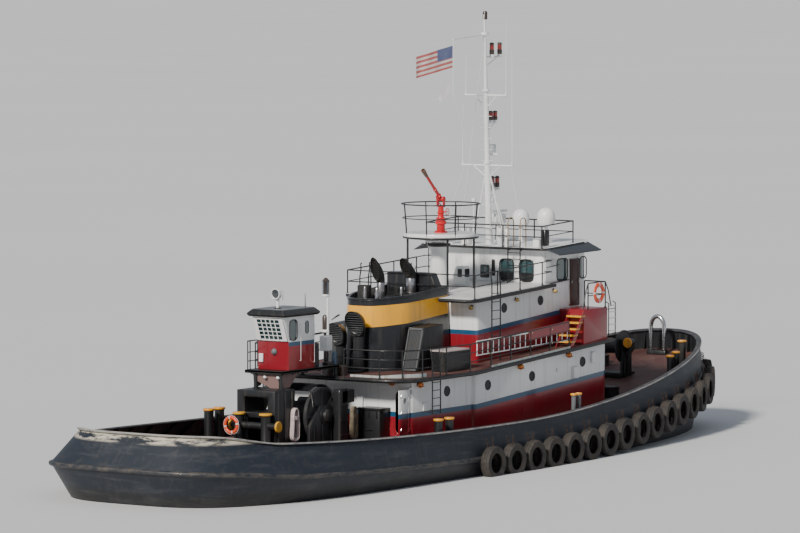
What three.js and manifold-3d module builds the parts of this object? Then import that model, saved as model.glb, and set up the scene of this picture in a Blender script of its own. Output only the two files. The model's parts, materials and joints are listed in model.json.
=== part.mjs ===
// A ship-handling tugboat: welded steel hull with its whole underwater body, two propellers and
// rudders, towing gear, deckhouses, pilothouse, fire monitor, mast and tyre fenders.
// Millimetres. +X is forward, +Y is port, +Z is up. Z = 0 is the waterline, and the origin is on the
// centreline amidships.
import * as THREE from 'three';
import { mergeVertices } from 'three/addons/utils/BufferGeometryUtils.js';
import Module from 'manifold-3d';

const wasm = await Module();
wasm.setup();

// Driving dimensions
const GAP = 0.3;                 // gap between touching pieces
const PIN_GAP = 0.5;             // gap between a turning piece and what carries it
const HALF_LENGTH = 17075;       // half the length over the bulwark cap
const HALF_BEAM = 4800;          // half the beam at the bulwark cap
const MAX_BEAM_X = -1200;        // station of the greatest beam, and of the lowest sheer
const CAP_LOW = 1660;            // height of the bulwark cap at the lowest point of the sheer
const SHEER_AFT = 530;           // rise of the cap at the stern
const SHEER_FORE = 1600;         // rise of the cap at the bow
const BULWARK = 750;             // bulwark height above the deck
const DRAFT = 3600;
const OUTLINE_POINTS = 44;       // points round each level of the hull

const HOUSE_AFT = -5280, HOUSE_FORE = 7280, HOUSE_HALF = 3250, HOUSE_STEP_X = -1550;
const DECK1_AFT = -6300, DECK1_HALF = 3520, DECK1_LOW = 3400, DECK1_RISE_X = -1800, DECK1_SLOPE = 0.0604;
const DECK1_THICK = 140;
const UPPER_AFT = -120, UPPER_FORE = 7240, UPPER_HALF = 2420;
const DECK2_AFT = -950, DECK2_FORE = 4220, DECK2_HALF = 2750, DECK2_AT_AFT = 5790, DECK2_SLOPE = 0.052;
const DECK2_THICK = 110;
const PILOT_FLOOR = 5080, PILOT_AFT = 4250, PILOT_FORE = 7240, PILOT_HALF = 2400, PILOT_TOP = 7260;
const WALL = 60;                 // thickness of every deckhouse wall and door
const RAIL_R = 24;               // half the width of a rail post

// Heights of the sheered decks at station x
const capZ = (x) => x < MAX_BEAM_X
  ? CAP_LOW + SHEER_AFT * ((MAX_BEAM_X - x) / HALF_LENGTH) ** 2
  : CAP_LOW + SHEER_FORE * ((x - MAX_BEAM_X) / HALF_LENGTH) ** 1.9;
const deckZ = (x) => capZ(x) - BULWARK;
const deck1Z = (x) => DECK1_LOW + Math.max(0, x - DECK1_RISE_X) * DECK1_SLOPE;
const deck2Z = (x) => DECK2_AT_AFT + (x - DECK2_AFT) * DECK2_SLOPE;

// Materials
const paint = (color, roughness = 0.45, metalness = 0.1) =>
  new THREE.MeshStandardMaterial({ color, roughness, metalness });
const HULL_BLACK = paint(0x1d222a), BLACK = paint(0x17191d), WHITE = paint(0xe9e9e6);
const RED = paint(0x7d1418), MONITOR_RED = paint(0xc01818), YELLOW = paint(0xe9a21b);
const GREY = paint(0x6f757a), BROWN = paint(0x6b3a1e, 0.5);
const STEEL = paint(0xc9ccce, 0.25, 0.95), BRONZE = paint(0xa07a3c, 0.35, 0.9);
const RUBBER = paint(0x2a2826, 0.85, 0), GLASS = paint(0x1c2a30, 0.1, 0), ORANGE = paint(0xe8641c);
const ROPE = paint(0xb9b0a4, 0.9, 0), CLOTH = paint(0xc8c8cc, 0.9, 0), ANTIFOUL = paint(0x5a1d1a, 0.7);

// Solids
function solid(geometry) {
  const bare = geometry.index ? geometry.toNonIndexed() : geometry.clone();
  bare.deleteAttribute('normal');
  bare.deleteAttribute('uv');
  const merged = mergeVertices(bare, 0.01);
  return new wasm.Manifold(new wasm.Mesh({
    numProp: 3,
    vertProperties: new Float32Array(merged.attributes.position.array),
    triVerts: new Uint32Array(merged.index.array),
  }));
}

const join = (pieces) => pieces.reduce((whole, piece) => whole.add(piece));
const cut = (piece, cutters) => cutters.reduce((rest, cutter) => rest.subtract(cutter), piece);

function box(x0, x1, y0, y1, z0, z1) {
  const shape = new THREE.BoxGeometry(x1 - x0, y1 - y0, z1 - z0);
  shape.translate((x0 + x1) / 2, (y0 + y1) / 2, (z0 + z1) / 2);
  return solid(shape);
}

function drawn(points) {
  return new THREE.Shape(points.map(([a, b]) => new THREE.Vector2(a, b)));
}

// A plan outline raised from z0 to z1
function slab(points, z0, z1) {
  const shape = new THREE.ExtrudeGeometry(drawn(points), { depth: z1 - z0, bevelEnabled: false });
  shape.translate(0, 0, z0);
  return solid(shape);
}

// A side profile of [x, z] points, spread from y0 to y1
function profile(points, y0, y1) {
  const shape = new THREE.ExtrudeGeometry(drawn(points), { depth: y1 - y0, bevelEnabled: false });
  shape.rotateX(Math.PI / 2);
  shape.translate(0, y1, 0);
  return solid(shape);
}

// A transverse profile of [y, z] points, spread from x0 to x1
function section(points, x0, x1) {
  const shape = new THREE.ExtrudeGeometry(drawn(points), { depth: x1 - x0, bevelEnabled: false });
  shape.applyMatrix4(new THREE.Matrix4().set(0, 0, 1, x0, 1, 0, 0, 0, 0, 1, 0, 0, 0, 0, 0, 1));
  return solid(shape);
}

// A straight bar from p to q: round, or square with two faces upright where it has four sides
function rod(p, q, r, sides = 6) {
  const from = new THREE.Vector3(...p), to = new THREE.Vector3(...q);
  const along = to.clone().sub(from), long = along.length();
  along.normalize();
  const shape = sides === 4
    ? new THREE.CylinderGeometry(r * Math.SQRT2, r * Math.SQRT2, long, 4, 1, false, Math.PI / 4)
    : new THREE.CylinderGeometry(r, r, long, sides);
  const across = Math.hypot(along.x, along.y) > 1e-6
    ? new THREE.Vector3(along.y, -along.x, 0).normalize() : new THREE.Vector3(1, 0, 0);
  shape.applyMatrix4(new THREE.Matrix4().makeBasis(across, along, across.clone().cross(along)));
  shape.translate(...from.add(to).multiplyScalar(0.5).toArray());
  return solid(shape);
}

const post = (x, y, z0, z1, r, sides = 8) => rod([x, y, z0], [x, y, z1], r, sides);

// A turned piece about the vertical through (x, y), from [radius, z] points that start and end on it
function turned(points, x, y, sides = 12) {
  const shape = new THREE.LatheGeometry(points.map(([r, z]) => new THREE.Vector2(r, z)), sides);
  shape.rotateX(Math.PI / 2);
  shape.translate(x, y, 0);
  return solid(shape);
}

// A turned piece about a line through p along the Y axis
function turnedAcross(points, p, sides = 12) {
  const shape = new THREE.LatheGeometry(points.map(([r, y]) => new THREE.Vector2(r, y)), sides);
  shape.translate(...p);
  return solid(shape);
}

// Levels of closed outlines, lowest first and each with the same number of points, skinned and closed
// at both ends by strips from side to side; or closed on themselves as a ring
function skinned(levels, ring = false) {
  const count = levels[0].length, half = count / 2;
  const positions = levels.flat(2), index = [];
  const last = ring ? levels.length : levels.length - 1;
  for (let k = 0; k < last; k++) {
    const a = k * count, b = ((k + 1) % levels.length) * count;
    for (let i = 0; i < count; i++) {
      const j = (i + 1) % count;
      index.push(a + i, a + j, b + i, a + j, b + j, b + i);
    }
  }
  const top = (levels.length - 1) * count;
  for (let i = 0; i < (ring ? 0 : half); i++) {
    const [a, b, c, d] = [i, i + 1, count - 1 - i, (count - i) % count];
    const faces = [];
    if (i < half - 1) faces.push([a, b, c]);
    if (i > 0) faces.push([a, i < half - 1 ? c : b, d]);
    for (const [p, q, r] of faces) {
      index.push(p, r, q, top + p, top + q, top + r);
    }
  }
  const geometry = new THREE.BufferGeometry();
  geometry.setAttribute('position', new THREE.Float32BufferAttribute(positions, 3));
  geometry.setIndex(index);
  return solid(geometry);
}

// One level of the hull: a rounded stern and a blunt round bow about the greatest beam
function level({ aft, fore, half, square = 3.2, z }) {
  const points = [];
  for (let i = 0; i < OUTLINE_POINTS; i++) {
    const t = (2 * Math.PI * i) / OUTLINE_POINTS;
    const c = Math.cos(t), s = Math.sin(t);
    const along = c > 0 ? (fore - MAX_BEAM_X) * c ** (2 / 2.1) : (aft - MAX_BEAM_X) * (-c) ** (2 / square);
    const power = c > 0 ? 2 / 2.36 : 2 / square;
    const x = MAX_BEAM_X + (Math.abs(c) < 1e-9 ? 0 : along);
    points.push([x, half * Math.sign(s) * Math.abs(s) ** power, z(x)]);
  }
  return points;
}

// Stations of the hull, from the bulwark cap down: how far each level reaches aft, forward and sideways
const CAP = { aft: -HALF_LENGTH, fore: HALF_LENGTH, half: HALF_BEAM, square: 3.2 };
const DECK = { aft: -17550, fore: 17120, half: 4920, square: 3.7 };
const STRAKE = { aft: -17820, fore: 17170, half: 4980, square: 4 };
const STRAKE_DROP = 1100, STRAKE_DEPTH = 190, STRAKE_OUT = 120;
const aftRise = (x, from, rise) => rise * Math.max(0, (from - x) / 10000) ** 1.5;

function hullLevels(grow = 0) {
  const out = { aft: STRAKE.aft - STRAKE_OUT, fore: STRAKE.fore + STRAKE_OUT, half: STRAKE.half + STRAKE_OUT };
  const levels = [
    { aft: -7500, fore: 12800, half: 1500, square: 2.4, z: () => -DRAFT },
    { aft: -9800, fore: 14400, half: 3700, square: 2.6, z: (x) => -DRAFT + 650 + aftRise(x, -3000, 1500) },
    { aft: -14800, fore: 15700, half: 4500, square: 3, z: (x) => -1700 + aftRise(x, -5000, 1250) },
    { aft: -17150, fore: 16500, half: 4750, square: 3.6, z: () => -150 },
    { ...STRAKE, z: (x) => capZ(x) - STRAKE_DROP - STRAKE_DEPTH - 40 },
    { ...out, square: 4, z: (x) => capZ(x) - STRAKE_DROP - STRAKE_DEPTH + 30 },
    { ...out, square: 4, z: (x) => capZ(x) - STRAKE_DROP - 30 },
    { ...STRAKE, z: (x) => capZ(x) - STRAKE_DROP + 40 },
    { ...DECK, z: deckZ },
  ];
  return levels.map((o) => level({ ...o, aft: o.aft - grow, fore: o.fore + grow, half: o.half + grow }));
}

// The space under the main deck, raised by a gap and drawn out past the hull: what stands on the deck is
// cut by it. Each strip of the deck keeps its own plane.
const OVERHANG = 400;
function underDeck(raise = GAP) {
  const rim = level({ ...DECK, z: (x) => deckZ(x) + raise }).map(([x, y, z], i, deck) => {
    if (i % (OUTLINE_POINTS / 2) > 0) return [x, y + Math.sign(y) * OVERHANG, z];
    const [nextX, , nextZ] = deck[i + 1], t = OVERHANG / Math.abs(x - nextX);
    return [x + (x - nextX) * t, 0, z + (z - nextZ) * t];
  });
  return skinned([rim.map(([x, y]) => [x, y, -1000]), rim]);
}

const deckCutter = underDeck();
const onDeck = (piece) => piece.subtract(deckCutter);
const deck1Profile = (raise) => [
  [-20000, deck1Z(-20000) + raise], [DECK1_RISE_X, DECK1_LOW + raise], [12000, deck1Z(12000) + raise]];
const below1 = (raise) => profile([[-20000, -2000], [12000, -2000], ...deck1Profile(raise).reverse()], -9000, 9000);
const on1 = (piece) => piece.subtract(below1(GAP));
const below2 = (raise) => profile([[-9000, -2000], [12000, -2000], [12000, deck2Z(12000) + raise],
  [-9000, deck2Z(-9000) + raise]], -9000, 9000);
const on2 = (piece) => piece.subtract(below2(GAP));

// A rectangle in plan with each corner rounded
function plan(x0, x1, half, rAft = 250, rFore = 250, steps = 3) {
  const corners = [[x1 - rFore, half - rFore, rFore, 0], [x0 + rAft, half - rAft, rAft, 90],
    [x0 + rAft, rAft - half, rAft, 180], [x1 - rFore, rFore - half, rFore, 270]];
  return corners.flatMap(([x, y, r, start]) => Array.from({ length: steps + 1 }, (_, i) => {
    const a = ((start + (90 * i) / steps) * Math.PI) / 180;
    return [x + r * Math.cos(a), y + r * Math.sin(a)];
  }));
}

// A hollow ring of wall, from a plan and the same plan drawn in by the wall's thickness
const ring = (outer, inner, z0, z1) => slab(outer, z0, z1).subtract(slab(inner, z0 - 10, z1 + 10));

// A guard rail of bars at the given heights along a path, with posts at its points and between them
function rail(path, heights, { spacing = 1500, r = RAIL_R, foot = 60, closed = false } = {}) {
  const pieces = [];
  const last = closed ? path.length : path.length - 1;
  const top = heights[heights.length - 1];
  for (let i = 0; i < last; i++) {
    const p = new THREE.Vector3(...path[i]), q = new THREE.Vector3(...path[(i + 1) % path.length]);
    const steps = Math.max(1, Math.round(p.distanceTo(q) / spacing));
    const reach = q.clone().sub(p).normalize().multiplyScalar(r * 0.4);
    for (const h of heights) {
      const from = p.clone().sub(reach), to = q.clone().add(reach);
      pieces.push(rod([from.x, from.y, from.z + h], [to.x, to.y, to.z + h], r * 0.7, 4));
    }
    for (let k = i === 0 ? 0 : 1; k < steps + (closed && i === last - 1 ? 0 : 1); k++) {
      const at = p.clone().lerp(q, k / steps);
      pieces.push(post(at.x, at.y, at.z - foot, at.z + top + r, r, 4));
    }
  }
  return join(pieces);
}

// A ladder of two stringers and rungs, from the foot to the head, its rungs along `across`
function ladder(foot, head, across, rungs, r = 22) {
  const at = (t, side) => foot.map((v, i) => v + (head[i] - v) * t + across[i] * side);
  const pieces = [rod(at(0, -1), at(1, -1), r, 4), rod(at(0, 1), at(1, 1), r, 4)];
  for (let i = 0; i < rungs; i++) {
    const t = (i + 0.7) / (rungs + 0.3);
    pieces.push(rod(at(t, -1), at(t, 1), r * 0.8, 4));
  }
  return join(pieces);
}

const group = new THREE.Group();

function add(name, material, piece) {
  const source = piece.getMesh();
  const geometry = new THREE.BufferGeometry();
  geometry.setAttribute('position', new THREE.Float32BufferAttribute(source.vertProperties, 3));
  geometry.setIndex([...source.triVerts]);
  const mesh = new THREE.Mesh(geometry, material);
  mesh.name = name;
  group.add(mesh);
}

// Hull with its skeg, shaft bossings and rudder trunks
const PROP_X = -12900, PROP_Y = 2050, PROP_Z = -2300, PROP_R = 1000;
const RUDDER_X = -14500, RUDDER_TOP = -1050, RUDDER_FOOT = -3350;
const BOSS_R = 210, STOCK_R = 110, HUB_HALF = 260;

// Capped bollards welded to the deck on both sides: station, distance off the centreline, radius, top
const BOLLARDS = [[-5680, 4360, 90, 2190], [-5320, 4360, 90, 2190], [3320, 4260, 85, 2270], [3660, 4260, 85, 2270],
  [12300, 2800, 130, 2990], [14000, 2150, 130, 3320]];

function hullSolid() {
  const skeg = profile([[-14000, -400], [-14000, -2100], [-11500, -DRAFT - 60], [12500, -DRAFT - 60],
    [13000, -DRAFT + 500], [-6000, -1000]], -130, 130);
  const pieces = [skinned(hullLevels()), skeg];
  for (const side of [-1, 1]) {
    const y = side * PROP_Y;
    pieces.push(rod([-6000, y, PROP_Z + 500], [PROP_X + 900, y, PROP_Z], BOSS_R - 40, 10));
    pieces.push(rod([PROP_X + HUB_HALF + PIN_GAP, y, PROP_Z], [PROP_X + 950, y, PROP_Z], BOSS_R, 10));
    pieces.push(box(PROP_X + 420, PROP_X + 760, y - 45, y + 45, PROP_Z, 0));
    pieces.push(post(RUDDER_X, y, RUDDER_TOP + PIN_GAP, 0, STOCK_R + 60, 10));
    for (const [x, inboard, r, z] of BOLLARDS) {
      pieces.push(turned([[0, 0], [r, 0], [r, z - 60], [r + 60, z - 60], [r + 60, z], [0, z]], x, side * inboard, 6));
    }
  }
  return join(pieces);
}
add('hull', HULL_BLACK, hullSolid());

// Propellers: a hub and four pitched blades on each shaft line, handed
function propeller(side) {
  const y = side * PROP_Y;
  const hub = new THREE.CylinderGeometry(150, 200, 2 * HUB_HALF, 12);
  hub.rotateZ(Math.PI / 2);
  hub.translate(PROP_X, y, PROP_Z);
  const outline = [[-80, 100], [80, 100], [300, 480], [330, 740], [170, PROP_R], [-170, PROP_R],
    [-330, 740], [-300, 480]];
  const pieces = [solid(hub)];
  for (let i = 0; i < 4; i++) {
    const blade = new THREE.ExtrudeGeometry(drawn(outline), { depth: 44, bevelEnabled: false });
    blade.translate(0, 0, -22);
    blade.applyMatrix4(new THREE.Matrix4().set(0, 0, 1, 0, 1, 0, 0, 0, 0, 1, 0, 0, 0, 0, 0, 1));
    blade.rotateZ(side * 0.6);
    blade.rotateX((i * Math.PI) / 2 + 0.3);
    blade.translate(PROP_X, y, PROP_Z);
    pieces.push(solid(blade));
  }
  return join(pieces);
}

function rudder(side) {
  const y = side * PROP_Y;
  const foil = slab([[RUDDER_X + 420, y], [RUDDER_X + 330, y + 80], [RUDDER_X, y + 120],
    [RUDDER_X - 1050, y + 15], [RUDDER_X - 1050, y - 15], [RUDDER_X, y - 120], [RUDDER_X + 330, y - 80]],
  RUDDER_FOOT, RUDDER_TOP - 120);
  return join([foil, post(RUDDER_X, y, RUDDER_TOP - 400, RUDDER_TOP, STOCK_R, 10)]);
}

// Bulwark with its cap rail, leaning in above the deck
function bulwark() {
  const from = (o, out, z) => level({ ...o, aft: o.aft - out, fore: o.fore + out, half: o.half + out, z });
  const foot = (x) => deckZ(x) - 100, under = (x) => capZ(x) - 60;
  return onDeck(skinned([
    from(DECK, -20, foot), from(CAP, 0, under), from(CAP, 90, under), from(CAP, 90, capZ),
    from(CAP, -150, capZ), from(CAP, -150, under), from(CAP, -60, under), from(DECK, -80, foot),
  ], true));
}
add('bulwark', HULL_BLACK, bulwark());

// Tyre fenders hung from amidships round the bow, linked to each other, flat against the strake
const TYRE_R = 590, TYRE_HOLE = 330, TYRE_HALF = 175, TYRE_PITCH = 1290, TYRE_FROM_X = -3150;
const TYRE_SIDES = 10;
const tyreZ = (x) => capZ(x) - 1220 - 350 * (Math.max(0, x) / HALF_LENGTH) ** 2;

// Evenly spaced places along the port strake from the stem aft: position and outward direction
function strakePlaces() {
  const edge = level({ aft: STRAKE.aft - STRAKE_OUT, fore: STRAKE.fore + STRAKE_OUT,
    half: STRAKE.half + STRAKE_OUT, square: STRAKE.square, z: tyreZ });
  const places = [];
  let due = TYRE_PITCH / 2;
  for (let i = 0; i < edge.length / 2; i++) {
    const [p, q] = [edge[i], edge[i + 1]];
    const long = Math.hypot(q[0] - p[0], q[1] - p[1]);
    for (; due < long; due += TYRE_PITCH) {
      const x = p[0] + ((q[0] - p[0]) * due) / long, y = p[1] + ((q[1] - p[1]) * due) / long;
      if (x > TYRE_FROM_X - TYRE_PITCH / 4) places.push({ x, y, turn: Math.atan2(p[0] - q[0], q[1] - p[1]) });
    }
    due -= long;
  }
  return places;
}

function tyres(side) {
  const tread = [[TYRE_HOLE, -TYRE_HALF * 0.8], [TYRE_R - 70, -TYRE_HALF], [TYRE_R, 0],
    [TYRE_R - 70, TYRE_HALF], [TYRE_HOLE, TYRE_HALF * 0.8], [TYRE_HOLE, -TYRE_HALF * 0.8]];
  const out = TYRE_HALF + GAP;
  const centres = strakePlaces().map(({ x, y, turn }) => ({
    at: [x + out * Math.cos(turn), side * (y + out * Math.sin(turn)), tyreZ(x)], turn: side * turn }));
  const pieces = centres.map(({ at, turn }) => {
    const shape = new THREE.LatheGeometry(tread.map(([r, h]) => new THREE.Vector2(r, h)), TYRE_SIDES);
    shape.rotateZ(turn - Math.PI / 2);
    shape.translate(...at);
    return solid(shape);
  });
  const between = (p, q, t) => p.map((v, k) => v + (q[k] - v) * t);
  for (let i = 1; i < centres.length; i++) {
    const [p, q] = [centres[i - 1].at, centres[i].at];
    pieces.push(rod(between(p, q, 0.37), between(p, q, 0.63), 40, 4));
  }
  return join(pieces);
}
add('tyre_fenders_starboard', RUBBER, tyres(-1));
add('tyre_fenders_port', RUBBER, tyres(1));

add('propeller_starboard', BRONZE, propeller(-1));
add('propeller_port', BRONZE, propeller(1));
add('rudder_starboard', ANTIFOUL, rudder(-1));
add('rudder_port', ANTIFOUL, rudder(1));

// Doors: a leaf swings on an upright line between two ears that stand out from the wall
const EAR = 34, EAR_H = 50, HINGE_OUT = 40;
function hingeEars(x, y, [z0, z1], [dx, dy]) {
  const reach = (a, d) => [Math.min(a - EAR, a + d * (HINGE_OUT + 20)), Math.max(a + EAR, a + d * (HINGE_OUT + 20))];
  return [z0 - PIN_GAP - EAR_H, z1 + PIN_GAP].map((z) => box(...reach(x, dx), ...reach(y, dy), z, z + EAR_H));
}

// A leaf of the given width standing from its hinge line along the unit direction (dx, dy)
function leaf(x, y, [dx, dy], width, [z0, z1]) {
  const half = 22, near = 8;
  const corner = (along, across) => [x + dx * along - dy * across, y + dy * along + dx * across];
  const corners = [corner(near, half), corner(near, -half), corner(width, -half), corner(width, half)];
  return slab(corners, z0, z1).add(post(x, y, z0, z1, half));
}

// Main deckhouse: walls between the main deck and the boat deck, a little wider forward of a step,
// with a doorway in each end of the aft wall
const STEP_HALF = 3110, DOOR_W = 600, DOOR_H = 1580, DOOR_SILL = 460, DOOR_Y = 2720;
const sideways = [-1, 1];
const above1 = profile([...deck1Profile(-DECK1_THICK - GAP), [12000, 9000], [-20000, 9000]], -9000, 9000);

const MAIN_SILL = deckZ(HOUSE_AFT) + DOOR_SILL, MAIN_HINGE_X = HOUSE_AFT - HINGE_OUT;
const mainHingeY = (side) => side * (DOOR_Y + DOOR_W / 2 + 20);
const mainDoorZ = [MAIN_SILL - 25, MAIN_SILL + DOOR_H + 25];
function mainHouse() {
  const outer = [plan(HOUSE_AFT, HOUSE_STEP_X + 200, STEP_HALF, 60, 50),
    plan(HOUSE_STEP_X, HOUSE_FORE, HOUSE_HALF, 140, 300)];
  const inner = [plan(HOUSE_AFT + WALL, HOUSE_STEP_X + 240, STEP_HALF - WALL, 20, 50),
    plan(HOUSE_STEP_X + WALL, HOUSE_FORE - WALL, HOUSE_HALF - WALL, 90, 240)];
  const shell = join(outer.map((o) => slab(o, 500, 4500)))
    .subtract(join(inner.map((o) => slab(o, 400, 4600))));
  const doorways = sideways.map((side) => box(HOUSE_AFT - 100, HOUSE_AFT + 200, side * DOOR_Y - DOOR_W / 2,
    side * DOOR_Y + DOOR_W / 2, MAIN_SILL, MAIN_SILL + DOOR_H));
  const ears = sideways.flatMap((side) => hingeEars(MAIN_HINGE_X, mainHingeY(side), mainDoorZ, [1, 0]));
  return join([onDeck(cut(shell, [...doorways, above1])), ...ears]);
}
add('main_deckhouse', WHITE, mainHouse());

// Boat deck over the deckhouse
const boatDeckPlan = plan(DECK1_AFT, HOUSE_FORE + 10, DECK1_HALF, 1200, 150, 4);
function boatDeck() {
  const band = profile([...deck1Profile(-DECK1_THICK), ...deck1Profile(0).reverse()], -9000, 9000);
  return slab(boatDeckPlan, 2500, 5000).intersect(band);
}
add('boat_deck', BLACK, boatDeck());

// The starboard door stands open, square to the wall; the port door is shut
add('door_main_starboard', RED, leaf(MAIN_HINGE_X, mainHingeY(-1), [-1, 0], DOOR_W + 50, mainDoorZ));
add('door_main_port', RED, leaf(MAIN_HINGE_X, mainHingeY(1), [0, -1], DOOR_W + 50, mainDoorZ));

// Deckhouse on the boat deck, its forward end lower, under the pilothouse
const SIDE_DOOR_X = 6280, SIDE_DOOR_W = 560, SIDE_DOOR_H = 1640, SIDE_SILL = 90;
function upperHouse() {
  const outer = slab(plan(UPPER_AFT, UPPER_FORE, UPPER_HALF, 120, 300), 3000, 7000);
  const inner = slab(plan(UPPER_AFT + WALL, UPPER_FORE - WALL, UPPER_HALF - WALL, 60, 240), 2900, 7100);
  const above = profile([[-9000, deck2Z(-9000) - DECK2_THICK - GAP],
    [PILOT_AFT - 20, deck2Z(PILOT_AFT - 20) - DECK2_THICK - GAP],
    [PILOT_AFT - 20, PILOT_FLOOR - WALL - GAP], [12000, PILOT_FLOOR - WALL - GAP], [12000, 9000],
    [-9000, 9000]], -9000, 9000);
  const step = slab(plan(PILOT_AFT - 20 - WALL, PILOT_AFT - 20, UPPER_HALF - 5, 10, 10, 1), PILOT_FLOOR - 300, 7000);
  return on1(outer.subtract(inner).add(step).subtract(above));
}
add('upper_deckhouse', WHITE, upperHouse());

add('bridge_deck', BLACK, slab(plan(DECK2_AFT, DECK2_FORE, DECK2_HALF, 250, 60, 2), 5000, 7000)
  .intersect(profile([[-9000, deck2Z(-9000) - DECK2_THICK], [9000, deck2Z(9000) - DECK2_THICK],
    [9000, deck2Z(9000)], [-9000, deck2Z(-9000)]], -9000, 9000))
  .subtract(box(DECK2_AFT - 50, UPPER_AFT - 20, -1300, 1300, 5000, 7000)));

// Pilothouse: floor and walls in one, windows and doorways cut, and a sloping roof line
const pilotTop = (x) => PILOT_TOP + 0.05 * (x - PILOT_AFT);
const WINDOW_LOW = 6110, WINDOW_HIGH = 6860;
const AFT_WINDOWS = [[-1670, 560], [-820, 560], [820, 560], [1670, 560]];
const FORE_WINDOWS = [[-1800, 700], [-900, 780], [0, 780], [900, 780], [1800, 700]];
const SIDE_WINDOWS = [[4700, 620], [5500, 700], [6920, 420]];
const SIDE_HINGE_X = SIDE_DOOR_X + SIDE_DOOR_W / 2 + 20;
const sideDoorZ = [PILOT_FLOOR + SIDE_SILL - 25, PILOT_FLOOR + SIDE_SILL + SIDE_DOOR_H + 25];
const sideHingeY = (side) => side * (PILOT_HALF + HINGE_OUT);
function pilothouse() {
  const outer = slab(plan(PILOT_AFT, PILOT_FORE, PILOT_HALF, 120, 300), PILOT_FLOOR - WALL, 8000);
  const inner = slab(plan(PILOT_AFT + WALL, PILOT_FORE - WALL, PILOT_HALF - WALL, 60, 240), PILOT_FLOOR, 8100);
  const above = profile([[0, pilotTop(0)], [12000, pilotTop(12000)], [12000, 9000], [0, 9000]], -9000, 9000);
  const holes = [above];
  AFT_WINDOWS.forEach(([y, w]) =>
    holes.push(box(PILOT_AFT - 100, PILOT_AFT + 150, y - w / 2, y + w / 2, WINDOW_LOW, WINDOW_HIGH)));
  FORE_WINDOWS.forEach(([y, w]) =>
    holes.push(box(PILOT_FORE - 150, PILOT_FORE + 100, y - w / 2, y + w / 2, WINDOW_LOW, WINDOW_HIGH)));
  for (const side of sideways) {
    const [y0, y1] = side < 0 ? [-PILOT_HALF - 100, 150 - PILOT_HALF] : [PILOT_HALF - 150, PILOT_HALF + 100];
    SIDE_WINDOWS.forEach(([x, w]) => holes.push(box(x - w / 2, x + w / 2, y0, y1, WINDOW_LOW, WINDOW_HIGH)));
    holes.push(box(SIDE_DOOR_X - SIDE_DOOR_W / 2, SIDE_DOOR_X + SIDE_DOOR_W / 2, y0, y1,
      PILOT_FLOOR + SIDE_SILL, PILOT_FLOOR + SIDE_SILL + SIDE_DOOR_H));
  }
  const ears = sideways.flatMap((side) => hingeEars(SIDE_HINGE_X, sideHingeY(side), sideDoorZ, [0, -side]));
  return join([cut(outer.subtract(inner), holes), ...ears]);
}
add('pilothouse', WHITE, pilothouse());

// Pilothouse glass: one band of panes just inside the walls, reaching over the doorways as a thin strip
function pilotGlass() {
  const low = WINDOW_LOW - 60, high = WINDOW_HIGH + 60, thick = 14;
  const pane = (d, z0, z1) => slab(plan(PILOT_AFT + d, PILOT_FORE - d, PILOT_HALF - d, 60, 240), z0, z1);
  const band = pane(WALL + GAP, low, high).subtract(pane(WALL + GAP + thick, low - 10, high + 10));
  const half = SIDE_DOOR_W / 2 + 40;
  return band.subtract(box(SIDE_DOOR_X - half, SIDE_DOOR_X + half, -9000, 9000, low - 10, high - 30));
}
add('pilothouse_glass', GLASS, pilotGlass());

const sideLeaf = (side) => leaf(SIDE_HINGE_X, sideHingeY(side), [-1, 0], SIDE_DOOR_W + 45, sideDoorZ);
add('door_pilothouse_starboard', BROWN, sideLeaf(-1));
add('door_pilothouse_port', BROWN, sideLeaf(1));

// Radar pedestal and antenna domes on the pilothouse roof: athwartships places and radii
const ROOF_GEAR_X = 5500, RADAR_Y = 320, RADAR_Z = 8420, DOME_Z = 8370;
const DOMES = [[-620, 300], [-1710, 320]];

// Pilothouse roof with its flared visor round the front and the sides
const ROOF_AFT = 3900, ROOF_FORE = 7480, ROOF_HALF = 2730, ROOF_THICK = 80, VISOR_AFT = 4900;
function pilotRoof() {
  const top = profile([[0, pilotTop(0) + GAP], [12000, pilotTop(12000) + GAP],
    [12000, pilotTop(12000) + ROOF_THICK], [0, pilotTop(0) + ROOF_THICK]], -9000, 9000);
  const roof = slab(plan(ROOF_AFT, ROOF_FORE, ROOF_HALF, 300, 500), 6000, 9000).intersect(top);
  const edge = (out, z) => plan(VISOR_AFT - 400, ROOF_FORE + out, ROOF_HALF + out, 300, 500)
    .map(([x, y]) => [x, y, z + 0.05 * (x - PILOT_FORE)]);
  const visor = skinned([edge(420, 7130), edge(-20, 7440), edge(-60, 7400), edge(380, 7095)], true)
    .subtract(box(0, VISOR_AFT, -9000, 9000, 6000, 9000));
  const z = pilotTop(ROOF_GEAR_X) + ROOF_THICK - 20;
  const gear = [turned([[0, z], [90, z], [60, RADAR_Z - 400], [260, RADAR_Z - 330], [260, RADAR_Z - PIN_GAP],
    [0, RADAR_Z - PIN_GAP]], ROOF_GEAR_X, RADAR_Y, 8)];
  for (const [y, r] of DOMES) {
    gear.push(turned([[0, z], [70, z], [70, DOME_Z - r * 0.9], [r * 0.8, DOME_Z - r * 0.85], [r, DOME_Z - r * 0.2],
      [r * 0.85, DOME_Z + r * 0.55], [r * 0.4, DOME_Z + r * 0.95], [0, DOME_Z + r]], ROOF_GEAR_X, y, 10));
  }
  gear.push(box(4110, 4400, -2250, -1960, pilotTop(4100) + 60, 7900));
  gear.push(box(4130, 4380, -2440, -2240, pilotTop(4100) + 60, 7960));
  return join([roof, visor, ...gear]);
}
add('pilothouse_roof', GREY, pilotRoof());
add('radar_scanner', WHITE, join([post(ROOF_GEAR_X, RADAR_Y, RADAR_Z, RADAR_Z + 60, 60),
  box(ROOF_GEAR_X - 520, ROOF_GEAR_X + 520, RADAR_Y - 55, RADAR_Y + 55, RADAR_Z + 50, RADAR_Z + 150)]));

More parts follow.
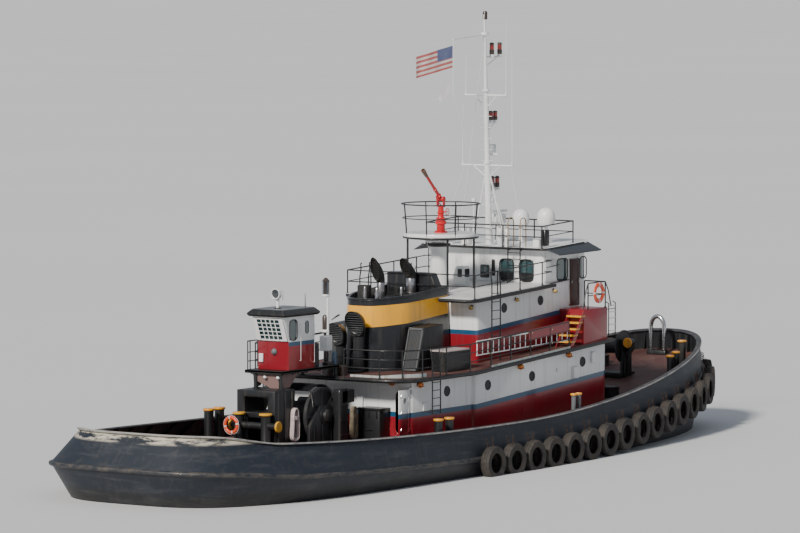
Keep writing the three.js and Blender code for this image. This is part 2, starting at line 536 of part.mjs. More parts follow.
// Bridge wings: the dark red platform sides that carry the pilothouse doors' landings, each with the
// side stairs that climb to it from the boat deck
const WING_AFT = 5300, WING_FORE = 6900, WING_HALF = 3450, STAIR_FOOT = 4330, STAIR_TREADS = 5;
function wing(side) {
  const span = (a, b) => (side < 0 ? [-b, -a] : [a, b]);
  const block = box(WING_AFT, WING_FORE, ...span(UPPER_HALF + GAP, WING_HALF), 3000, PILOT_FLOOR);
  const space = box(WING_AFT + WALL, WING_FORE - WALL, ...span(UPPER_HALF - 100, WING_HALF - WALL), 2900,
    PILOT_FLOOR - WALL);
  const foot = deck1Z(STAIR_FOOT), rise = (PILOT_FLOOR - foot) / (STAIR_TREADS + 1);
  const run = (WING_AFT - STAIR_FOOT) / (STAIR_TREADS + 1);
  const string = [[STAIR_FOOT - 60, foot - 100], [STAIR_FOOT + 180, foot - 100],
    [WING_AFT + 10, PILOT_FLOOR - 260], [WING_AFT + 10, PILOT_FLOOR - 20]];
  const pieces = [block.subtract(space)];
  for (const y of [2840, WING_HALF - 20]) pieces.push(profile(string, ...span(y - 20, y + 20)));
  for (let i = 1; i <= STAIR_TREADS; i++) {
    const x = STAIR_FOOT + i * run, z = foot + i * rise;
    pieces.push(box(x - 20, x + 210, ...span(2840, WING_HALF - 10), z - 30, z));
  }
  return on1(join(pieces));
}
add('bridge_wing_starboard', RED, wing(-1));
add('bridge_wing_port', RED, wing(1));

// Guard rails
const RAIL_BARS = [340, 640, 950];
function boatDeckRail() {
  const inset = DECK1_HALF - 60;
  const at = (x, y) => [x, y, deck1Z(x) + 0.5];
  const side = (s) => [at(WING_AFT - 1020, s * inset), at(DECK1_RISE_X, s * inset), at(DECK1_AFT + 1150, s * inset),
    at(DECK1_AFT + 480, s * (inset - 380)), at(DECK1_AFT + 80, s * (inset - 1050)), at(DECK1_AFT + 60, s * 1350)];
  const board = (s) => profile([[1600, deck1Z(1600) + 610], [4250, deck1Z(4250) + 610],
    [4250, deck1Z(4250) + 990], [1600, deck1Z(1600) + 990]], s * inset - 12, s * inset + 12);
  return sideways.map((s) => on1(rail(side(s), RAIL_BARS, { spacing: 1700 }).add(board(s))));
}
const [railStarboard, railPort] = boatDeckRail();
add('boat_deck_rail_starboard', BLACK, railStarboard);
add('boat_deck_rail_port', BLACK, railPort);

// The aft run passes between the forward exhaust and the casing's raised box
const BRIDGE_RAIL_AFT = -725;
function bridgeRail() {
  const y = DECK2_HALF - 50, x0 = BRIDGE_RAIL_AFT, x1 = DECK2_FORE - 60;
  const at = (x, s) => [x, s * y, deck2Z(x) + 0.5];
  const sides = sideways.map((s) => rail([at(x1, s), at(x0, s)], [480, 950], { spacing: 1700 }));
  const aft = [480, 950].map((h) => rod([x0, -y, deck2Z(x0) + h], [x0, y, deck2Z(x0) + h], RAIL_R * 0.7, 4));
  return on2(join([...sides, ...aft]));
}
add('bridge_deck_rail', BLACK, bridgeRail());

function wingRail(side) {
  const y = side * (WING_HALF - 50), z = PILOT_FLOOR + GAP;
  return rail([[WING_AFT + 60, y, z], [WING_FORE - 60, y, z], [WING_FORE - 60, side * 2520, z]], [480, 950],
    { spacing: 900, foot: 0 });
}
add('wing_rail_starboard', BLACK, wingRail(-1));
add('wing_rail_port', BLACK, wingRail(1));

const roofTop = (x) => pilotTop(x) + ROOF_THICK;
const onRoof = (piece) => piece.subtract(profile([[0, 0], [12000, 0], [12000, roofTop(12000) + GAP],
  [0, roofTop(0) + GAP]], -9000, 9000));
// Rail round the roof, with the ladder that climbs to it from the bridge deck
function roofRail() {
  const at = (x, y) => [x, y, roofTop(x)];
  const ring = onRoof(rail([at(4000, -2480), at(6900, -2480), at(6900, 2480), at(4000, 2480)], [480, 950],
    { spacing: 1500, closed: true }));
  const x = 3840, y = -1105, z = roofTop(4000) + 950;
  const climb = on2(ladder([x, y, deck2Z(x) - 60], [x, y, z + 60], [0, 285, 0], 9));
  const ties = sideways.map((s) => rod([x - 20, y + s * 285, z], [4010, y + s * 285, z], 20, 4));
  return join([ring, climb, ...ties]);
}
add('roof_rail', BLACK, roofRail());

// Stack casing: sides that taper in upward, a tray with a coaming on top, and a raised box forward
const CASING_BASE = [[-260, 1330], [-2750, 1330], [-3750, 860], [-4100, 500]];
const CASING_TOP = [[-180, 1180], [-2700, 1180], [-3560, 760], [-3900, 420]];
const mirrored = (half) => [...half, ...half.map(([x, y]) => [x, -y]).reverse()];
const CASING_RISE = 0.075;
function casing() {
  const lift = (outline, z) => mirrored(outline).map(([x, y]) => [x, y, z + CASING_RISE * (x + 4000)]);
  const body = skinned([mirrored(CASING_BASE).map(([x, y]) => [x, y, 3000]), lift(CASING_TOP, 5900)]);
  const tray = lift(CASING_TOP.map(([x, y]) => [x + (x < -1000 ? 90 : -90), y - 90]), 5620);
  const trayTop = lift(CASING_TOP.map(([x, y]) => [x + (x < -1000 ? 90 : -90), y - 90]), 6200);
  const bin = skinned([
    mirrored([[-190, 1080], [-640, 1080]]).map(([x, y]) => [x, y, 5500]),
    mirrored([[-220, 1000], [-610, 1000]]).map(([x, y]) => [x, y, 6640])]);
  return on1(body.subtract(skinned([tray, trayTop])).add(bin));
}
add('stack_casing', YELLOW, casing());

// Exhausts on one base in the tray: bright pipes with cut-off elbows leaning aft, and small vents
const TRAY_Z = 5620;
const trayZ = (x) => TRAY_Z + CASING_RISE * (x + 4000) + GAP;
const EXHAUSTS = [[-2600, 150, 6460, 7280], [-1000, 175, 6560, 7230]];
function exhausts() {
  const base = profile([[-3300, trayZ(-3300)], [-760, trayZ(-760)], [-760, trayZ(-760) + 60],
    [-3300, trayZ(-3300) + 60]], -300, 300);
  const pieces = [base];
  for (const [x, r, z, tip] of EXHAUSTS) {
    const lean = (tip - z) * 0.62;
    pieces.push(post(x, 0, trayZ(x) + 20, z, r, 10));
    pieces.push(rod([x + 20, 0, z - 80], [x - lean, 0, tip - 60], r * 1.02, 10));
  }
  for (const x of [-3200, -1750]) pieces.push(post(x, -230, trayZ(x) + 20, 6330 + 0.07 * (x + 3200), 60, 6));
  return join(pieces);
}
add('exhausts', STEEL, exhausts());

// Cowl ventilators abaft the casing, on one coaming
function cowls() {
  const x = -4650;
  const pieces = [box(x - 260, x + 260, -560, 760, 3000, 3480)];
  for (const [y, z, r] of [[-260, 5190, 290], [440, 4880, 260]]) {
    pieces.push(post(x + 60, y, 3400, z, r * 0.72, 8));
    pieces.push(rod([x + 180, y, z], [x - 330, y, z + 20], r, 10));
  }
  return on1(join(pieces));
}
add('cowl_ventilators', BLACK, cowls());

// Ventilation trunks leaning against each side of the casing
function trunk(side) {
  const y = side < 0 ? [-1980, -1345] : [1345, 1980];
  return on1(profile([[-3380, 3000], [-1650, 3000], [-1650, 4960], [-2820, 4900]], ...y));
}
add('vent_trunk_starboard', GREY, trunk(-1));
add('vent_trunk_port', GREY, trunk(1));

add('deck_locker', BLACK, on1(box(-3900, -1150, -2980, -2300, 3000, 4330)));

// Fire monitor on its platform over the bridge deck: a column, four legs and a guard ring that flares
const MON_X = 1200, MON_FLOOR = 7950, MON_R = 1340, MON_RISER = 8360, MON_PIVOT = 9150;
const RING_SIDES = 16, RING_POSTS = 8, HOOPS = [[480, MON_R + 20], [950, MON_R + 60]];   // height, radius
function monitorPlatform() {
  const disc = turned([[0, MON_FLOOR - 190], [MON_R - 60, MON_FLOOR - 190], [MON_R, MON_FLOOR - 60],
    [MON_R, MON_FLOOR], [0, MON_FLOOR]], MON_X, 0, RING_SIDES);
  const column = turned([[0, 5000], [190, 5000], [190, 6900], [360, MON_FLOOR - 150], [0, MON_FLOOR - 150]],
    MON_X, 0, 8);
  const pieces = [disc, column, post(MON_X, 0, MON_FLOOR - 20, MON_RISER - PIN_GAP, 120, 8)];
  for (const a of [-850, 850]) {
    for (const b of [-850, 850]) pieces.push(post(MON_X + a, b, 5000, MON_FLOOR - 90, 36, 4));
  }
  for (const [h, r] of HOOPS) {
    const [low, high] = [MON_FLOOR + h - 17, MON_FLOOR + h + 17];
    pieces.push(turned([[r - 17, low], [r + 17, low], [r + 17, high], [r - 17, high], [r - 17, low]],
      MON_X, 0, RING_SIDES));
  }
  const foot = MON_R - 70, head = (MON_R + 62) * Math.cos(Math.PI / RING_SIDES);
  for (let i = 0; i < RING_POSTS; i++) {
    const a = ((i + 0.25) * 2 * Math.PI) / RING_POSTS, c = Math.cos(a), s = Math.sin(a);
    const [low, high] = [[foot, MON_FLOOR - 80], [head, MON_FLOOR + 990]].map(([r, z]) => [MON_X + r * c, r * s, z]);
    pieces.push(rod(low, high, 20, 4));
  }
  return on2(join(pieces));
}
add('monitor_platform', WHITE, monitorPlatform());

const CHEEK_IN = 110, CHEEK_OUT = 150;
add('monitor_swivel', MONITOR_RED, join([
  turned([[0, MON_RISER], [170, MON_RISER], [170, MON_RISER + 90], [85, MON_RISER + 130], [85, MON_PIVOT - 240],
    [0, MON_PIVOT - 240]], MON_X, 0, 8),
  box(MON_X - 70, MON_X + 70, -CHEEK_OUT, CHEEK_OUT, MON_PIVOT - 290, MON_PIVOT - 220),
  ...sideways.map((s) => box(MON_X - 70, MON_X + 70, Math.min(s * CHEEK_IN, s * CHEEK_OUT),
    Math.max(s * CHEEK_IN, s * CHEEK_OUT), MON_PIVOT - 290, MON_PIVOT + 80)),
]));

// The barrel points aft and up
const BARREL = [[-1150, 1070], 1570];
function monitorBarrel() {
  const [[dx, dz], long] = BARREL;
  const n = Math.hypot(dx, dz);
  const at = (t) => [MON_X + (dx / n) * t, 0, MON_PIVOT + (dz / n) * t];
  const hub = rod([MON_X, PIN_GAP - CHEEK_IN, MON_PIVOT], [MON_X, CHEEK_IN - PIN_GAP, MON_PIVOT], 78, 8);
  return join([hub, rod(at(0), at(long - 300), 62, 8), rod(at(long - 320), at(long), 82, 8)]);
}
add('monitor_barrel', MONITOR_RED, monitorBarrel());

// Mast, raked aft, with its cross arms, lamp brackets, lamps and ensign gaff
const MAST_FOOT = 7380, MAST_RAKE = -0.0416, MAST_TOP = 15000;
const mastX = (z) => 4360 + MAST_RAKE * (z - MAST_FOOT);
const MAST_ARMS = [[10230, 1110], [12760, 900]];                       // height, half span
const LAMP_BRACKETS = [[9330, 700, 500], [11760, 660, 430], [14130, 1050, 520]];   // height, reach, lamp height
function mast() {
  const tube = (z0, z1, r, sides = 8) => rod([mastX(z0), 0, z0], [mastX(z1), 0, z1], r, sides);
  const pieces = [tube(7000, 10400, 125), tube(10300, 13000, 100), tube(12900, MAST_TOP, 70),
    tube(MAST_TOP - 50, 15650, 34, 4)];
  for (const [z, half] of MAST_ARMS) pieces.push(rod([mastX(z), -half, z], [mastX(z), half, z], 38, 4));
  for (const [z, reach, tall] of LAMP_BRACKETS) {
    const x = mastX(z);
    pieces.push(rod([x, 0, z], [x + reach, 0, z], 34, 4));
    for (const out of [reach * 0.42, reach - 90]) pieces.push(post(x + out, 0, z, z + tall, 95, 6));
  }
  const x = mastX(MAST_TOP);
  pieces.push(post(x + 30, 0, 15480, 15790, 85, 6));
  pieces.push(rod([x, 0, MAST_TOP - 60], [GAFF_X, 0, GAFF_Z], 26, 4));
  pieces.push(post(GAFF_X, 0, 12800, GAFF_Z, 10, 4));
  pieces.push(box(mastX(10700) - 30, mastX(10700) + 520, -60, 60, 10560, 10980));
  return onRoof(join(pieces));
}
const GAFF_X = 1990, GAFF_Z = 14800;
add('mast', WHITE, mast());

// Ensign and pennant flying from the gaff's line
const cloth = (points, thick = 24) => {
  const flat = new THREE.ExtrudeGeometry(drawn(points), { depth: thick, bevelEnabled: false });
  flat.translate(0, 0, -thick / 2);
  flat.rotateX(Math.PI / 2);
  flat.rotateZ(Math.PI - 0.72);
  flat.translate(GAFF_X, 0, 0);
  return solid(flat);
};
const LINE_R = 14.42;             // the cloths' edge clears the corner of the halyard by a gap
add('ensign', CLOTH, cloth([[LINE_R, 13780], [1380, 13400], [1380, 14200], [LINE_R, 14600]]));
add('pennant', CLOTH, cloth([[LINE_R, 13420], [LINE_R, 13020], [440, 12560], [560, 12700]]));

// Aft control cab: lower part upright, its aft window leaning out over the towing deck
const CAB_FLOOR = 3800, CAB_AFT = -9060, CAB_FORE = -7540, CAB_HALF = 640, CAB_TOP = 5620, CAB_WAIST = 4780;
const CAB_LEAN = 330;
function cabSide(inset) {
  const aft = CAB_AFT + inset, fore = CAB_FORE - inset, low = CAB_FLOOR - 100, high = CAB_TOP + 200;
  return [[aft, low], [fore, low], [fore, high], [aft - CAB_LEAN - 70, high], [aft, CAB_WAIST]];
}
const CAB_DOOR = [-90, 520], CAB_HINGE_X = CAB_FORE + HINGE_OUT, CAB_HINGE_Y = CAB_DOOR[1] + 20;
const cabDoorZ = [CAB_FLOOR + 70, CAB_TOP - 130];
function cab() {
  const trim = [[CAB_TOP, 9000], [0, CAB_FLOOR + GAP]].map((z) => box(-12000, -5000, -2000, 2000, ...z));
  const shell = profile(cabSide(0), -CAB_HALF, CAB_HALF)
    .subtract(profile(cabSide(WALL), WALL - CAB_HALF, CAB_HALF - WALL));
  const aftWindow = box(CAB_AFT - 700, CAB_AFT + 200, 90 - CAB_HALF, CAB_HALF - 90, CAB_WAIST + 60, CAB_TOP - 110);
  const sideWindow = box(CAB_AFT + 60, CAB_AFT + 480, -2000, 2000, CAB_WAIST + 50, CAB_TOP - 130);
  const door = box(CAB_FORE - 100, CAB_FORE + 100, ...CAB_DOOR, cabDoorZ[0] + 25, cabDoorZ[1] - 25);
  const ears = hingeEars(CAB_HINGE_X, CAB_HINGE_Y, cabDoorZ, [-1, 0]);
  return join([cut(shell, [...trim, aftWindow, sideWindow, door]), ...ears]);
}
add('control_cab', RED, cab());

// White window guard over the aft window: a leaning plate with rows of openings
const GUARD_ROWS = 4, GUARD_COLUMNS = 5, GUARD_BAR = 22, GUARD_THICK = 26;
function cabGuard() {
  const z0 = CAB_WAIST + 20, z1 = CAB_TOP - 60, half = CAB_HALF - 10;
  const lean = (CAB_LEAN + 70) / (CAB_TOP + 200 - CAB_WAIST);
  const face = (z) => CAB_AFT - 1 - lean * (z - CAB_WAIST);
  const plate = profile([[face(z0), z0], [face(z1), z1], [face(z1) - GUARD_THICK, z1],
    [face(z0) - GUARD_THICK, z0]], -half, half);
  const wide = (2 * half) / GUARD_COLUMNS, tall = (z1 - z0) / GUARD_ROWS;
  const openings = [];
  for (let i = 0; i < GUARD_COLUMNS; i++) {
    for (let k = 0; k < GUARD_ROWS; k++) {
      const y = i * wide - half, z = z0 + k * tall;
      openings.push(box(CAB_AFT - 900, CAB_AFT + 300, y + GUARD_BAR, y + wide - GUARD_BAR,
        z + GUARD_BAR, z + tall - GUARD_BAR));
    }
  }
  return cut(plate, openings);
}
add('cab_window_guard', WHITE, cabGuard());

add('door_cab', RED, leaf(CAB_HINGE_X, CAB_HINGE_Y, [0, -1], CAB_DOOR[1] - CAB_DOOR[0] + 40, cabDoorZ));

function cabRoof() {
  const outline = (inset) => plan(-9560 + inset, -7380 - inset, 860 - inset, 60, 60, 1);
  const at = (inset, z) => outline(inset).map(([x, y]) => [x, y, z]);
  const seat = post(-8800, 0, CAB_TOP + 200, LAMP_STEM, 60, 6);
  const levels = [at(40, CAB_TOP + GAP), at(0, CAB_TOP + 60), at(0, CAB_TOP + 110), at(330, CAB_TOP + 260)];
  return skinned(levels).add(seat);
}
const LAMP_STEM = 6120;
add('cab_roof', BLACK, cabRoof());
add('searchlight', WHITE, join([post(-8800, 0, LAMP_STEM + PIN_GAP, LAMP_STEM + 120, 40, 6),
  rod([-8960, 0, LAMP_STEM + 250], [-8640, 0, LAMP_STEM + 250], 175, 10)]));

// Cab platform: floor, stubs on the tow frame, feet on the boat deck, and a rail on the port side
const LEAD_TOP = 3180, LEAD_AFT = -10080, LEAD_FORE = -8900;
function cabPlatform() {
  const y0 = -690, y1 = 1120, aft = -9500, fore = DECK1_AFT + 160;
  const floor = box(aft, fore, y0, y1, CAB_FLOOR - 110, CAB_FLOOR);
  const stubs = sideways.map((s) => post(aft + 160, s * 520, LEAD_TOP + GAP, CAB_FLOOR - 50, 80, 4));
  const feet = [y0 + 90, y1 - 90].map((y) => post(fore - 80, y, DECK1_LOW + GAP, CAB_FLOOR - 50, 60, 4));
  const guard = rail([[fore - 60, y1 - 40, CAB_FLOOR], [aft + 40, y1 - 40, CAB_FLOOR],
    [aft + 40, CAB_HALF + 60, CAB_FLOOR]], RAIL_BARS, { spacing: 1500 });
  return join([floor, ...stubs, ...feet, guard]);
}
add('cab_platform', BLACK, cabPlatform());

// Post with the stern and towing lights, abaft the casing on the centreline
function lightPost() {
  const x = -5950;
  const lantern = box(x - 150, x + 150, -130, 130, 4250, 4900);
  return on1(join([post(x, 0, 3000, 4600, 90), post(x, 0, 4500, 6250, 48), lantern, post(x - 40, 60, 4850, 5400, 110),
    post(x, 0, 6150, 6760, 120), rod([x, 0, 6180], [x - 40, 60, 5350], 30, 4)]));
}
add('light_post', WHITE, lightPost());

// Towing winch under the cab: two side frames joined across, and the drum between them
const WINCH_X = -7750, WINCH_Z = 2200, WINCH_HALF = 1120, DRUM_R = 420, FLANGE_R = 970, CHEEK = 120;
function towWinchFrame() {
  const outline = [[-8700, 500], [-6850, 500], [-6850, 1500], [-7450, 2560], [-8050, 2560], [-8700, 1900]];
  const cheeks = [WINCH_HALF + 10, -WINCH_HALF - 10 - CHEEK].map((y) => profile(outline, y, y + CHEEK));
  const bed = box(-8600, -6400, -WINCH_HALF - 60, WINCH_HALF + 60, 400, 1120);
  const gear = box(-6720, -6380, -700, 700, 1000, 2350);
  return onDeck(join([...cheeks, bed, gear]));
}
add('towing_winch_frame', BLACK, towWinchFrame());

// A drum with two flanges, turning about a line along Y through (x, z)
function drum(x, z, half, core, flange, plate, sides) {
  const end = half + 10 - PIN_GAP, hub = core * 0.36;
  const half0 = [[0, -end], [hub, -end], [hub, 30 - half], [flange, 30 - half], [flange, 30 + plate - half],
    [core, 30 + plate - half]];
  return turnedAcross([...half0, ...half0.map(([r, y]) => [r, -y]).reverse()], [x, 0, z], sides);
}
add('towing_winch_drum', GREY, drum(WINCH_X, WINCH_Z, WINCH_HALF, DRUM_R, FLANGE_R, 50, 14));

// Black box frame abaft the winch that leads the towing hawser
function towFrame() {
  const outer = box(LEAD_AFT, LEAD_FORE, -790, 790, 400, LEAD_TOP);
  return onDeck(cut(outer, [[2420, 2950], [1250, 2250]].map((z) => box(-11000, -8000, -480, 480, ...z))));
}
add('tow_lead_frame', BLACK, towFrame());

// Towing bitt: two posts with round caps and a crossbar with yellow ends
const BITT_X = -10500;
function towBitt() {
  const pieces = [turnedAcross([[0, -960], [185, -960], [185, -890], [120, -880], [120, 880], [185, 890],
    [185, 960], [0, 960]], [BITT_X, 0, 2020], 10)];
  for (const y of [-590, 590]) {
    pieces.push(turned([[0, 400], [170, 400], [170, 2380], [225, 2380], [225, 2450], [0, 2450]], BITT_X, y, 10));
  }
  return onDeck(join(pieces));
}
add('towing_bitt', BLACK, towBitt());

// Bow hawser winch, and the polished staple at the stem
const BOW_X = 12750, BOW_Z = 3120, BOW_HALF = 620;
function bowWinchFrame() {
  const cheeks = [BOW_HALF + 10, -BOW_HALF - 110].map((y) =>
    section([[y, 1000], [y + 100, 1000], [y + 100, 3400], [y, 3400]], BOW_X - 330, BOW_X + 330));
  const bed = box(BOW_X - 420, BOW_X + 560, -BOW_HALF - 130, BOW_HALF + 130, 1000, 2150);
  const gear = box(BOW_X - 260, BOW_X + 300, BOW_HALF + 100, BOW_HALF + 700, 1000, 3300);
  const head = turnedAcross([[0, -BOW_HALF - 330], [200, -BOW_HALF - 330], [200, -BOW_HALF - 200],
    [90, -BOW_HALF - 190], [90, -BOW_HALF - 100], [0, -BOW_HALF - 100]], [BOW_X, 0, BOW_Z], 10);
  return onDeck(join([...cheeks, bed, gear, head]));
}
add('bow_winch_frame', BLACK, bowWinchFrame());
add('bow_winch_drum', GREY, drum(BOW_X, BOW_Z, BOW_HALF, 260, 620, 40, 12));

function staple() {
  const x = 15950, y = 330, top = 4050;
  const places = [[-y, 1500], [-y, 3600], [-y * 0.72, top - 130], [0, top], [y * 0.72, top - 130], [y, 3600], [y, 1500]];
  const arch = new THREE.CatmullRomCurve3(places.map(([a, z]) => new THREE.Vector3(x, a, z)), false, 'chordal');
  const ring = Array.from({ length: 8 }, (_, i) => new THREE.Vector2(
    85 * Math.cos((i * Math.PI) / 4), 85 * Math.sin((i * Math.PI) / 4)));
  const along = { steps: 20, extrudePath: arch, bevelEnabled: false };
  const tube = new THREE.ExtrudeGeometry(new THREE.Shape(ring), along);
  return onDeck(solid(tube).add(box(x - 130, x + 130, -420, 420, 1500, 2720)));
}
add('hawser_staple', STEEL, staple());

// Locker on the aft wall of the deckhouse, and the gangway stowed outside the starboard rail
add('hose_locker', BLACK, onDeck(box(-5900, HOUSE_AFT - GAP, -2200, -1300, 400, 2330)));
function gangway() {
  const y = -DECK1_HALF + 60 - RAIL_R - GAP - 28;
  const bar = (x0, z0, x1, z1, r) => rod([x0, y, z0], [x1, y, z1], r, 4);
  const [x0, x1] = [-1750, 4250];
  const low = (x) => 3930 + ((x - x0) / (x1 - x0)) * 130, high = (x) => low(x) + 480;
  const pieces = [bar(x0, low(x0), x1, low(x1), 28), bar(x0, high(x0), x1, high(x1), 28)];
  for (let i = 0; i <= 12; i++) {
    const x = x0 + 40 + ((x1 - x0 - 80) * i) / 12;
    pieces.push(bar(x, low(x), x, high(x), 22));
  }
  return join(pieces);
}
add('gangway', WHITE, gangway());

// Life rings: one on the starboard wing rail, one on the port end of the towing bitt
function lifeRing(x, y, z, turn) {
  const section = [[230, -50], [370, -50], [370, 50], [230, 50], [230, -50]];
  const ring = new THREE.LatheGeometry(section.map(([r, h]) => new THREE.Vector2(r, h)), 10);
  ring.rotateZ(turn);
  ring.translate(x, y, z);
  return solid(ring);
}
add('life_ring_wing', ORANGE, lifeRing(6280, -WING_HALF + 50 - RAIL_R - GAP - 50, 5640, 0));
add('life_ring_aft', ORANGE, lifeRing(BITT_X - 185 * Math.cos(Math.PI / 10) - GAP - 50, 690, 2000, Math.PI / 2));

// Rope hanks: one on the side of the tow frame, one beside the locker
function hank(x0, x1, y0, y1, z0, z1) {
  const lengthwise = x1 - x0 > y1 - y0;
  const [a0, a1] = lengthwise ? [x0, x1] : [y0, y1], mid = (a0 + a1) / 2, r = (a1 - a0) / 2;
  const ends = (z, from) => Array.from({ length: 5 }, (_, i) => {
    const t = ((from + i * 45) * Math.PI) / 180;
    return [mid + r * Math.cos(t), z + r * 0.7 * Math.sin(t)];
  });
  const outline = [...ends(z1 - r * 0.7, 0), ...ends(z0 + r * 0.7, 180)];
  return lengthwise ? profile(outline, y0, y1) : section(outline, x0, x1);
}
add('rope_hank_white', ROPE, hank(-9200, -8800, -790 - GAP - 170, -790 - GAP, 1400, 2580));
add('rope_hank_tan', ROPE, hank(-5900, -5560, -1300 + GAP, -1300 + GAP + 180, 1230, 2420));

export default group;
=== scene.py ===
# %% [markdown]
# # A ship-handling tug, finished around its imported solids
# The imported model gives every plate, rail, winch and joint its place, in metres: +X is forward, +Y is
# port, +Z is up, and the waterline is at z = 0. This lesson dresses those solids: fine meshes where the
# plain solid is too coarse, and procedural paint, rubber, rope and steel everywhere.

# %% Load the frame
import math
import random

import bmesh
import bpy
from mathutils import Matrix, Vector
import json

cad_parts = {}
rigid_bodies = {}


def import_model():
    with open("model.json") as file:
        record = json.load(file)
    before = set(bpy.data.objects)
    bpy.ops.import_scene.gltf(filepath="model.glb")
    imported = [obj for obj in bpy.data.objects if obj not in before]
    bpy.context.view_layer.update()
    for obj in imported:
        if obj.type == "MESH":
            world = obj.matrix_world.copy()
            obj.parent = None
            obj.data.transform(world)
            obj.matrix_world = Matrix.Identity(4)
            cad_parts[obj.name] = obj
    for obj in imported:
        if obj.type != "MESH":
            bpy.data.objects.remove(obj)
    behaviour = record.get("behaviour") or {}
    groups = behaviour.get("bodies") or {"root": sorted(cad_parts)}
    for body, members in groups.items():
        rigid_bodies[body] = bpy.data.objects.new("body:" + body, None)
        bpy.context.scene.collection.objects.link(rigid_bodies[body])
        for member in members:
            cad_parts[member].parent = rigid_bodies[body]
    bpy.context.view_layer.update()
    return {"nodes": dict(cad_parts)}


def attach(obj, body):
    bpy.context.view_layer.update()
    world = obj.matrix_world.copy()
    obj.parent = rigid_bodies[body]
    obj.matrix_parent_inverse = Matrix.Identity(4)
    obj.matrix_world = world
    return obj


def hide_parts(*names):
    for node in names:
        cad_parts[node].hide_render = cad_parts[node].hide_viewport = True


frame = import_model()
nodes = frame["nodes"]
random.seed(7)
print("loaded", len(nodes), "nodes")

UP, FORWARD, PORTWARD = (0, 0, 1), (1, 0, 0), (0, 1, 0)


def placed(name, data):
    """A new object of some data, put in the scene."""
    piece = bpy.data.objects.new(name, data)
    bpy.context.scene.collection.objects.link(piece)
    return piece


def angles(count):
    """Angles spread evenly round a circle."""
    return [2 * math.pi * k / count for k in range(count)]


# %% [markdown]
# ## The camera
# The photograph was taken with a long lens from a high bank, off the starboard quarter. A long lens
# flattens perspective, so the camera stands 170 m away and its frame is filled by a 216 mm lens.

# %% Camera
AZIMUTH, ELEVATION = math.radians(56), math.radians(3.8)
FOCAL_PIXELS, FRAME_WIDTH, FRAME_HEIGHT = 4800.0, 800, 533
ORIGIN_PIXEL = (422.0, 458.0)          # where the origin shows in the photograph's frame
DISTANCE = FOCAL_PIXELS / 28.2         # 28.2 pixels to the metre at the origin

look = Vector((math.sin(AZIMUTH) * math.cos(ELEVATION), math.cos(AZIMUTH) * math.cos(ELEVATION),
               -math.sin(ELEVATION)))
right = Vector((math.cos(AZIMUTH), -math.sin(AZIMUTH), 0))
up = right.cross(look)
across = (ORIGIN_PIXEL[0] - FRAME_WIDTH / 2) / FOCAL_PIXELS
down = (ORIGIN_PIXEL[1] - FRAME_HEIGHT / 2) / FOCAL_PIXELS
eye = -DISTANCE * (look + right * across - up * down)
camera_data = bpy.data.cameras.new("camera")
camera_data.sensor_width = 36
camera_data.lens = FOCAL_PIXELS * 36 / FRAME_WIDTH
camera_data.clip_end = 8000
camera = placed("camera", camera_data)
camera.matrix_world = Matrix((right, up, -look)).transposed().to_4x4()
camera.location = eye
bpy.context.scene.camera = camera
print("camera at", [round(v, 1) for v in eye])

# %% [markdown]
# ## Small tools for making meshes
# Every piece is gathered in a `Shape`: tubes along a path, turned profiles, chamfered blocks and skinned
# rings. One object is made of it at the end, at the origin, so that patterns on Object coordinates stay
# true to the boat. A block's edges are chamfered, because a real plate edge always catches some light.

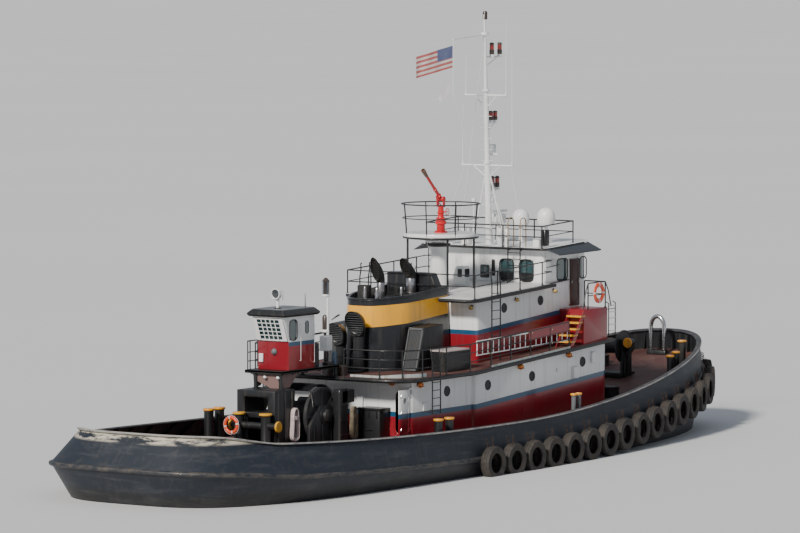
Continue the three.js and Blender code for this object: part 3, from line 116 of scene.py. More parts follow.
# %% Shape builder
class Shape:
    def __init__(self):
        self.points, self.faces, self.marks, self.mark = [], [], [], 0

    def add(self, points, faces):
        start = len(self.points)
        self.points.extend(tuple(p) for p in points)
        self.faces.extend(tuple(start + i for i in face) for face in faces)
        self.marks.extend([self.mark] * len(faces))

    def skin(self, rings, ring_closed=True, caps=True, around=False):
        """Faces between rings of the same number of points."""
        count, faces = len(rings[0]), []
        steps = len(rings) if around else len(rings) - 1
        for k in range(steps):
            a, b = k * count, ((k + 1) % len(rings)) * count
            for i in range(count if ring_closed else count - 1):
                j = (i + 1) % count
                faces.append((a + i, a + j, b + j, b + i))
        if caps and not around:
            faces.append(tuple(range(count))[::-1])
            faces.append(tuple(range((len(rings) - 1) * count, len(rings) * count)))
        self.add([p for ring in rings for p in ring], faces)

    def tube(self, path, radius, sides=8, closed=False):
        path = [Vector(p) for p in path]
        radii = radius if isinstance(radius, (list, tuple)) else [radius] * len(path)
        rings, last = [], None
        for i, p in enumerate(path):
            ahead = path[(i + 1) % len(path)] if closed or i + 1 < len(path) else p
            behind = path[i - 1] if closed or i else p
            along = (ahead - behind).normalized()
            side = last - along * last.dot(along) if last else along.orthogonal()
            if side.length < 1e-6:
                side = along.orthogonal()
            last = side.normalized()
            other = along.cross(last)
            rings.append([p + radii[i] * (last * math.cos(t) + other * math.sin(t)) for t in angles(sides)])
        self.skin(rings, around=closed)

    def turned(self, profile, centre=(0, 0, 0), axis=UP, sides=24, hollow=False):
        """A profile of (radius, height) turned about an axis through centre, closed flat at both ends."""
        if not hollow:
            foot = [(0.0, h) for r, h in profile[:1] if r > 0]
            head = [(0.0, h) for r, h in profile[-1:] if r > 0]
            profile = foot + profile + head
        axis, centre = Vector(axis).normalized(), Vector(centre)
        side = axis.orthogonal().normalized()
        other = axis.cross(side)
        rings = []
        for r, h in profile:
            r = max(r, 1e-4)
            rings.append([centre + axis * h + r * (side * math.cos(t) + other * math.sin(t))
                          for t in angles(sides)])
        self.skin(rings)

    def block(self, low, high, chamfer=0.006, turn=None, about=None):
        """A box between two corners, its edges chamfered; a matrix may turn it about a point."""
        low, high = [Vector([pick(pair) for pair in zip(low, high)]) for pick in (min, max)]
        c = min(chamfer, min(high - low) * 0.3)
        rings = []
        for z, inset in ((low.z, c), (low.z + c, 0), (high.z - c, 0), (high.z, c)):
            x0, x1, y0, y1 = low.x + inset, high.x - inset, low.y + inset, high.y - inset
            k = c if inset == 0 else 0
            rings.append([Vector(p) for p in (
                (x1 - k, y0, z), (x1, y0 + k, z), (x1, y1 - k, z), (x1 - k, y1, z),
                (x0 + k, y1, z), (x0, y1 - k, z), (x0, y0 + k, z), (x0 + k, y0, z))])
        if turn is not None:
            rings = [[turn @ (p - Vector(about)) + Vector(about) for p in ring] for ring in rings]
        self.skin(rings)

    def plate(self, outline, direction, thick):
        """A flat outline of points given a thickness along a direction."""
        shift = Vector(direction).normalized() * thick
        self.skin([[Vector(p) for p in outline], [Vector(p) + shift for p in outline]])


def rounded_polygon(points, radii, steps=6):
    """Corner points of (x, y), each cut round with its own radius."""
    out, count = [], len(points)
    for i in range(count):
        p, before, after = Vector(points[i]), Vector(points[i - 1]), Vector(points[(i + 1) % count])
        a, b = (before - p).normalized(), (after - p).normalized()
        reach = min(radii[i], (before - p).length * 0.45, (after - p).length * 0.45)
        for k in range(steps + 1):
            t = k / steps
            out.append(p + a * reach * (1 - t) ** 2 + b * reach * t ** 2)
    return out


def rounded_level(points, radii, steps, z):
    """The same rounded outline, laid at one height."""
    return [Vector((p.x, p.y, z)) for p in rounded_polygon(points, radii, steps)]


def curved(start, bend, end, t):
    """A point on the arc that leaves start toward bend and ends at end."""
    return start * (1 - t) ** 2 + bend * 2 * t * (1 - t) + end * t ** 2


def plain_mesh(name, shape):
    """The mesh of a shape, with its material marks kept."""
    mesh = bpy.data.meshes.new(name)
    mesh.from_pydata([tuple(p) for p in shape.points], [], shape.faces)
    mesh.polygons.foreach_set("material_index", shape.marks)
    return mesh


def outward(mesh, dissolve=False):
    """Turns the faces of a mesh outward; faces without an area can be dissolved first."""
    b = bmesh.new()
    b.from_mesh(mesh)
    if dissolve:
        bmesh.ops.dissolve_degenerate(b, dist=1e-5, edges=b.edges)
    bmesh.ops.recalc_face_normals(b, faces=b.faces)
    b.to_mesh(mesh)
    b.free()
    return mesh


def make(name, shape, body="boat", materials=(), replaces=(), smooth=38):
    mesh = outward(plain_mesh(name, shape), dissolve=True)
    return finished(name, mesh, body, materials, replaces, smooth)


def finished(name, mesh, body, materials, replaces, smooth=38):
    piece = placed(name, mesh)
    for material in materials:
        mesh.materials.append(material)
    mesh.polygons.foreach_set("use_smooth", [True] * len(mesh.polygons))
    mesh.set_sharp_from_angle(angle=math.radians(smooth))
    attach(piece, body)
    if replaces:
        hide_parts(*replaces)
    return piece


# %% [markdown]
# A plate that was cut for doorways and windows is better kept than redrawn. `refined` takes a copy of
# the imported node, merges its loose triangles, clears the flat seams and bevels the real edges.

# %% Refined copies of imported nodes
def refined(node, body="boat", materials=(), bevel=0.008, segments=1, smooth=38, name=None):
    mesh = nodes[node].data.copy()
    mesh.materials.clear()
    b = bmesh.new()
    b.from_mesh(mesh)
    bmesh.ops.remove_doubles(b, verts=b.verts, dist=2e-5)
    bmesh.ops.dissolve_limit(b, angle_limit=math.radians(0.6), verts=b.verts, edges=b.edges)
    sharp = [e for e in b.edges if e.is_manifold and e.calc_face_angle(0) > math.radians(31)]
    if bevel:
        bmesh.ops.bevel(b, geom=sharp, offset=bevel, segments=segments, profile=0.5, affect="EDGES",
                        clamp_overlap=True)
    b.to_mesh(mesh)
    b.free()
    return finished(name or node + "_fine", mesh, body, materials, [node], smooth)


# %% [markdown]
# ## Two node trees for what repeats
# Pipes and rails are edges of a small mesh, each point with its own radius: Geometry Nodes turn them to
# curves and sweep a circle along them. Portholes, tyres, stanchions and links are one seed piece set on
# points that carry a turn. Both trees end in Realize Instances and Set Material.

# %% Geometry node trees
def tree_with(name, inputs):
    tree = bpy.data.node_groups.new(name, "GeometryNodeTree")
    tree.interface.new_socket("Geometry", in_out="INPUT", socket_type="NodeSocketGeometry")
    for label, kind in inputs:
        tree.interface.new_socket(label, in_out="INPUT", socket_type=kind)
    tree.interface.new_socket("Geometry", in_out="OUTPUT", socket_type="NodeSocketGeometry")
    return tree, tree.nodes.new("NodeGroupInput"), tree.nodes.new("NodeGroupOutput")


def attribute(tree, name, kind="FLOAT"):
    """A node that reads a named attribute of the points."""
    node = tree.nodes.new("GeometryNodeInputNamedAttribute")
    node.data_type = kind
    node.inputs["Name"].default_value = name
    return node


def join(tree, *joins):
    """Links, each from an output of one node to an input of the next."""
    for source, output, target, entry in joins:
        tree.links.new(source.outputs[output], target.inputs[entry])


MATERIAL = "NodeSocketMaterial"
pipe_tree, given, out = tree_with("pipes", [("Sides", "NodeSocketInt"), ("Material", MATERIAL)])
to_curve, circle, to_mesh, girth, real, dress = [pipe_tree.nodes.new("GeometryNode" + kind)
                                                 for kind in ("MeshToCurve", "CurvePrimitiveCircle",
        "CurveToMesh", "SetCurveRadius", "RealizeInstances", "SetMaterial")]
circle.inputs["Radius"].default_value = 1
to_mesh.inputs["Fill Caps"].default_value = True
width = attribute(pipe_tree, "girth")
join(pipe_tree,
     (given, "Geometry", to_curve, "Mesh"),
     (to_curve, "Curve", girth, "Curve"),
     (width, "Attribute", girth, "Radius"),
     (girth, "Curve", to_mesh, "Curve"),
     (given, "Sides", circle, "Resolution"),
     (circle, "Curve", to_mesh, "Profile Curve"),
     (to_mesh, "Mesh", real, "Geometry"),
     (real, "Geometry", dress, "Geometry"),
     (given, "Material", dress, "Material"),
     (dress, "Geometry", out, "Geometry"))
if "Scale" in to_mesh.inputs:
    join(pipe_tree, (width, "Attribute", to_mesh, "Scale"))

repeat_tree, given, out = tree_with("repeats", [
    ("Piece", "NodeSocketObject"), ("First material", MATERIAL), ("Second material", MATERIAL)])
on_points, seed, real, first, second = [repeat_tree.nodes.new("GeometryNode" + kind) for kind in (
    "InstanceOnPoints", "ObjectInfo", "RealizeInstances", "SetMaterial", "SetMaterial")]
join(repeat_tree,
     (given, "Geometry", on_points, "Points"),
     (given, "Piece", seed, "Object"),
     (seed, "Geometry", on_points, "Instance"),
     (attribute(repeat_tree, "turn", "FLOAT_VECTOR"), "Attribute", on_points, "Rotation"),
     (attribute(repeat_tree, "size", "FLOAT_VECTOR"), "Attribute", on_points, "Scale"),
     (on_points, "Instances", real, "Geometry"),
     (real, "Geometry", first, "Geometry"),
     (given, "First material", first, "Material"),
     (first, "Geometry", second, "Geometry"),
     (given, "Second material", second, "Material"),
     (attribute(repeat_tree, "part", "INT"), "Attribute", second, "Selection"),
     (second, "Geometry", out, "Geometry"))
print("trees", pipe_tree.name, repeat_tree.name)


def evaluated(holder, tree, settings):
    """The plain mesh that a tree makes of an object; the modifier goes with the holder."""
    modifier = holder.modifiers.new("nodes", "NODES")
    modifier.node_group = tree
    for item in tree.interface.items_tree:
        if item.item_type == "SOCKET" and item.in_out == "INPUT" and item.name in settings:
            modifier[item.identifier] = settings[item.name]
    bpy.context.view_layer.update()
    graph = bpy.context.evaluated_depsgraph_get()
    mesh = bpy.data.meshes.new_from_object(holder.evaluated_get(graph), depsgraph=graph)
    bpy.data.objects.remove(holder)
    return mesh


def pipes(name, runs, material, body="boat", sides=10, replaces=()):
    """Round pipes along runs of (points, radius); a run may give one radius to each point."""
    points, edges, girths = [], [], []
    for path, radius in runs:
        start = len(points)
        points.extend(tuple(p) for p in path)
        edges.extend((start + i, start + i + 1) for i in range(len(path) - 1))
        girths.extend(radius if isinstance(radius, (list, tuple)) else [radius] * len(path))
    mesh = bpy.data.meshes.new(name + "_lines")
    mesh.from_pydata(points, edges, [])
    mesh.attributes.new("girth", "FLOAT", "POINT").data.foreach_set("value", girths)
    holder = placed(name + "_lines", mesh)
    made = evaluated(holder, pipe_tree, {"Sides": sides, "Material": material})
    made.name = name
    return finished(name, made, body, (), replaces, 50)


def repeats(name, seed_mesh, places, body="boat", materials=(), replaces=(), smooth=38):
    """Copies of a seed mesh at places of (position, turn as Euler angles, scale), joined in one mesh."""
    marks = [p.material_index for p in seed_mesh.polygons]
    seed_mesh.attributes.new("part", "INT", "FACE").data.foreach_set("value", marks)
    stand_in = placed(name + "_seed", seed_mesh)
    mesh = bpy.data.meshes.new(name + "_points")
    mesh.from_pydata([tuple(p) for p, _, _ in places], [], [])
    turns = [a for _, t, _ in places for a in t]
    sizes = [a for _, _, s in places for a in ((s, s, s) if isinstance(s, (int, float)) else s)]
    mesh.attributes.new("turn", "FLOAT_VECTOR", "POINT").data.foreach_set("vector", turns)
    mesh.attributes.new("size", "FLOAT_VECTOR", "POINT").data.foreach_set("vector", sizes)
    holder = placed(name + "_points", mesh)
    made = evaluated(holder, repeat_tree, {"Piece": stand_in, "First material": materials[0],
                                           "Second material": materials[-1]})
    bpy.data.objects.remove(stand_in)
    made.attributes.remove(made.attributes["part"])
    made.name = name
    return finished(name, made, body, (), replaces, smooth)


def seed_mesh(name, shape):
    """The mesh that the repeat tree sets on points."""
    return outward(plain_mesh(name, shape))


# %% [markdown]
# ## Finishes
# The boat is steel under thick marine enamel. Up close such paint is not one colour: it fades in clouds,
# rain draws streaks of grime down it, rust comes through in chips, and the plates between the frames are
# slightly dished. Each finish is a Principled shader fed by Object coordinates in metres, so a scale of 1
# is one cloud to the metre. The wrapper below lets the maths be written as plain Python.

# %% Shader wrapper
class Signal:
    """A socket of a node tree that can be used in sums."""

    def __init__(self, finish, socket):
        self.finish, self.socket = finish, socket

    def combined(self, operation, a, b):
        return self.finish.node("ShaderNodeMath", {"operation": operation}, {0: a, 1: b})

    def __add__(self, other):
        return self.combined("ADD", self, other)

    def __radd__(self, other):
        return self.combined("ADD", other, self)

    def __sub__(self, other):
        return self.combined("SUBTRACT", self, other)

    def __rsub__(self, other):
        return self.combined("SUBTRACT", other, self)

    def __mul__(self, other):
        return self.combined("MULTIPLY", self, other)

    def __rmul__(self, other):
        return self.combined("MULTIPLY", other, self)

    def above(self, edge, soft=0.004):
        """0 below an edge and 1 above it; the edge may be a signal too."""
        return (self - edge).ramp(-soft, soft)

    def ramp(self, start, end):
        """0 where the signal is at the start value, 1 where it is at the end value."""
        return self.finish.node("ShaderNodeMapRange", {}, {0: self, 1: start, 2: end, 3: 0.0, 4: 1.0})

    def sine(self):
        return self.finish.node("ShaderNodeMath", {"operation": "SINE"}, {0: self})


class Finish:
    def __init__(self, name, **plain):
        self.material = bpy.data.materials.new(name)
        self.material.use_nodes = True
        self.tree = self.material.node_tree
        self.shader = self.tree.nodes["Principled BSDF"]
        for label, value in plain.items():
            self.shader.inputs[label.replace("_", " ").title()].default_value = value
        self.place = self.node("ShaderNodeTexCoord", {}, {}, "Object")

    def node(self, kind, settings, values, output=0):
        made = self.tree.nodes.new(kind)
        for key, value in settings.items():
            setattr(made, key, value)
        for key, value in values.items():
            self.feed(made.inputs[key], value)
        return Signal(self, made.outputs[output])

    def feed(self, socket, value):
        if isinstance(value, Signal):
            self.tree.links.new(value.socket, socket)
        elif isinstance(value, (tuple, list)) and len(value) == 3 and socket.type == "RGBA":
            socket.default_value = (*value, 1)
        else:
            socket.default_value = value

    def set(self, label, value):
        self.feed(self.shader.inputs[label], value)

    def stretched(self, stretch):
        return self.node("ShaderNodeMapping", {}, {"Vector": self.place, "Scale": stretch})

    def noise(self, scale, stretch=None, detail=4.0, rough=0.55):
        where = self.stretched(stretch) if stretch else self.place
        return self.node("ShaderNodeTexNoise", {}, {"Vector": where, "Scale": scale, "Detail": detail,
                                                    "Roughness": rough})

    def axes(self, where=None):
        """The three coordinates of the place, or of another vector."""
        split = self.node("ShaderNodeSeparateXYZ", {}, {0: where or self.place})
        return [Signal(self, output) for output in split.socket.node.outputs]

    def layout(self, name):
        """The two coordinates of a UV map."""
        return self.axes(self.node("ShaderNodeUVMap", {"uv_map": name}, {}))[:2]

    def mix(self, factor, a, b, blend="MIX"):
        return self.node("ShaderNodeMix", {"data_type": "RGBA", "blend_type": blend},
                         {0: factor, 6: a, 7: b}, 2)

    def bump(self, height, strength=0.3, distance=0.01):
        self.set("Normal", self.node("ShaderNodeBump", {}, {"Height": height, "Strength": strength,
                                                            "Distance": distance}))


RUST, GRIME = (0.16, 0.055, 0.02), (0.10, 0.085, 0.065)


def aged(f, tone, roughness=0.35, fade=0.12, streaks=0.3, chips=0.0, chip_tone=RUST, waviness=0.25):
    """Weathers a base tone: clouds, vertical streaks, chips through the coat and dished plates."""
    cloud = f.noise(0.7, detail=5.0)
    tone = f.mix(cloud * fade * 2, tone, (0.45, 0.45, 0.47), "MULTIPLY")
    run = f.noise(1.0, (5.5, 5.5, 0.35), 3.0)
    streak = run.above(0.6, 0.07) * streaks
    tone = f.mix(streak, tone, GRIME)
    if chips:
        speck = f.noise(7.0, detail=7.0, rough=0.7).above(0.72 - chips * 0.12, 0.02)
        tone = f.mix(speck * 0.85, tone, chip_tone)
        streak = streak + speck * 0.5
    f.set("Base Color", tone)
    fine = f.noise(38.0, detail=2.0)
    f.set("Roughness", cloud * 0.16 + fine * 0.08 + streak * 0.35 + (roughness - 0.12))
    f.bump(f.noise(1.7, detail=1.0) * waviness + fine * 0.02, 0.35, 0.02)
    return f.material


def enamel(name, tone, coat=0.3, **ageing):
    return aged(Finish(name, coat_weight=coat, coat_roughness=0.12), tone, **ageing)


def bands(f, height, layers):
    """Stacked colours from the bottom up: a base tone, then (edge height, tone) pairs."""
    tone = layers[0]
    for edge, over in layers[1:]:
        tone = f.mix(height.above(edge), tone, over)
    return tone


WHITE, BLACK = (0.80, 0.81, 0.81), (0.010, 0.011, 0.013)
DARK_RED, BLUE = (0.27, 0.010, 0.020), (0.015, 0.08, 0.17)
HULL_TONE, YELLOW, BOTTOM_RED = (0.011, 0.016, 0.026), (0.90, 0.43, 0.02), (0.13, 0.03, 0.022)

white_paint = enamel("white_enamel", WHITE, roughness=0.3, streaks=0.12, fade=0.05)
black_paint = enamel("black_enamel", BLACK, coat=0.12, roughness=0.42, streaks=0.2, chips=0.15)
rail_paint = enamel("black_rail_enamel", BLACK, coat=0.15, roughness=0.38, streaks=0.15, chips=0.1)
red_paint = enamel("dark_red_enamel", DARK_RED, roughness=0.32, streaks=0.15)
bright_red_paint = enamel("bright_red_enamel", (0.62, 0.008, 0.012), roughness=0.28, streaks=0.08)
yellow_paint = enamel("safety_yellow_enamel", (0.78, 0.40, 0.03), roughness=0.4, chips=0.45, streaks=0.3)
stair_yellow = enamel("stair_yellow_enamel", (0.62, 0.36, 0.05), roughness=0.45, chips=0.3)
amber_paint = enamel("amber_enamel", (0.80, 0.34, 0.02), roughness=0.4, chips=0.35, streaks=0.3)
grey_paint = enamel("machinery_grey_enamel", (0.13, 0.14, 0.15), roughness=0.45, streaks=0.5, chips=0.3)
visor_paint = enamel("visor_blue_grey_enamel", (0.045, 0.055, 0.07), coat=0.0, roughness=0.7, streaks=0.2)
brown_paint = enamel("door_brown_enamel", (0.05, 0.015, 0.010), coat=0.1, roughness=0.5, streaks=0.25)
orange_paint = enamel("buoy_orange_skin", (0.76, 0.075, 0.02), roughness=0.4, streaks=0.15)
reflective_tape = enamel("buoy_grey_tape", (0.62, 0.63, 0.64), roughness=0.3, streaks=0.1)
bottom_paint = enamel("bottom_red_brown", BOTTOM_RED, coat=0.0, roughness=0.7, streaks=0.2, chips=0.1)
glow_amber = enamel("amber_lamp_glass", (0.75, 0.22, 0.03), coat=0.6, roughness=0.2, streaks=0.1)
lamp_red = enamel("red_lamp_glass", (0.30, 0.02, 0.015), coat=0.6, roughness=0.2, streaks=0.1)
lamp_dark = enamel("dark_lamp_housing", (0.05, 0.035, 0.03), coat=0.3, roughness=0.35, streaks=0.2)
dome_plastic = enamel("radome_white_moulding", (0.82, 0.83, 0.82), coat=0.15, roughness=0.4,
                      streaks=0.1, waviness=0.0)
print("enamels made")

# %% [markdown]
# The main walls wear three colours in bands that follow the sheer of the deck, so the band edges are
# straight lines in X and Z. They are painted by height above a slope, with the blue stripe between.

# %% Banded walls, hull and casing
f = Finish("main_house_enamel", coat_weight=0.3, coat_roughness=0.12)
along, _, height = f.axes()
rise = f.node("ShaderNodeMath", {"operation": "MAXIMUM"}, {0: along + 1.55, 1: 0.0}) * 0.0655
main_house_paint = aged(f, bands(f, height - rise, [DARK_RED, (2.03, BLUE), (2.20, WHITE)]), 0.3, 0.06,
                        0.16)

f = Finish("upper_house_enamel", coat_weight=0.3, coat_roughness=0.12)
along, _, height = f.axes()
upper_house_paint = aged(f, bands(f, height - along * 0.072, [DARK_RED, (4.50, BLUE), (4.66, WHITE)]),
                         0.3, 0.05, 0.14)

f = Finish("cab_enamel", coat_weight=0.3, coat_roughness=0.12)
along, _, height = f.axes()
cab_paint = aged(f, bands(f, height, [(0.33, 0.010, 0.016), (4.62, BLUE), (4.76, WHITE)]), 0.3, 0.06, 0.2)

f = Finish("stack_enamel", coat_weight=0.5, coat_roughness=0.1)
along, _, height = f.axes()
low = (height - along * 0.08).above(5.24)
high = (height - along * 0.055).above(5.87)
tone = f.mix(low, BLACK, YELLOW)
stack_paint = aged(f, f.mix(high, tone, BLACK), 0.28, 0.1, 0.2)

f = Finish("hull_enamel", coat_weight=0.0)
along, _, height = f.axes()
wet = f.noise(0.8, (0.5, 0.5, 1.0), 5.0) * 0.35 + height
tone = f.mix(wet.above(0.62, 0.12), (0.012, 0.013, 0.015), HULL_TONE)
boot = (height - f.noise(0.5) * 0.1).above(-0.35, 0.02)
tone = f.mix(boot, BOTTOM_RED, tone)
salt = f.noise(1.3, (0.45, 0.45, 3.0), 6.0, 0.65).above(0.60, 0.09) * 0.12
tone = f.mix(salt, tone, (0.22, 0.22, 0.22))
after = along.ramp(-14.2, -15.6)
rubbed = f.noise(0.9, (0.6, 0.7, 4.5), 6.0, 0.7).above(0.47, 0.04) * height.above(2.02, 0.04)
tone = f.mix(after * rubbed, tone, (0.50, 0.46, 0.38))
forward = along.ramp(14.9, 15.7)
scraped = f.noise(2.1, (2.4, 2.4, 0.35), 4.0, 0.6).above(0.52, 0.05) * height.above(1.9, 0.25)
tone = f.mix(forward * scraped * 0.75, tone, (0.20, 0.17, 0.13))
hull_paint = aged(f, tone, 0.5, 0.14, 0.12, 0.07, (0.11, 0.06, 0.035), 0.8)

f = Finish("strake_worn_enamel", coat_weight=0.05)
rub = f.noise(2.2, (1.0, 1.0, 2.5), 7.0, 0.7).above(0.5, 0.1)
strake_paint = aged(f, f.mix(rub * 0.7, HULL_TONE, (0.10, 0.085, 0.07)), 0.5, 0.15, 0.3, 0.4)

f = Finish("cap_worn_paint", coat_weight=0.0)
along, _, height = f.axes()
worn = f.noise(2.4, detail=7.0, rough=0.7)
cap_tone = f.mix(worn.above(0.50, 0.10), (0.030, 0.035, 0.045), (0.075, 0.075, 0.08))
stern_rub = along.ramp(-13.2, -15.2)
scrape = f.noise(0.9, (0.6, 0.7, 3.0), 6.0, 0.7).above(0.43, 0.06)
cap_tone = f.mix(stern_rub * scrape, cap_tone, (0.52, 0.48, 0.40))
cap_paint = aged(f, cap_tone, 0.8, 0.1, 0.2, 0.2, RUST, 0.2)

f = Finish("cap_edge_bare_metal", coat_weight=0.0)
worn = f.noise(1.8, (1.0, 1.0, 3.0), 7.0, 0.7)
cap_edge_paint = aged(f, f.mix(worn.above(0.42, 0.10), (0.06, 0.065, 0.075), (0.34, 0.32, 0.31)), 0.5,
                      0.1, 0.2)

f = Finish("deck_red_brown", coat_weight=0.0)
sand = f.noise(160.0, detail=3.0)
worn = f.noise(0.9, detail=6.0, rough=0.65)
tone = f.mix(worn.above(0.55, 0.12), (0.075, 0.026, 0.024), (0.12, 0.06, 0.048))
tone = f.mix(f.noise(3.1, detail=5.0).above(0.62, 0.06) * 0.6, tone, GRIME)
f.set("Base Color", tone)
f.set("Roughness", worn * 0.3 + 0.5)
f.bump(sand * 0.3 + worn, 0.4, 0.01)
deck_paint = f.material

f = Finish("deck_white_gritted", coat_weight=0.0)
worn = f.noise(0.8, detail=6.0, rough=0.65)
tone = f.mix(worn.above(0.55, 0.12) * 0.5, (0.62, 0.62, 0.61), (0.42, 0.41, 0.39))
f.set("Base Color", tone)
f.set("Roughness", worn * 0.3 + 0.5)
f.bump(f.noise(150.0, detail=3.0) * 0.3 + worn, 0.4, 0.01)
deck_pale_paint = f.material
print("banded finishes made")

# %% [markdown]
# Bare metal is told from paint by its sharp, stretched highlights and its heat or weather stain, rubber by
# its dust, glass by a dark tint that still mirrors the sky, with lighter patches of painted sky reflection.

# %% Metals, rubber, glass, fibre and cloth
f = Finish("polished_steel", metallic=1.0)
smear = f.noise(3.0, (1.0, 1.0, 0.3), 6.0)
f.set("Base Color", f.mix(smear.above(0.6, 0.12) * 0.6, (0.62, 0.62, 0.63), (0.30, 0.25, 0.20)))
f.set("Roughness", smear * 0.25 + 0.12)
f.bump(f.noise(60.0) * 0.2 + smear, 0.15, 0.004)
bright_steel = f.material

f = Finish("exhaust_steel", metallic=1.0)
soot = f.noise(2.0, detail=6.0)
f.set("Base Color", f.mix(soot.above(0.55, 0.2) * 0.8, (0.50, 0.50, 0.52), (0.20, 0.15, 0.12)))
f.set("Roughness", soot * 0.3 + 0.15)
f.bump(f.noise(50.0) * 0.2 + soot, 0.2, 0.004)
exhaust_steel = f.material

f = Finish("soot_black", coat_weight=0.0)
soot = f.noise(5.0, detail=6.0)
f.set("Base Color", f.mix(soot, (0.006, 0.006, 0.006), (0.03, 0.028, 0.026)))
f.set("Roughness", soot * 0.2 + 0.7)
f.bump(soot, 0.3, 0.01)
soot_black = f.material

f = Finish("cast_bronze", metallic=1.0)
cast = f.noise(4.0, detail=6.0)
f.set("Base Color", f.mix(cast.above(0.5, 0.15), (0.42, 0.24, 0.09), (0.16, 0.13, 0.08)))
f.set("Roughness", cast * 0.35 + 0.2)
f.bump(f.noise(30.0) + cast, 0.2, 0.006)
bronze = f.material

f = Finish("rusty_chain", metallic=0.3)
flake = f.noise(18.0, detail=6.0, rough=0.7)
f.set("Base Color", f.mix(flake.above(0.5, 0.1), (0.022, 0.018, 0.017), (0.07, 0.032, 0.018)))
f.set("Roughness", flake * 0.3 + 0.55)
f.bump(flake, 0.5, 0.005)
chain_steel = f.material

f = Finish("worn_tyre_rubber")
dust = f.noise(2.6, detail=6.0, rough=0.65)
fine = f.noise(26.0, detail=4.0)
tone = f.mix(dust.above(0.5, 0.14), (0.014, 0.013, 0.013), (0.055, 0.045, 0.038))
tone = f.mix(fine.above(0.64, 0.05) * 0.5, tone, (0.09, 0.072, 0.06))
f.set("Base Color", tone)
f.set("Roughness", dust * 0.25 + 0.62)
f.bump(fine + dust, 0.5, 0.006)
tyre_rubber = f.material

f = Finish("tinted_window_glass", coat_weight=1.0, coat_roughness=0.02)
sky = f.noise(1.1, detail=2.0)
# painted reflection: the sky noise puts lighter teal patches of sky into the glass colour; the same noise
# ripples the pane
f.set("Base Color", f.mix(sky, (0.012, 0.045, 0.055), (0.04, 0.085, 0.09)))
f.set("Roughness", sky * 0.06 + 0.03)
f.bump(sky, 0.05, 0.01)
window_glass = f.material


def laid_rope(name, turns, clean, soiled, edge, roughness):
    """Twisted strands, with so many turns to each metre of the rope's own length."""
    f = Finish(name)
    u, v = f.layout("UVMap")
    twist = ((u * turns + v * 3.0) * 6.2832).sine()
    dirt = f.noise(6.0, detail=5.0)
    f.set("Base Color", f.mix(dirt.above(edge, 0.12) * 0.7, clean, soiled))
    f.set("Roughness", dirt * 0.1 + roughness)
    f.bump(twist * 0.5 + f.noise(180.0), 0.8, 0.006)
    return f.material


pale_rope = laid_rope("laid_rope_pale", 75.0, (0.80, 0.69, 0.68), (0.56, 0.46, 0.44), 0.55, 0.8)
tan_rope = laid_rope("laid_rope_tan", 90.0, (0.40, 0.33, 0.24), (0.26, 0.20, 0.14), 0.5, 0.82)
print("metals, rubber, glass and rope made")

# %% [markdown]
# ## Two hanks of rope
# Heaving lines are kept ready in long hanks: one on the side of the tow frame, one on the end of the hose
# locker. A hank is one rope wound up and down in flat spirals, layer beside layer, and lashed round its
# waist. Its path is computed: each layer winds in from the outside for two turns, and the next winds out
# again, one diameter further across.

# %% Winding paths
def racetrack(t, radius, half):
    """A point on a slot-shaped loop, t from 0 to 1 round it: up one side, over, down the other, under."""
    t %= 1.0
    if t < 0.3:
        return radius, -half + 2 * half * t / 0.3
    if t < 0.5:
        a = math.pi * (t - 0.3) / 0.2
        return radius * math.cos(a), half + radius * math.sin(a)
    if t < 0.8:
        return -radius, half - 2 * half * (t - 0.5) / 0.3
    a = math.pi + math.pi * (t - 0.8) / 0.2
    return radius * math.cos(a), -half + radius * math.sin(a)


def hank_path(x, z, y_first, y_step, layers, outer, step, half, spread, turns=2):
    path, per_turn = [], 30
    for layer in range(layers):
        inward = layer % 2 == 0
        for k in range(turns * per_turn):
            t = k / per_turn
            radius = outer - step * (t if inward else turns - t)
            shift = min(1.0, t / 0.12) if layer else 1.0
            y = y_first + y_step * (layer - 1 + shift) if layer else y_first
            a, b = racetrack(t, radius, half)
            a *= 1 - spread * b / (half + outer)
            a += 0.15 * spread * radius * math.sin(9 * b + 2 * layer)
            path.append(Vector((x + a, y, z + b)))
    return path


def rope(name, path, diameter):
    """A tube along the path that carries its length round in its UV map, for the lay of the strands."""
    sides, shape = 8, Shape()
    shape.tube(path, diameter / 2, sides)
    mesh = plain_mesh(name, shape)
    reach = [0.0]
    for a, b in zip(path, path[1:]):
        reach.append(reach[-1] + (b - a).length)
    uv = mesh.uv_layers.new(name="UVMap")
    for polygon in mesh.polygons:
        rings = [mesh.loops[i].vertex_index for i in polygon.loop_indices]
        wrap = {v % sides for v in rings} == {0, sides - 1}
        for i, v in zip(polygon.loop_indices, rings):
            turn = 1.0 if wrap and v % sides == 0 else (v % sides) / sides
            uv.data[i].uv = (reach[v // sides], turn)
    return outward(mesh)


def hang(name, node, x, z, y_first, y_step, layers, outer, step, half, diameter, material, spread):
    path = hank_path(x, z, y_first, y_step, layers, outer, step, half, spread)
    mesh = rope(name, path, diameter)
    piece = finished(name, mesh, "boat", [material], [node], 60)
    tie = Shape()
    y_low, y_high = sorted((y_first, y_first + y_step * (layers - 1)))
    for k in range(4):
        height = z + half * 0.45 + k * diameter * 1.02
        w, d = (outer + diameter * 0.5) * (1 - 0.3 * spread), (y_high - y_low) / 2 + diameter * 0.5
        ring = [Vector((x + w * math.cos(a), (y_low + y_high) / 2 + d * math.sin(a),
                        height + 0.004 * math.sin(2 * a))) for a in angles(28)]
        tie.tube(ring, diameter * 0.38, 6, closed=True)
    band = make(name + "_lashing", tie, "boat", [material], [], 60)
    return piece


# %% Wind the hanks
hang("white_rope_hank", "rope_hank_white", -9.04, 1.99, -0.808, -0.0335, 5, 0.183, 0.0335, 0.385,
     0.032, pale_rope, 0.30)
hang("tan_rope_hank", "rope_hank_tan", -6.03, 1.825, -1.284, 0.0335, 5, 0.154, 0.0305, 0.42, 0.029,
     tan_rope, 0.25)

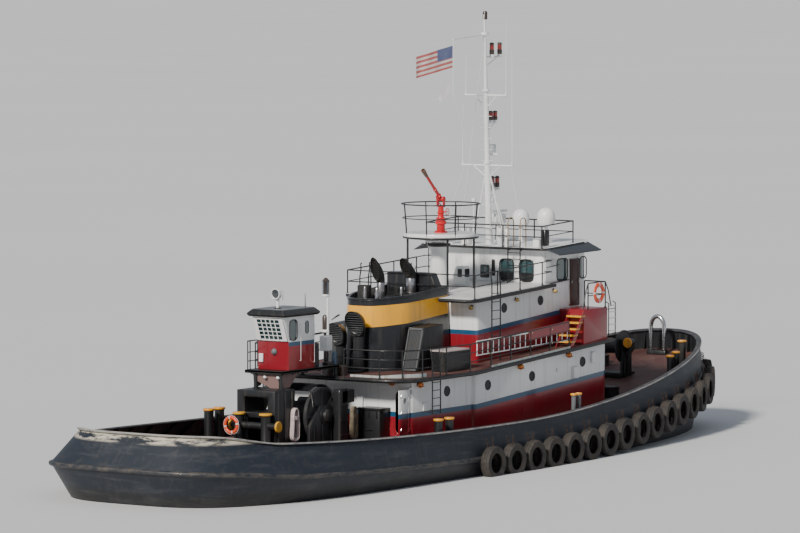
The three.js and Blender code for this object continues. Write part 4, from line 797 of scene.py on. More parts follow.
# %% [markdown]
# ## The hull
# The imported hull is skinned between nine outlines. The same rule with four times the points, and a
# rounded rubbing strake, gives the smooth plating that the photograph shows. The outlines are the
# boat's lines: how far each level reaches aft, forward and sideways.

# %% Lines of the hull
BEAM_X, HALF_LENGTH = -1.2, 17.075          # the widest frame, and half the length at the cap
CAP_LOW, SHEER_AFT, SHEER_FORE, BULWARK = 1.66, 0.53, 1.6, 0.75
AROUND = 176                                # points in each outline


def cap_z(x):
    if x < BEAM_X:
        return CAP_LOW + SHEER_AFT * ((BEAM_X - x) / HALF_LENGTH) ** 2
    return CAP_LOW + SHEER_FORE * ((x - BEAM_X) / HALF_LENGTH) ** 1.9


def deck_z(x):
    return cap_z(x) - BULWARK


def top_z(x):
    """The bulwark's own top, which rises once more round the stern."""
    t = min(1.0, max(0.0, (-14.0 - x) / 2.3))
    return cap_z(x) + 0.22 * t * t * (3 - 2 * t)


def deck1_z(x):
    return 3.4 + max(0.0, x + 1.8) * 0.0604


def deck2_z(x):
    return 5.79 + (x + 0.95) * 0.052


def level(aft, fore, half, square, z, out=0.0, count=AROUND):
    """One outline of the hull, drawn out by a distance; z may be a height or a rule on x."""
    points = []
    for i in range(count):
        t = 2 * math.pi * i / count
        c, s = math.cos(t), math.sin(t)
        if c > 0:
            x = BEAM_X + (fore + out - BEAM_X) * c ** (2 / 2.1)
        else:
            x = BEAM_X + (aft - out - BEAM_X) * max(0.0, -c) ** (2 / square)
        power = 2 / 2.36 if c > 0 else 2 / square
        y = (half + out) * math.copysign(abs(s) ** power, s) if abs(s) > 1e-9 else 0.0
        points.append(Vector((x, y, z(x) if callable(z) else z)))
    return points


CAP, DECK = (-HALF_LENGTH, HALF_LENGTH, 4.8, 3.2), (-17.55, 17.12, 4.92, 3.7)
STRAKE = (-17.82, 17.17, 4.98, 4.0)


def stern_rise(x, start, rise):
    return rise * max(0.0, (start - x) / 10.0) ** 1.5


def blended(low, high, t):
    """An outline part of the way between two others."""
    return [a.lerp(b, t) for a, b in zip(low, high)]


keel = level(-7.5, 12.8, 1.5, 2.4, -3.6)
bilge = level(-9.8, 14.4, 3.7, 2.6, lambda x: -2.95 + stern_rise(x, -3.0, 1.5))
turn_up = level(-14.8, 15.7, 4.5, 3.0, lambda x: -1.7 + stern_rise(x, -5.0, 1.25))
water = level(-17.15, 16.5, 4.75, 3.6, -0.15)
STRAKE_HALF = 0.075


def strake_line(x):
    """The middle of the rubbing strake."""
    return cap_z(x) - 1.075 + 0.45 * (top_z(x) - cap_z(x))


strake_foot = level(*STRAKE, lambda x: strake_line(x) - STRAKE_HALF - 0.01)
strake_head = level(*STRAKE, lambda x: strake_line(x) + STRAKE_HALF + 0.01)
strake_rings = []
for out, rise in ((0.02, -1.0), (0.075, -0.9), (0.105, -0.6), (0.115, -0.25), (0.115, 0.25),
                  (0.105, 0.6), (0.075, 0.9), (0.02, 1.0)):
    strake_rings.append(level(*STRAKE, lambda x, r=rise: strake_line(x) + r * STRAKE_HALF, out))
CAP_LIP = 0.065                             # the cap rail's depth
cap_foot = level(*CAP, lambda x: top_z(x) - CAP_LIP)
under_deck = []
for low, high in zip(strake_head, cap_foot):
    share = 0.3
    for turn in range(4):
        share = (deck_z(low.x + (high.x - low.x) * share) - low.z) / (high.z - low.z)
    under_deck.append(low.lerp(high, share))

hull = Shape()
lower = [keel, bilge, turn_up, water, blended(water, strake_foot, 0.5), strake_foot]
hull.skin(lower, caps=False)
hull.mark = 1
hull.skin([strake_foot] + strake_rings + [strake_head], caps=False)
hull.mark = 0
hull.skin([strake_head, blended(strake_head, under_deck, 0.5), under_deck], caps=False)
hull.faces.append(tuple(range(AROUND))[::-1])
hull.marks.append(0)
hull.mark = 2
half_ring = AROUND // 2
first = len(hull.points) - AROUND
for i in range(half_ring):
    a, b = first + i, first + i + 1
    c, d = first + (AROUND - i - 1) % AROUND, first + (AROUND - i) % AROUND
    hull.faces.append((a, b, c, d) if i and i < half_ring - 1 else ((a, b, c) if i == 0 else (a, b, d)))
    hull.marks.append(2)
print("hull outlines of", AROUND, "points,", len(hull.faces), "faces")

# %% [markdown]
# Under water the tug carries a centre skeg, a long bossing for each shaft with its bracket, and a rudder
# trunk. They hang below the floor of the scene, but the part is judged from every side.

# %% Skeg, bossings and bollards
PROP_X, PROP_Y, PROP_Z, RUDDER_X = -12.9, 2.05, -2.3, -14.5
skeg = [(-14.0, -0.4), (-14.0, -2.1), (-11.5, -3.66), (12.5, -3.66), (13.0, -3.1), (-6.0, -1.0)]
rings = []
for y, grow in ((-0.13, 0.0), (-0.06, 0.05), (0.06, 0.05), (0.13, 0.0)):
    rings.append([Vector((x + (0.04 if x > 0 else 0.0) * (grow > 0), y, z)) for x, z in skeg])
hull.mark = 0
hull.skin(rings)
for side in (-1, 1):
    y = side * PROP_Y
    hull.tube([(-5.9, y, -1.8), (-9.0, y, -2.02), (-11.9, y, -2.28), (-12.3, y, -2.3)],
              [0.15, 0.17, 0.18, 0.2], 20)
    hull.turned([(0.19, 0.0), (0.21, 0.03), (0.21, 0.6), (0.17, 0.68)], (-12.64, y, PROP_Z), FORWARD,
                24)
    foil = [(0.34, 0.0), (0.26, 0.035), (0.1, 0.045), (-0.05, 0.04), (-0.17, 0.0), (-0.05, -0.04),
            (0.1, -0.045), (0.26, -0.035)]
    hull.skin([[Vector((-12.31 + a, y + b, z)) for a, b in foil] for z in (-2.2, -0.4)])
    hull.turned([(0.15, 0.0), (0.17, 0.03), (0.17, 0.9)], (RUDDER_X, y, -1.049), UP, 24)

BOLLARDS = [(-7.58, 3.8, 0.17, 2.17, 1), (-6.96, 3.8, 0.17, 2.17, 1), (-5.52, -4.36, 0.14, 2.09, 1),
            (-4.85, -4.36, 0.14, 2.09, 1)]
for side in (-1, 1):
    BOLLARDS += [(3.32, side * 4.26, 0.085, 2.27, 0), (3.66, side * 4.26, 0.085, 2.27, 0)]
    BOLLARDS += [(12.48, side * 2.78, 0.12, 2.92, 1), (12.95, side * 2.75, 0.12, 3.03, 1),
                 (14.4, side * 2.15, 0.14, 3.32, 1)]
for x, y, r, z, dark in BOLLARDS:
    foot = deck_z(x) - 0.1
    hull.mark = 3 if dark else 5
    hull.turned([(r, foot), (r, z - 0.11), (r + 0.012, z - 0.1), (r + 0.012, z - 0.075)], (x, y, 0),
                UP, 24)
    hull.mark = 4
    hull.turned([(r + 0.02, z - 0.08), (r + 0.038, z - 0.06), (r + 0.04, z - 0.03),
                 (r + 0.03, z - 0.006), (r, z)], (x, y, 0), UP, 28)
make("hull_plating", hull, "boat", [hull_paint, strake_paint, deck_paint, black_paint, amber_paint,
                                    grey_paint], ["hull"], 42)

# %% [markdown]
# The bulwark leans in above the deck and ends in a thick cap rail of pipe and plate, worn to bare grey.
# Inside, a bracket stands behind every frame. The cap is its own loop of faces so that it can wear.

# %% Bulwark, cap rail and brackets
def cap_ring(out, drop):
    """The cap rail's outline, drawn out by a distance and lowered from its top."""
    return level(*CAP, lambda x: top_z(x) - drop, out)


def deck_ring(out, rise):
    """The deck's outline, drawn out by a distance and raised from the deck."""
    return level(*DECK, lambda x: deck_z(x) + rise, out)


wall = Shape()
outer_foot = [p + Vector((0, 0, 0.0005)) for p in under_deck]
inner_foot = deck_ring(-0.08, 0.001)
cap_profile = [(0.0, CAP_LIP), (0.07, 0.06), (0.086, 0.045), (0.09, 0.03), (0.086, 0.014), (0.065, 0.002),
               (0.04, 0.0), (-0.1, 0.0), (-0.13, 0.004), (-0.148, 0.018), (-0.148, 0.045), (-0.13, 0.06),
               (-0.06, 0.06)]
cap_rings = [cap_ring(out, drop) for out, drop in cap_profile]
wall.skin([outer_foot, blended(outer_foot, cap_foot, 0.5), cap_foot], caps=False)
wall.mark = 1
wall.skin(cap_rings[:3], caps=False)
wall.mark = 3
wall.skin(cap_rings[2:6], caps=False)
wall.mark = 1
wall.skin(cap_rings[5:], caps=False)
wall.mark = 2
wall.skin([cap_rings[-1], inner_foot], caps=False)
wall.mark = 0
wall.skin([inner_foot, outer_foot], caps=False)
bulwark_inside = enamel("bulwark_inside_enamel", (0.010, 0.012, 0.015), coat=0.05, roughness=0.5,
                        streaks=0.25, chips=0.3)
make("bulwark_plating", wall, "boat", [hull_paint, cap_paint, bulwark_inside, cap_edge_paint],
     ["bulwark"], 42)

brackets = Shape()
FRAME_SPACING = 1.05
foot, foot_in, head = deck_ring(-0.085, 0.003), deck_ring(-0.27, 0.003), cap_ring(-0.064, 0.064)
walked, count = 0.0, 0
for i in range(AROUND):
    walked += (foot[i] - foot[i - 1]).length
    if walked < FRAME_SPACING:
        continue
    walked, count = 0.0, count + 1
    inward = (foot_in[i] - foot[i]).normalized()
    across = Vector((-inward.y, inward.x, 0)) * 0.006
    web = [foot[i], head[i], head[i] + inward * 0.05, foot[i] + inward * 0.18 + Vector((0, 0, 0.12)),
           foot[i] + inward * 0.18]
    brackets.skin([[p - across for p in web], [p + across for p in web]])
make("bulwark_brackets", brackets, "boat", [bulwark_inside], [])
print("brackets", count)

# %% [markdown]
# Water leaves the after deck through narrow slots at the foot of the bulwark. No hole is cut: each slot is a
# dark plate of painted shade that stands three millimetres proud of the plating, on the line between the deck
# outline and the cap outline.


# %% Freeing slots
def side_y(ring, x):
    """How far out a port outline stands at x."""
    half = [p for p in ring if p.y > 0]
    for p, q in zip(half, half[1:]):
        if min(p.x, q.x) <= x <= max(p.x, q.x) and p.x != q.x:
            return p.y + (q.y - p.y) * (x - p.x) / (q.x - p.x)
    return 0.0


slots = Shape()
for x0, x1, z0, z1 in ((-8.42, -6.79, 1.09, 1.06), (-12.47, -11.43, 1.22, 1.17)):
    for k in range(7):
        x = x0 + (x1 - x0) * k / 6
        z = z0 + (z1 - z0) * k / 6
        for side in (-1, 1):
            frame_points = []
            for dx, dz in ((-0.022, -0.05), (0.022, -0.05), (0.022, 0.05), (-0.022, 0.05)):
                share = (z + dz - deck_z(x)) / (BULWARK - CAP_LIP)
                out = side_y(under_deck, x + dx) * (1 - share) + side_y(cap_foot, x + dx) * share
                frame_points.append((x + dx, out, z + dz))
            slots.skin([[Vector((a, side * (b + d), c)) for a, b, c in frame_points]
                        for d in (-0.004, 0.003)])
# painted shade: black plates stand for the shaded openings of the slots
make("freeing_slots", slots, "boat", [black_paint], [])
print("freeing slots made")

# %% [markdown]
# ## Tyre fenders
# Old lorry tyres hang on chains from amidships round the bow, with a side wall against the strake. One
# tyre is a turned profile with its beads, side walls and shoulder, and tread lugs and grooves are cut into
# it. The tyres and chains are then set on points along the strake by the repeat tree.

# %% One tyre
TYRE_HALF, TYRE_PITCH, TYRE_FROM = 0.175, 1.29, -3.75          # half width, spacing, aft end
profile = [(0.335, -0.115), (0.338, -0.138), (0.37, -0.15), (0.43, -0.168), (0.50, -0.173),
           (0.548, -0.166), (0.565, -0.152), (0.578, -0.12), (0.585, -0.095), (0.575, -0.088),
           (0.575, -0.072), (0.587, -0.065), (0.589, -0.02), (0.577, -0.012)]
profile = profile + [(r, -h) for r, h in reversed(profile)]
inside = [(0.335, 0.10), (0.45, 0.145), (0.545, 0.12), (0.56, 0.0), (0.545, -0.12), (0.45, -0.145),
          (0.335, -0.10)]
ring = profile + inside
tyre = Shape()
TURNS = 48
rings = []
for k in range(TURNS):
    a = 2 * math.pi * k / TURNS
    dent = 0.012 if k % 3 == 0 else 0.0
    one = []
    for r, h in ring:
        cut = dent if r > 0.56 and abs(h) > 0.03 and (r, h) in profile else 0.0
        one.append(Vector(((r - cut) * math.cos(a), h, (r - cut) * math.sin(a))))
    rings.append(one)
tyre.skin(rings, around=True)
tyre_mesh = seed_mesh("tyre", tyre)


def tyre_z(x):
    return cap_z(x) - 1.22 - 0.35 * (max(0.0, x) / HALF_LENGTH) ** 2


def strake_places():
    """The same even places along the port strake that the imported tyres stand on, from the stem aft."""
    edge = level(*STRAKE, tyre_z, 0.12, 44)
    places, due = [], TYRE_PITCH / 2
    for i in range(22):
        p, q = edge[i], edge[i + 1]
        long = math.hypot(q.x - p.x, q.y - p.y)
        while due < long:
            x, y = p.x + (q.x - p.x) * due / long, p.y + (q.y - p.y) * due / long
            if x > TYRE_FROM - TYRE_PITCH / 4:
                places.append((x, y, math.atan2(p.x - q.x, q.y - p.y)))
            due += TYRE_PITCH
        due -= long
    return places


# %% [markdown]
# A chain link is a bent rod. Links alternate by a quarter turn, and each chain runs from an eye on the
# strake to the tyre, so it always ends in steel.

# %% Tyres and chains in place
link_shape = Shape()
path = []
for a in angles(16):
    path.append(Vector((0, 0.028 * math.cos(a),
                        0.028 * math.sin(a) + (0.03 if math.sin(a) >= 0 else -0.03))))
link_shape.tube(path, 0.0095, 6, closed=True)
link_mesh = seed_mesh("link", link_shape)


def chain(start, end, sag=0.0):
    """Places of links between two points, sagging in the middle."""
    start, end = Vector(start), Vector(end)
    count = max(2, round((end - start).length / 0.088))
    points = [start.lerp(end, k / count) - Vector((0, 0, sag * math.sin(math.pi * k / count)))
              for k in range(count + 1)]
    places = []
    for k, (a, b) in enumerate(zip(points, points[1:])):
        turn = (b - a).to_track_quat("Z", "X") @ Matrix.Rotation(k * math.pi / 2, 3, "Z").to_quaternion()
        places.append(((a + b) / 2, tuple(turn.to_euler()), 1.0))
    return places


for side, label in ((-1, "starboard"), (1, "port")):
    seats, links = [], []
    for x, y, turn in strake_places():
        out = TYRE_HALF + 0.003
        centre = Vector((x + out * math.cos(turn), side * (y + out * math.sin(turn)), tyre_z(x)))
        spin = random.uniform(0, 2 * math.pi)
        facing = Matrix.Rotation(side * turn - math.pi / 2, 3, "Z") @ Matrix.Rotation(spin, 3, "Y")
        seats.append((centre, tuple(facing.to_euler()), 1.0))
        away = Vector((math.cos(turn), side * math.sin(turn), 0))
        sideways = Vector((-away.y, away.x, 0))
        for s in (-1, 1):
            top = centre + sideways * s * 0.2 + Vector((0, 0, 0.84)) - away * 0.165
            top.z = min(top.z, cap_z(x) - 0.16)
            links += chain(top, centre + sideways * s * 0.12 + Vector((0, 0, 0.42)) - away * 0.1, 0.0)
    for (p, _, _), (q, _, _) in zip(seats, seats[1:]):
        gap = (q - p).normalized()
        links += chain(p + gap * 0.42 + Vector((0, 0, -0.1)), q - gap * 0.42 + Vector((0, 0, -0.1)), 0.03)
    repeats("tyres_" + label, tyre_mesh.copy(), seats, "boat", [tyre_rubber], ["tyre_fenders_" + label],
            30)
    repeats("tyre_chains_" + label, link_mesh.copy(), links, "boat", [chain_steel], [], 60)
    print(label, "tyres", len(seats), "links", len(links))

# %% [markdown]
# ## Propellers and rudders
# A tug's blade is wide and twisted. The blade is lofted through sections that turn as the radius
# grows, then repeated four times round a faired hub; the port screw is the mirror of the starboard one.

# %% Propellers
for side, label in ((-1, "starboard"), (1, "port")):
    screw = Shape()
    y = side * PROP_Y
    screw.turned([(0.0, -0.26), (0.11, -0.255), (0.148, -0.2), (0.165, 0.0), (0.195, 0.22),
                  (0.198, 0.258)], (PROP_X, y, PROP_Z), FORWARD, 32)
    for blade in range(4):
        start = blade * math.pi / 2 + 0.3
        rings = []
        for k in range(11):
            r = 0.12 + 0.87 * k / 10
            share = (r - 0.12) / 0.87
            chord = 0.16 + 0.5 * math.sin(math.pi * min(1.0, share ** 0.85 * 0.82 + 0.06)) ** 0.9
            chord *= 1.0 if share < 0.9 else 0.86
            pitch = 1.0 - 0.45 * share
            thick = 0.05 * (1 - share) + 0.008
            section = []
            for a in angles(12):
                u, w = chord / 2 * math.cos(a), thick / 2 * math.sin(a)
                along = u * math.sin(pitch) + w * math.cos(pitch)
                around = (u * math.cos(pitch) - w * math.sin(pitch)) * side
                section.append((along, around))
            ring = []
            for along, around in section:
                a = start + around / r * min(1.0, r / 0.35)
                ring.append(Vector((PROP_X + along * 0.62, y + r * math.cos(a), PROP_Z + r * math.sin(a))))
            rings.append(ring)
        screw.skin(rings)
    make("screw_" + label, screw, "propeller_" + label, [bronze], ["propeller_" + label], 45)
    foil = [(0.42, 0.0), (0.4, 0.03), (0.33, 0.08), (0.2, 0.105), (0.0, 0.118), (-0.3, 0.1),
            (-0.65, 0.06), (-1.04, 0.014)]
    foil = foil + [(a, -b) for a, b in reversed(foil[1:])]
    blade = Shape()
    blade.skin([[Vector((RUDDER_X + a * g, y + b * g, z)) for a, b in foil]
                for z, g in ((-3.35, 0.985), (-3.335, 1.0), (-1.185, 1.0), (-1.17, 0.985))])
    blade.turned([(0.108, -1.3), (0.11, -1.055), (0.1, -1.05)], (RUDDER_X, y, 0), UP, 24)
    make("rudder_blade_" + label, blade, "rudder_" + label, [bottom_paint], ["rudder_" + label])
print("propellers and rudders made")

# %% [markdown]
# ## The deckhouses
# The houses are plate boxes with doorways and windows cut through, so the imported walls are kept: a copy is
# merged, its seams cleared and its corners bevelled, and the painted bands run over it. Portholes, window
# gaskets, coamings and lamps are added on top, each standing on the plate that carries it.

# %% Walls and decks
refined("main_deckhouse", "boat", [main_house_paint], 0.012, 2)
refined("upper_deckhouse", "boat", [upper_house_paint], 0.012, 2)
refined("pilothouse", "boat", [white_paint], 0.010, 2)
nodes["pilothouse_glass"].data.materials.clear()
nodes["pilothouse_glass"].data.materials.append(window_glass)


def two_tone(piece, top_material):
    """Gives the faces that look up their own finish: a deck is painted apart from its edge."""
    piece.data.materials.append(top_material)
    for polygon in piece.data.polygons:
        if polygon.normal.z > 0.9:
            polygon.material_index = len(piece.data.materials) - 1


for deck in ("boat_deck", "bridge_deck"):
    plate = refined(deck, "boat", [black_paint], 0.02, 3)
    two_tone(plate, deck_pale_paint if deck == "bridge_deck" else deck_paint)
print("walls and decks finished")

# %% [markdown]
# A porthole is a cast ring bolted over a hole with a thick glass. One seed is turned on a lathe profile
# and the repeat tree sets a copy at each place, faced outward from its wall.

# %% Portholes
port = Shape()
port.turned([(0.145, -0.01), (0.145, 0.022), (0.155, 0.034), (0.185, 0.036), (0.205, 0.026),
             (0.215, 0.004), (0.215, -0.01)], (0, 0, 0), UP, 28, hollow=True)
for k in range(8):
    a = 2 * math.pi * (k + 0.5) / 8
    port.turned([(0.012, 0.02), (0.012, 0.043), (0.0, 0.047)],
                (0.183 * math.cos(a), 0.183 * math.sin(a), 0), UP, 6)
port.mark = 1
port.turned([(0.15, 0.0), (0.15, 0.014), (0.07, 0.018), (0.0, 0.019)], (0, 0, 0), UP, 28)
port_ring = enamel("porthole_ring_enamel", (0.018, 0.021, 0.027), coat=0.1, roughness=0.45, streaks=0.2)
port_glass = enamel("porthole_dark_glass", (0.010, 0.013, 0.018), coat=0.0, roughness=0.5, streaks=0.0,
                    waviness=0.0)
MAIN_PORTS = [(-3.11, 2.78), (-0.73, 2.82), (2.14, 2.92), (5.53, 3.19)]
UPPER_PORTS = [(1.6, 5.34), (4.0, 5.46)]
places = []
for side in (-1, 1):
    facing = (math.radians(90) * -side, 0, 0)
    for x, z in MAIN_PORTS:
        wall = 3.11 if x < -1.55 else 3.25
        places.append((Vector((x, side * wall, z)), facing, 0.86))
    for x, z in UPPER_PORTS:
        places.append((Vector((x, side * 2.42, z)), facing, 0.82))
for y in (-2.0, 0.0, 2.0):
    places.append((Vector((7.28, y, 2.95)), (0, math.radians(90), 0), 0.86))
repeats("portholes", seed_mesh("porthole", port), places, "boat", [port_ring, port_glass], [])
print("portholes", len(places))

# %% [markdown]
# Windows and doorways get a raised frame with rounded corners. The frame is a ring between two rounded
# rectangles, and its inner corners cover the square corners of the hole cut in the plate.


# %% Rounded frames
def rounded(width, height, radius, steps=5):
    points = []
    for cx, cy, start in ((1, 1, 0), (-1, 1, 90), (-1, -1, 180), (1, -1, 270)):
        for k in range(steps + 1):
            a = math.radians(start + 90 * k / steps)
            points.append((cx * (width / 2 - radius) + radius * math.cos(a),
                           cy * (height / 2 - radius) + radius * math.sin(a)))
    return points


def frame_ring(shape, centre, u, v, width, height, radius, band, depth, back=0.004, ease=0.006):
    """A rounded frame round an opening; u and v span its plane and u x v points outward."""
    centre, u, v = Vector(centre), Vector(u), Vector(v)
    out = u.cross(v)
    inner = rounded(width, height, radius)
    outer = rounded(width + 2 * band, height + 2 * band, radius + band)
    mid_in = rounded(width + 2 * ease, height + 2 * ease, radius + ease)
    mid_out = rounded(width + 2 * (band - ease), height + 2 * (band - ease), radius + band - ease)
    rings = [(outer, -back), (outer, depth - ease), (mid_out, depth), (mid_in, depth),
             (inner, depth - ease), (inner, -back)]
    shape.skin([[centre + u * a + v * b + out * d for a, b in ring] for ring, d in rings], around=True)


WINDOW_Z, PILOT_HALF = 6.485, 2.4            # middle of the panes, half the house's width
gasket = enamel("window_gasket_black", (0.02, 0.022, 0.025), roughness=0.5, streaks=0.1)
frames = Shape()
for y, w in ((-1.67, 0.56), (-0.82, 0.56)):
    frame_ring(frames, (4.25, y, WINDOW_Z), (0, -1, 0), UP, w - 0.02, 0.73, 0.15, 0.05, 0.018)
for y, w in ((-1.8, 0.7), (-0.9, 0.78), (0, 0.78), (0.9, 0.78), (1.8, 0.7)):
    frame_ring(frames, (7.24, y, WINDOW_Z), PORTWARD, UP, w - 0.02, 0.73, 0.12, 0.05, 0.018)
for side in (-1, 1):
    for x, w in ((5.5, 0.7), (6.92, 0.42)):
        frame_ring(frames, (x, side * PILOT_HALF, WINDOW_Z), (-side, 0, 0), UP, w - 0.02, 0.73, 0.13,
                   0.045, 0.018)
frame_ring(frames, (4.25, 0.11, 6.405), (0, -1, 0), UP, 0.33, 0.41, 0.03, 0.03, 0.018)
make("window_gaskets", frames, "boat", [gasket], [], smooth=50)

# %% [markdown]
# Four of the openings are closed by steel covers: the after side window on each side and the two port
# windows of the aft wall. A small square window and a tall dark fitting stand between them, and a white
# locker stands before them on the bridge deck. Thin black plates paint shade: the shaded insides of the
# locker's two openings and the shaded lower half of the small window.


# %% Window covers and bridge deck locker
def cover(shape, centre, u, v, width, height, depth=0.02):
    """A rounded plate that closes an opening; u x v points outward."""
    centre, u, v = Vector(centre), Vector(u), Vector(v)
    out = u.cross(v)
    rings = []
    for cut, d in ((0.0, 0.0005), (0.0, depth - 0.006), (0.006, depth)):
        rings.append([centre + u * a + v * b + out * d
                      for a, b in rounded(width - 2 * cut, height - 2 * cut, 0.12)])
    shape.skin(rings)


covers = Shape()
for y in (0.82, 1.67):
    cover(covers, (4.25, y, WINDOW_Z), (0, -1, 0), UP, 0.66, 0.84)
for side in (-1, 1):
    cover(covers, (4.7, side * PILOT_HALF, WINDOW_Z), (-side, 0, 0), UP, 0.72, 0.84)
make("window_covers", covers, "boat", [white_paint], [], 40)
locker = Shape()
rings = []
for z, x0, x1, y0, y1 in ((5.99, 2.75, 3.15, 0.03, 0.50), (6.30, 2.75, 3.15, 0.03, 0.50),
                          (6.58, 2.76, 3.15, 0.03, 0.42), (6.66, 2.80, 3.12, 0.06, 0.36)):
    rings.append(rounded_level([(x0, y0), (x1, y0), (x1, y1), (x0, y1)], [0.03] * 4, 3, z))
locker.skin(rings)
locker.mark = 1
# painted shade: black plates for the shaded insides of the locker's two openings
locker.block((2.738, 0.12, 6.27), (2.752, 0.30, 6.56), 0.004)
locker.block((2.80, 0.018, 6.27), (3.09, 0.032, 6.56), 0.004)
# painted shade: the shaded lower half of the small square window, as a black plate
locker.block((4.236, -0.05, 6.205), (4.249, 0.27, 6.37), 0.003)
locker.skin([[Vector((4.2495 - d, -0.27 + a, 6.55 + b)) for a, b in rounded(0.12 - c, 0.60 - c, 0.055)]
             for d, c in ((0.0, 0.0), (0.05, 0.0), (0.065, 0.03))])
# black plates over the lower part of the two starboard aft windows
for y in (-1.67, -0.82):
    locker.block((4.262, y - 0.275, 6.112), (4.272, y + 0.275, 6.40), 0.002)
locker.mark = 2
locker.block((4.238, -0.05, 6.37), (4.249, 0.27, 6.605), 0.003)
make("bridge_locker", locker, "boat", [white_paint, black_paint, window_glass], [], 40)

coamings = Shape()
for side in (-1, 1):
    frame_ring(coamings, (6.28, side * PILOT_HALF, 5.99), (-side, 0, 0), UP, 0.54, 1.62, 0.14, 0.055, 0.012)
make("pilothouse_door_coamings", coamings, "boat", [white_paint], [], smooth=50)
coamings = Shape()
for side in (-1, 1):
    frame_ring(coamings, (-5.28, side * 2.72, 2.19), (0, -1, 0), UP, 0.57, 1.56, 0.25, 0.085, 0.012)
make("main_door_coamings", coamings, "boat", [main_house_paint], [], smooth=50)

# %% [markdown]
# A ship's door is a pressed plate with a stiffening rib round its edge, dogs with levers that clamp it and,
# in some, a round light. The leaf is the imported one; its fittings ride with it on its own hinge.


# %% Doors
def door_fittings(name, body, centre, along, out, width, height, material, glass_z=None, dogs=6):
    """Rib, dogs, lever and light on one face of a leaf; along and out are unit directions."""
    centre, along, out, rise = Vector(centre), Vector(along), Vector(out), Vector(UP)
    shape = Shape()
    frame_ring(shape, centre, along, rise, width * 0.72, height * 0.82, 0.1, 0.022, 0.012)
    shape.mark = 1
    for k in range(dogs):
        side = -1 if k % 2 else 1
        z = (k // 2 - (dogs // 2 - 1) / 2) * height * 0.36
        p = centre + along * side * width * 0.43 + rise * z
        shape.turned([(0.022, 0.0), (0.022, 0.02), (0.0, 0.022)], p, out, 12)
        q = p + out * 0.022
        shape.tube([q, q + along * -side * 0.02 + rise * 0.03, q + along * -side * 0.04 + rise * 0.09],
                   [0.011, 0.010, 0.008], 8)
    if glass_z is not None:
        shape.mark = 0
        p = centre + rise * glass_z
        shape.turned([(0.1, 0.0), (0.1, 0.012), (0.115, 0.018), (0.135, 0.012), (0.138, 0.0)], p, out,
                     24, hollow=True)
        shape.mark = 2
        shape.turned([(0.104, 0.0), (0.104, 0.008), (0.0, 0.01)], p, out, 24)
    make(name, shape, body, [material, bright_steel, window_glass], [])


for name, material in (("door_main_starboard", main_house_paint), ("door_main_port", main_house_paint),
                       ("door_pilothouse_starboard", brown_paint), ("door_pilothouse_port", brown_paint),
                       ("door_cab", cab_paint)):
    refined(name, name, [material], 0.008, 2)
door_fittings("door_dogs_main_starboard", "door_main_starboard", (-5.65, -3.062, 2.19), FORWARD, (0, -1, 0),
              0.62, 1.6, main_house_paint, 0.45)
door_fittings("door_dogs_main_port", "door_main_port", (-5.342, 2.72, 2.19), (0, -1, 0), (-1, 0, 0),
              0.6, 1.6, main_house_paint, 0.45)
door_fittings("door_dogs_starboard", "door_pilothouse_starboard", (6.28, -2.462, 5.99), FORWARD, (0, -1, 0),
              0.56, 1.62, brown_paint, None, 2)
door_fittings("door_dogs_port", "door_pilothouse_port", (6.28, 2.462, 5.99), (-1, 0, 0), PORTWARD,
              0.56, 1.62, brown_paint, None, 2)
door_fittings("door_dogs_cab", "door_cab", (-7.478, 0.24, 4.68), PORTWARD, FORWARD, 0.56, 1.55, cab_paint,
              0.4, 2)
print("doors fitted")

# %% [markdown]
# Deck lamps hang under the deck edges on brackets, with orange guards below the boat deck and small yellow
# ones below the bridge deck. Junction boxes and a drip rail break up the plain walls.

# %% Lamps and boxes on the walls
lamp = Shape()
lamp.turned([(0.05, -0.07), (0.075, -0.05), (0.085, -0.01), (0.085, 0.02), (0.06, 0.05), (0.0, 0.055)],
            (0.09, 0, 0), (1, 0, -0.6), 16)
lamp.mark = 1
lamp.tube([(-0.02, 0, 0.06), (0.05, 0, 0.06), (0.09, 0, 0.02)], 0.014, 8)
lamp.block((-0.012, -0.05, 0.01), (0.006, 0.05, 0.11), 0.003)
lamp.tube([(0.1 + 0.09 * math.cos(a), 0.09 * math.sin(a), -0.035) for a in
           angles(16)], 0.006, 6, closed=True)
starboard_turn, port_turn, aft_turn = -math.pi / 2, math.pi / 2, math.pi
MAIN_LAMPS = [(-4.9, 3.11, 3.13), (1.26, 3.25, 3.31), (4.48, 3.25, 3.5)]
places = []
for x, wall, z in MAIN_LAMPS:
    places.append((Vector((x, -wall, z)), (0, 0, starboard_turn), 1.25))
    places.append((Vector((x, wall, z)), (0, 0, port_turn), 1.25))
for y in (-2.35, 2.35):
    places.append((Vector((-5.28, y, 3.2)), (0, 0, aft_turn), 1.25))
repeats("deck_lamps_orange", seed_mesh("lamp", lamp), places, "boat", [glow_amber, rail_paint], [])
small = [(2.35, 5.58), (4.89, 5.74)]
places = [(Vector((x, -2.42, z)), (0, 0, starboard_turn), 0.9) for x, z in small]
places += [(Vector((x, 2.42, z)), (0, 0, port_turn), 0.9) for x, z in small]
places += [(Vector((-0.12, y, 5.44)), (0, 0, aft_turn), 0.9) for y in (-2.19, 2.19)]
lamp_yellow = enamel("lamp_yellow_glass", (0.62, 0.42, 0.12), coat=0.5, roughness=0.25, streaks=0.1)
repeats("deck_lamps_yellow", seed_mesh("small_lamp", lamp), places, "boat", [lamp_yellow, rail_paint], [])

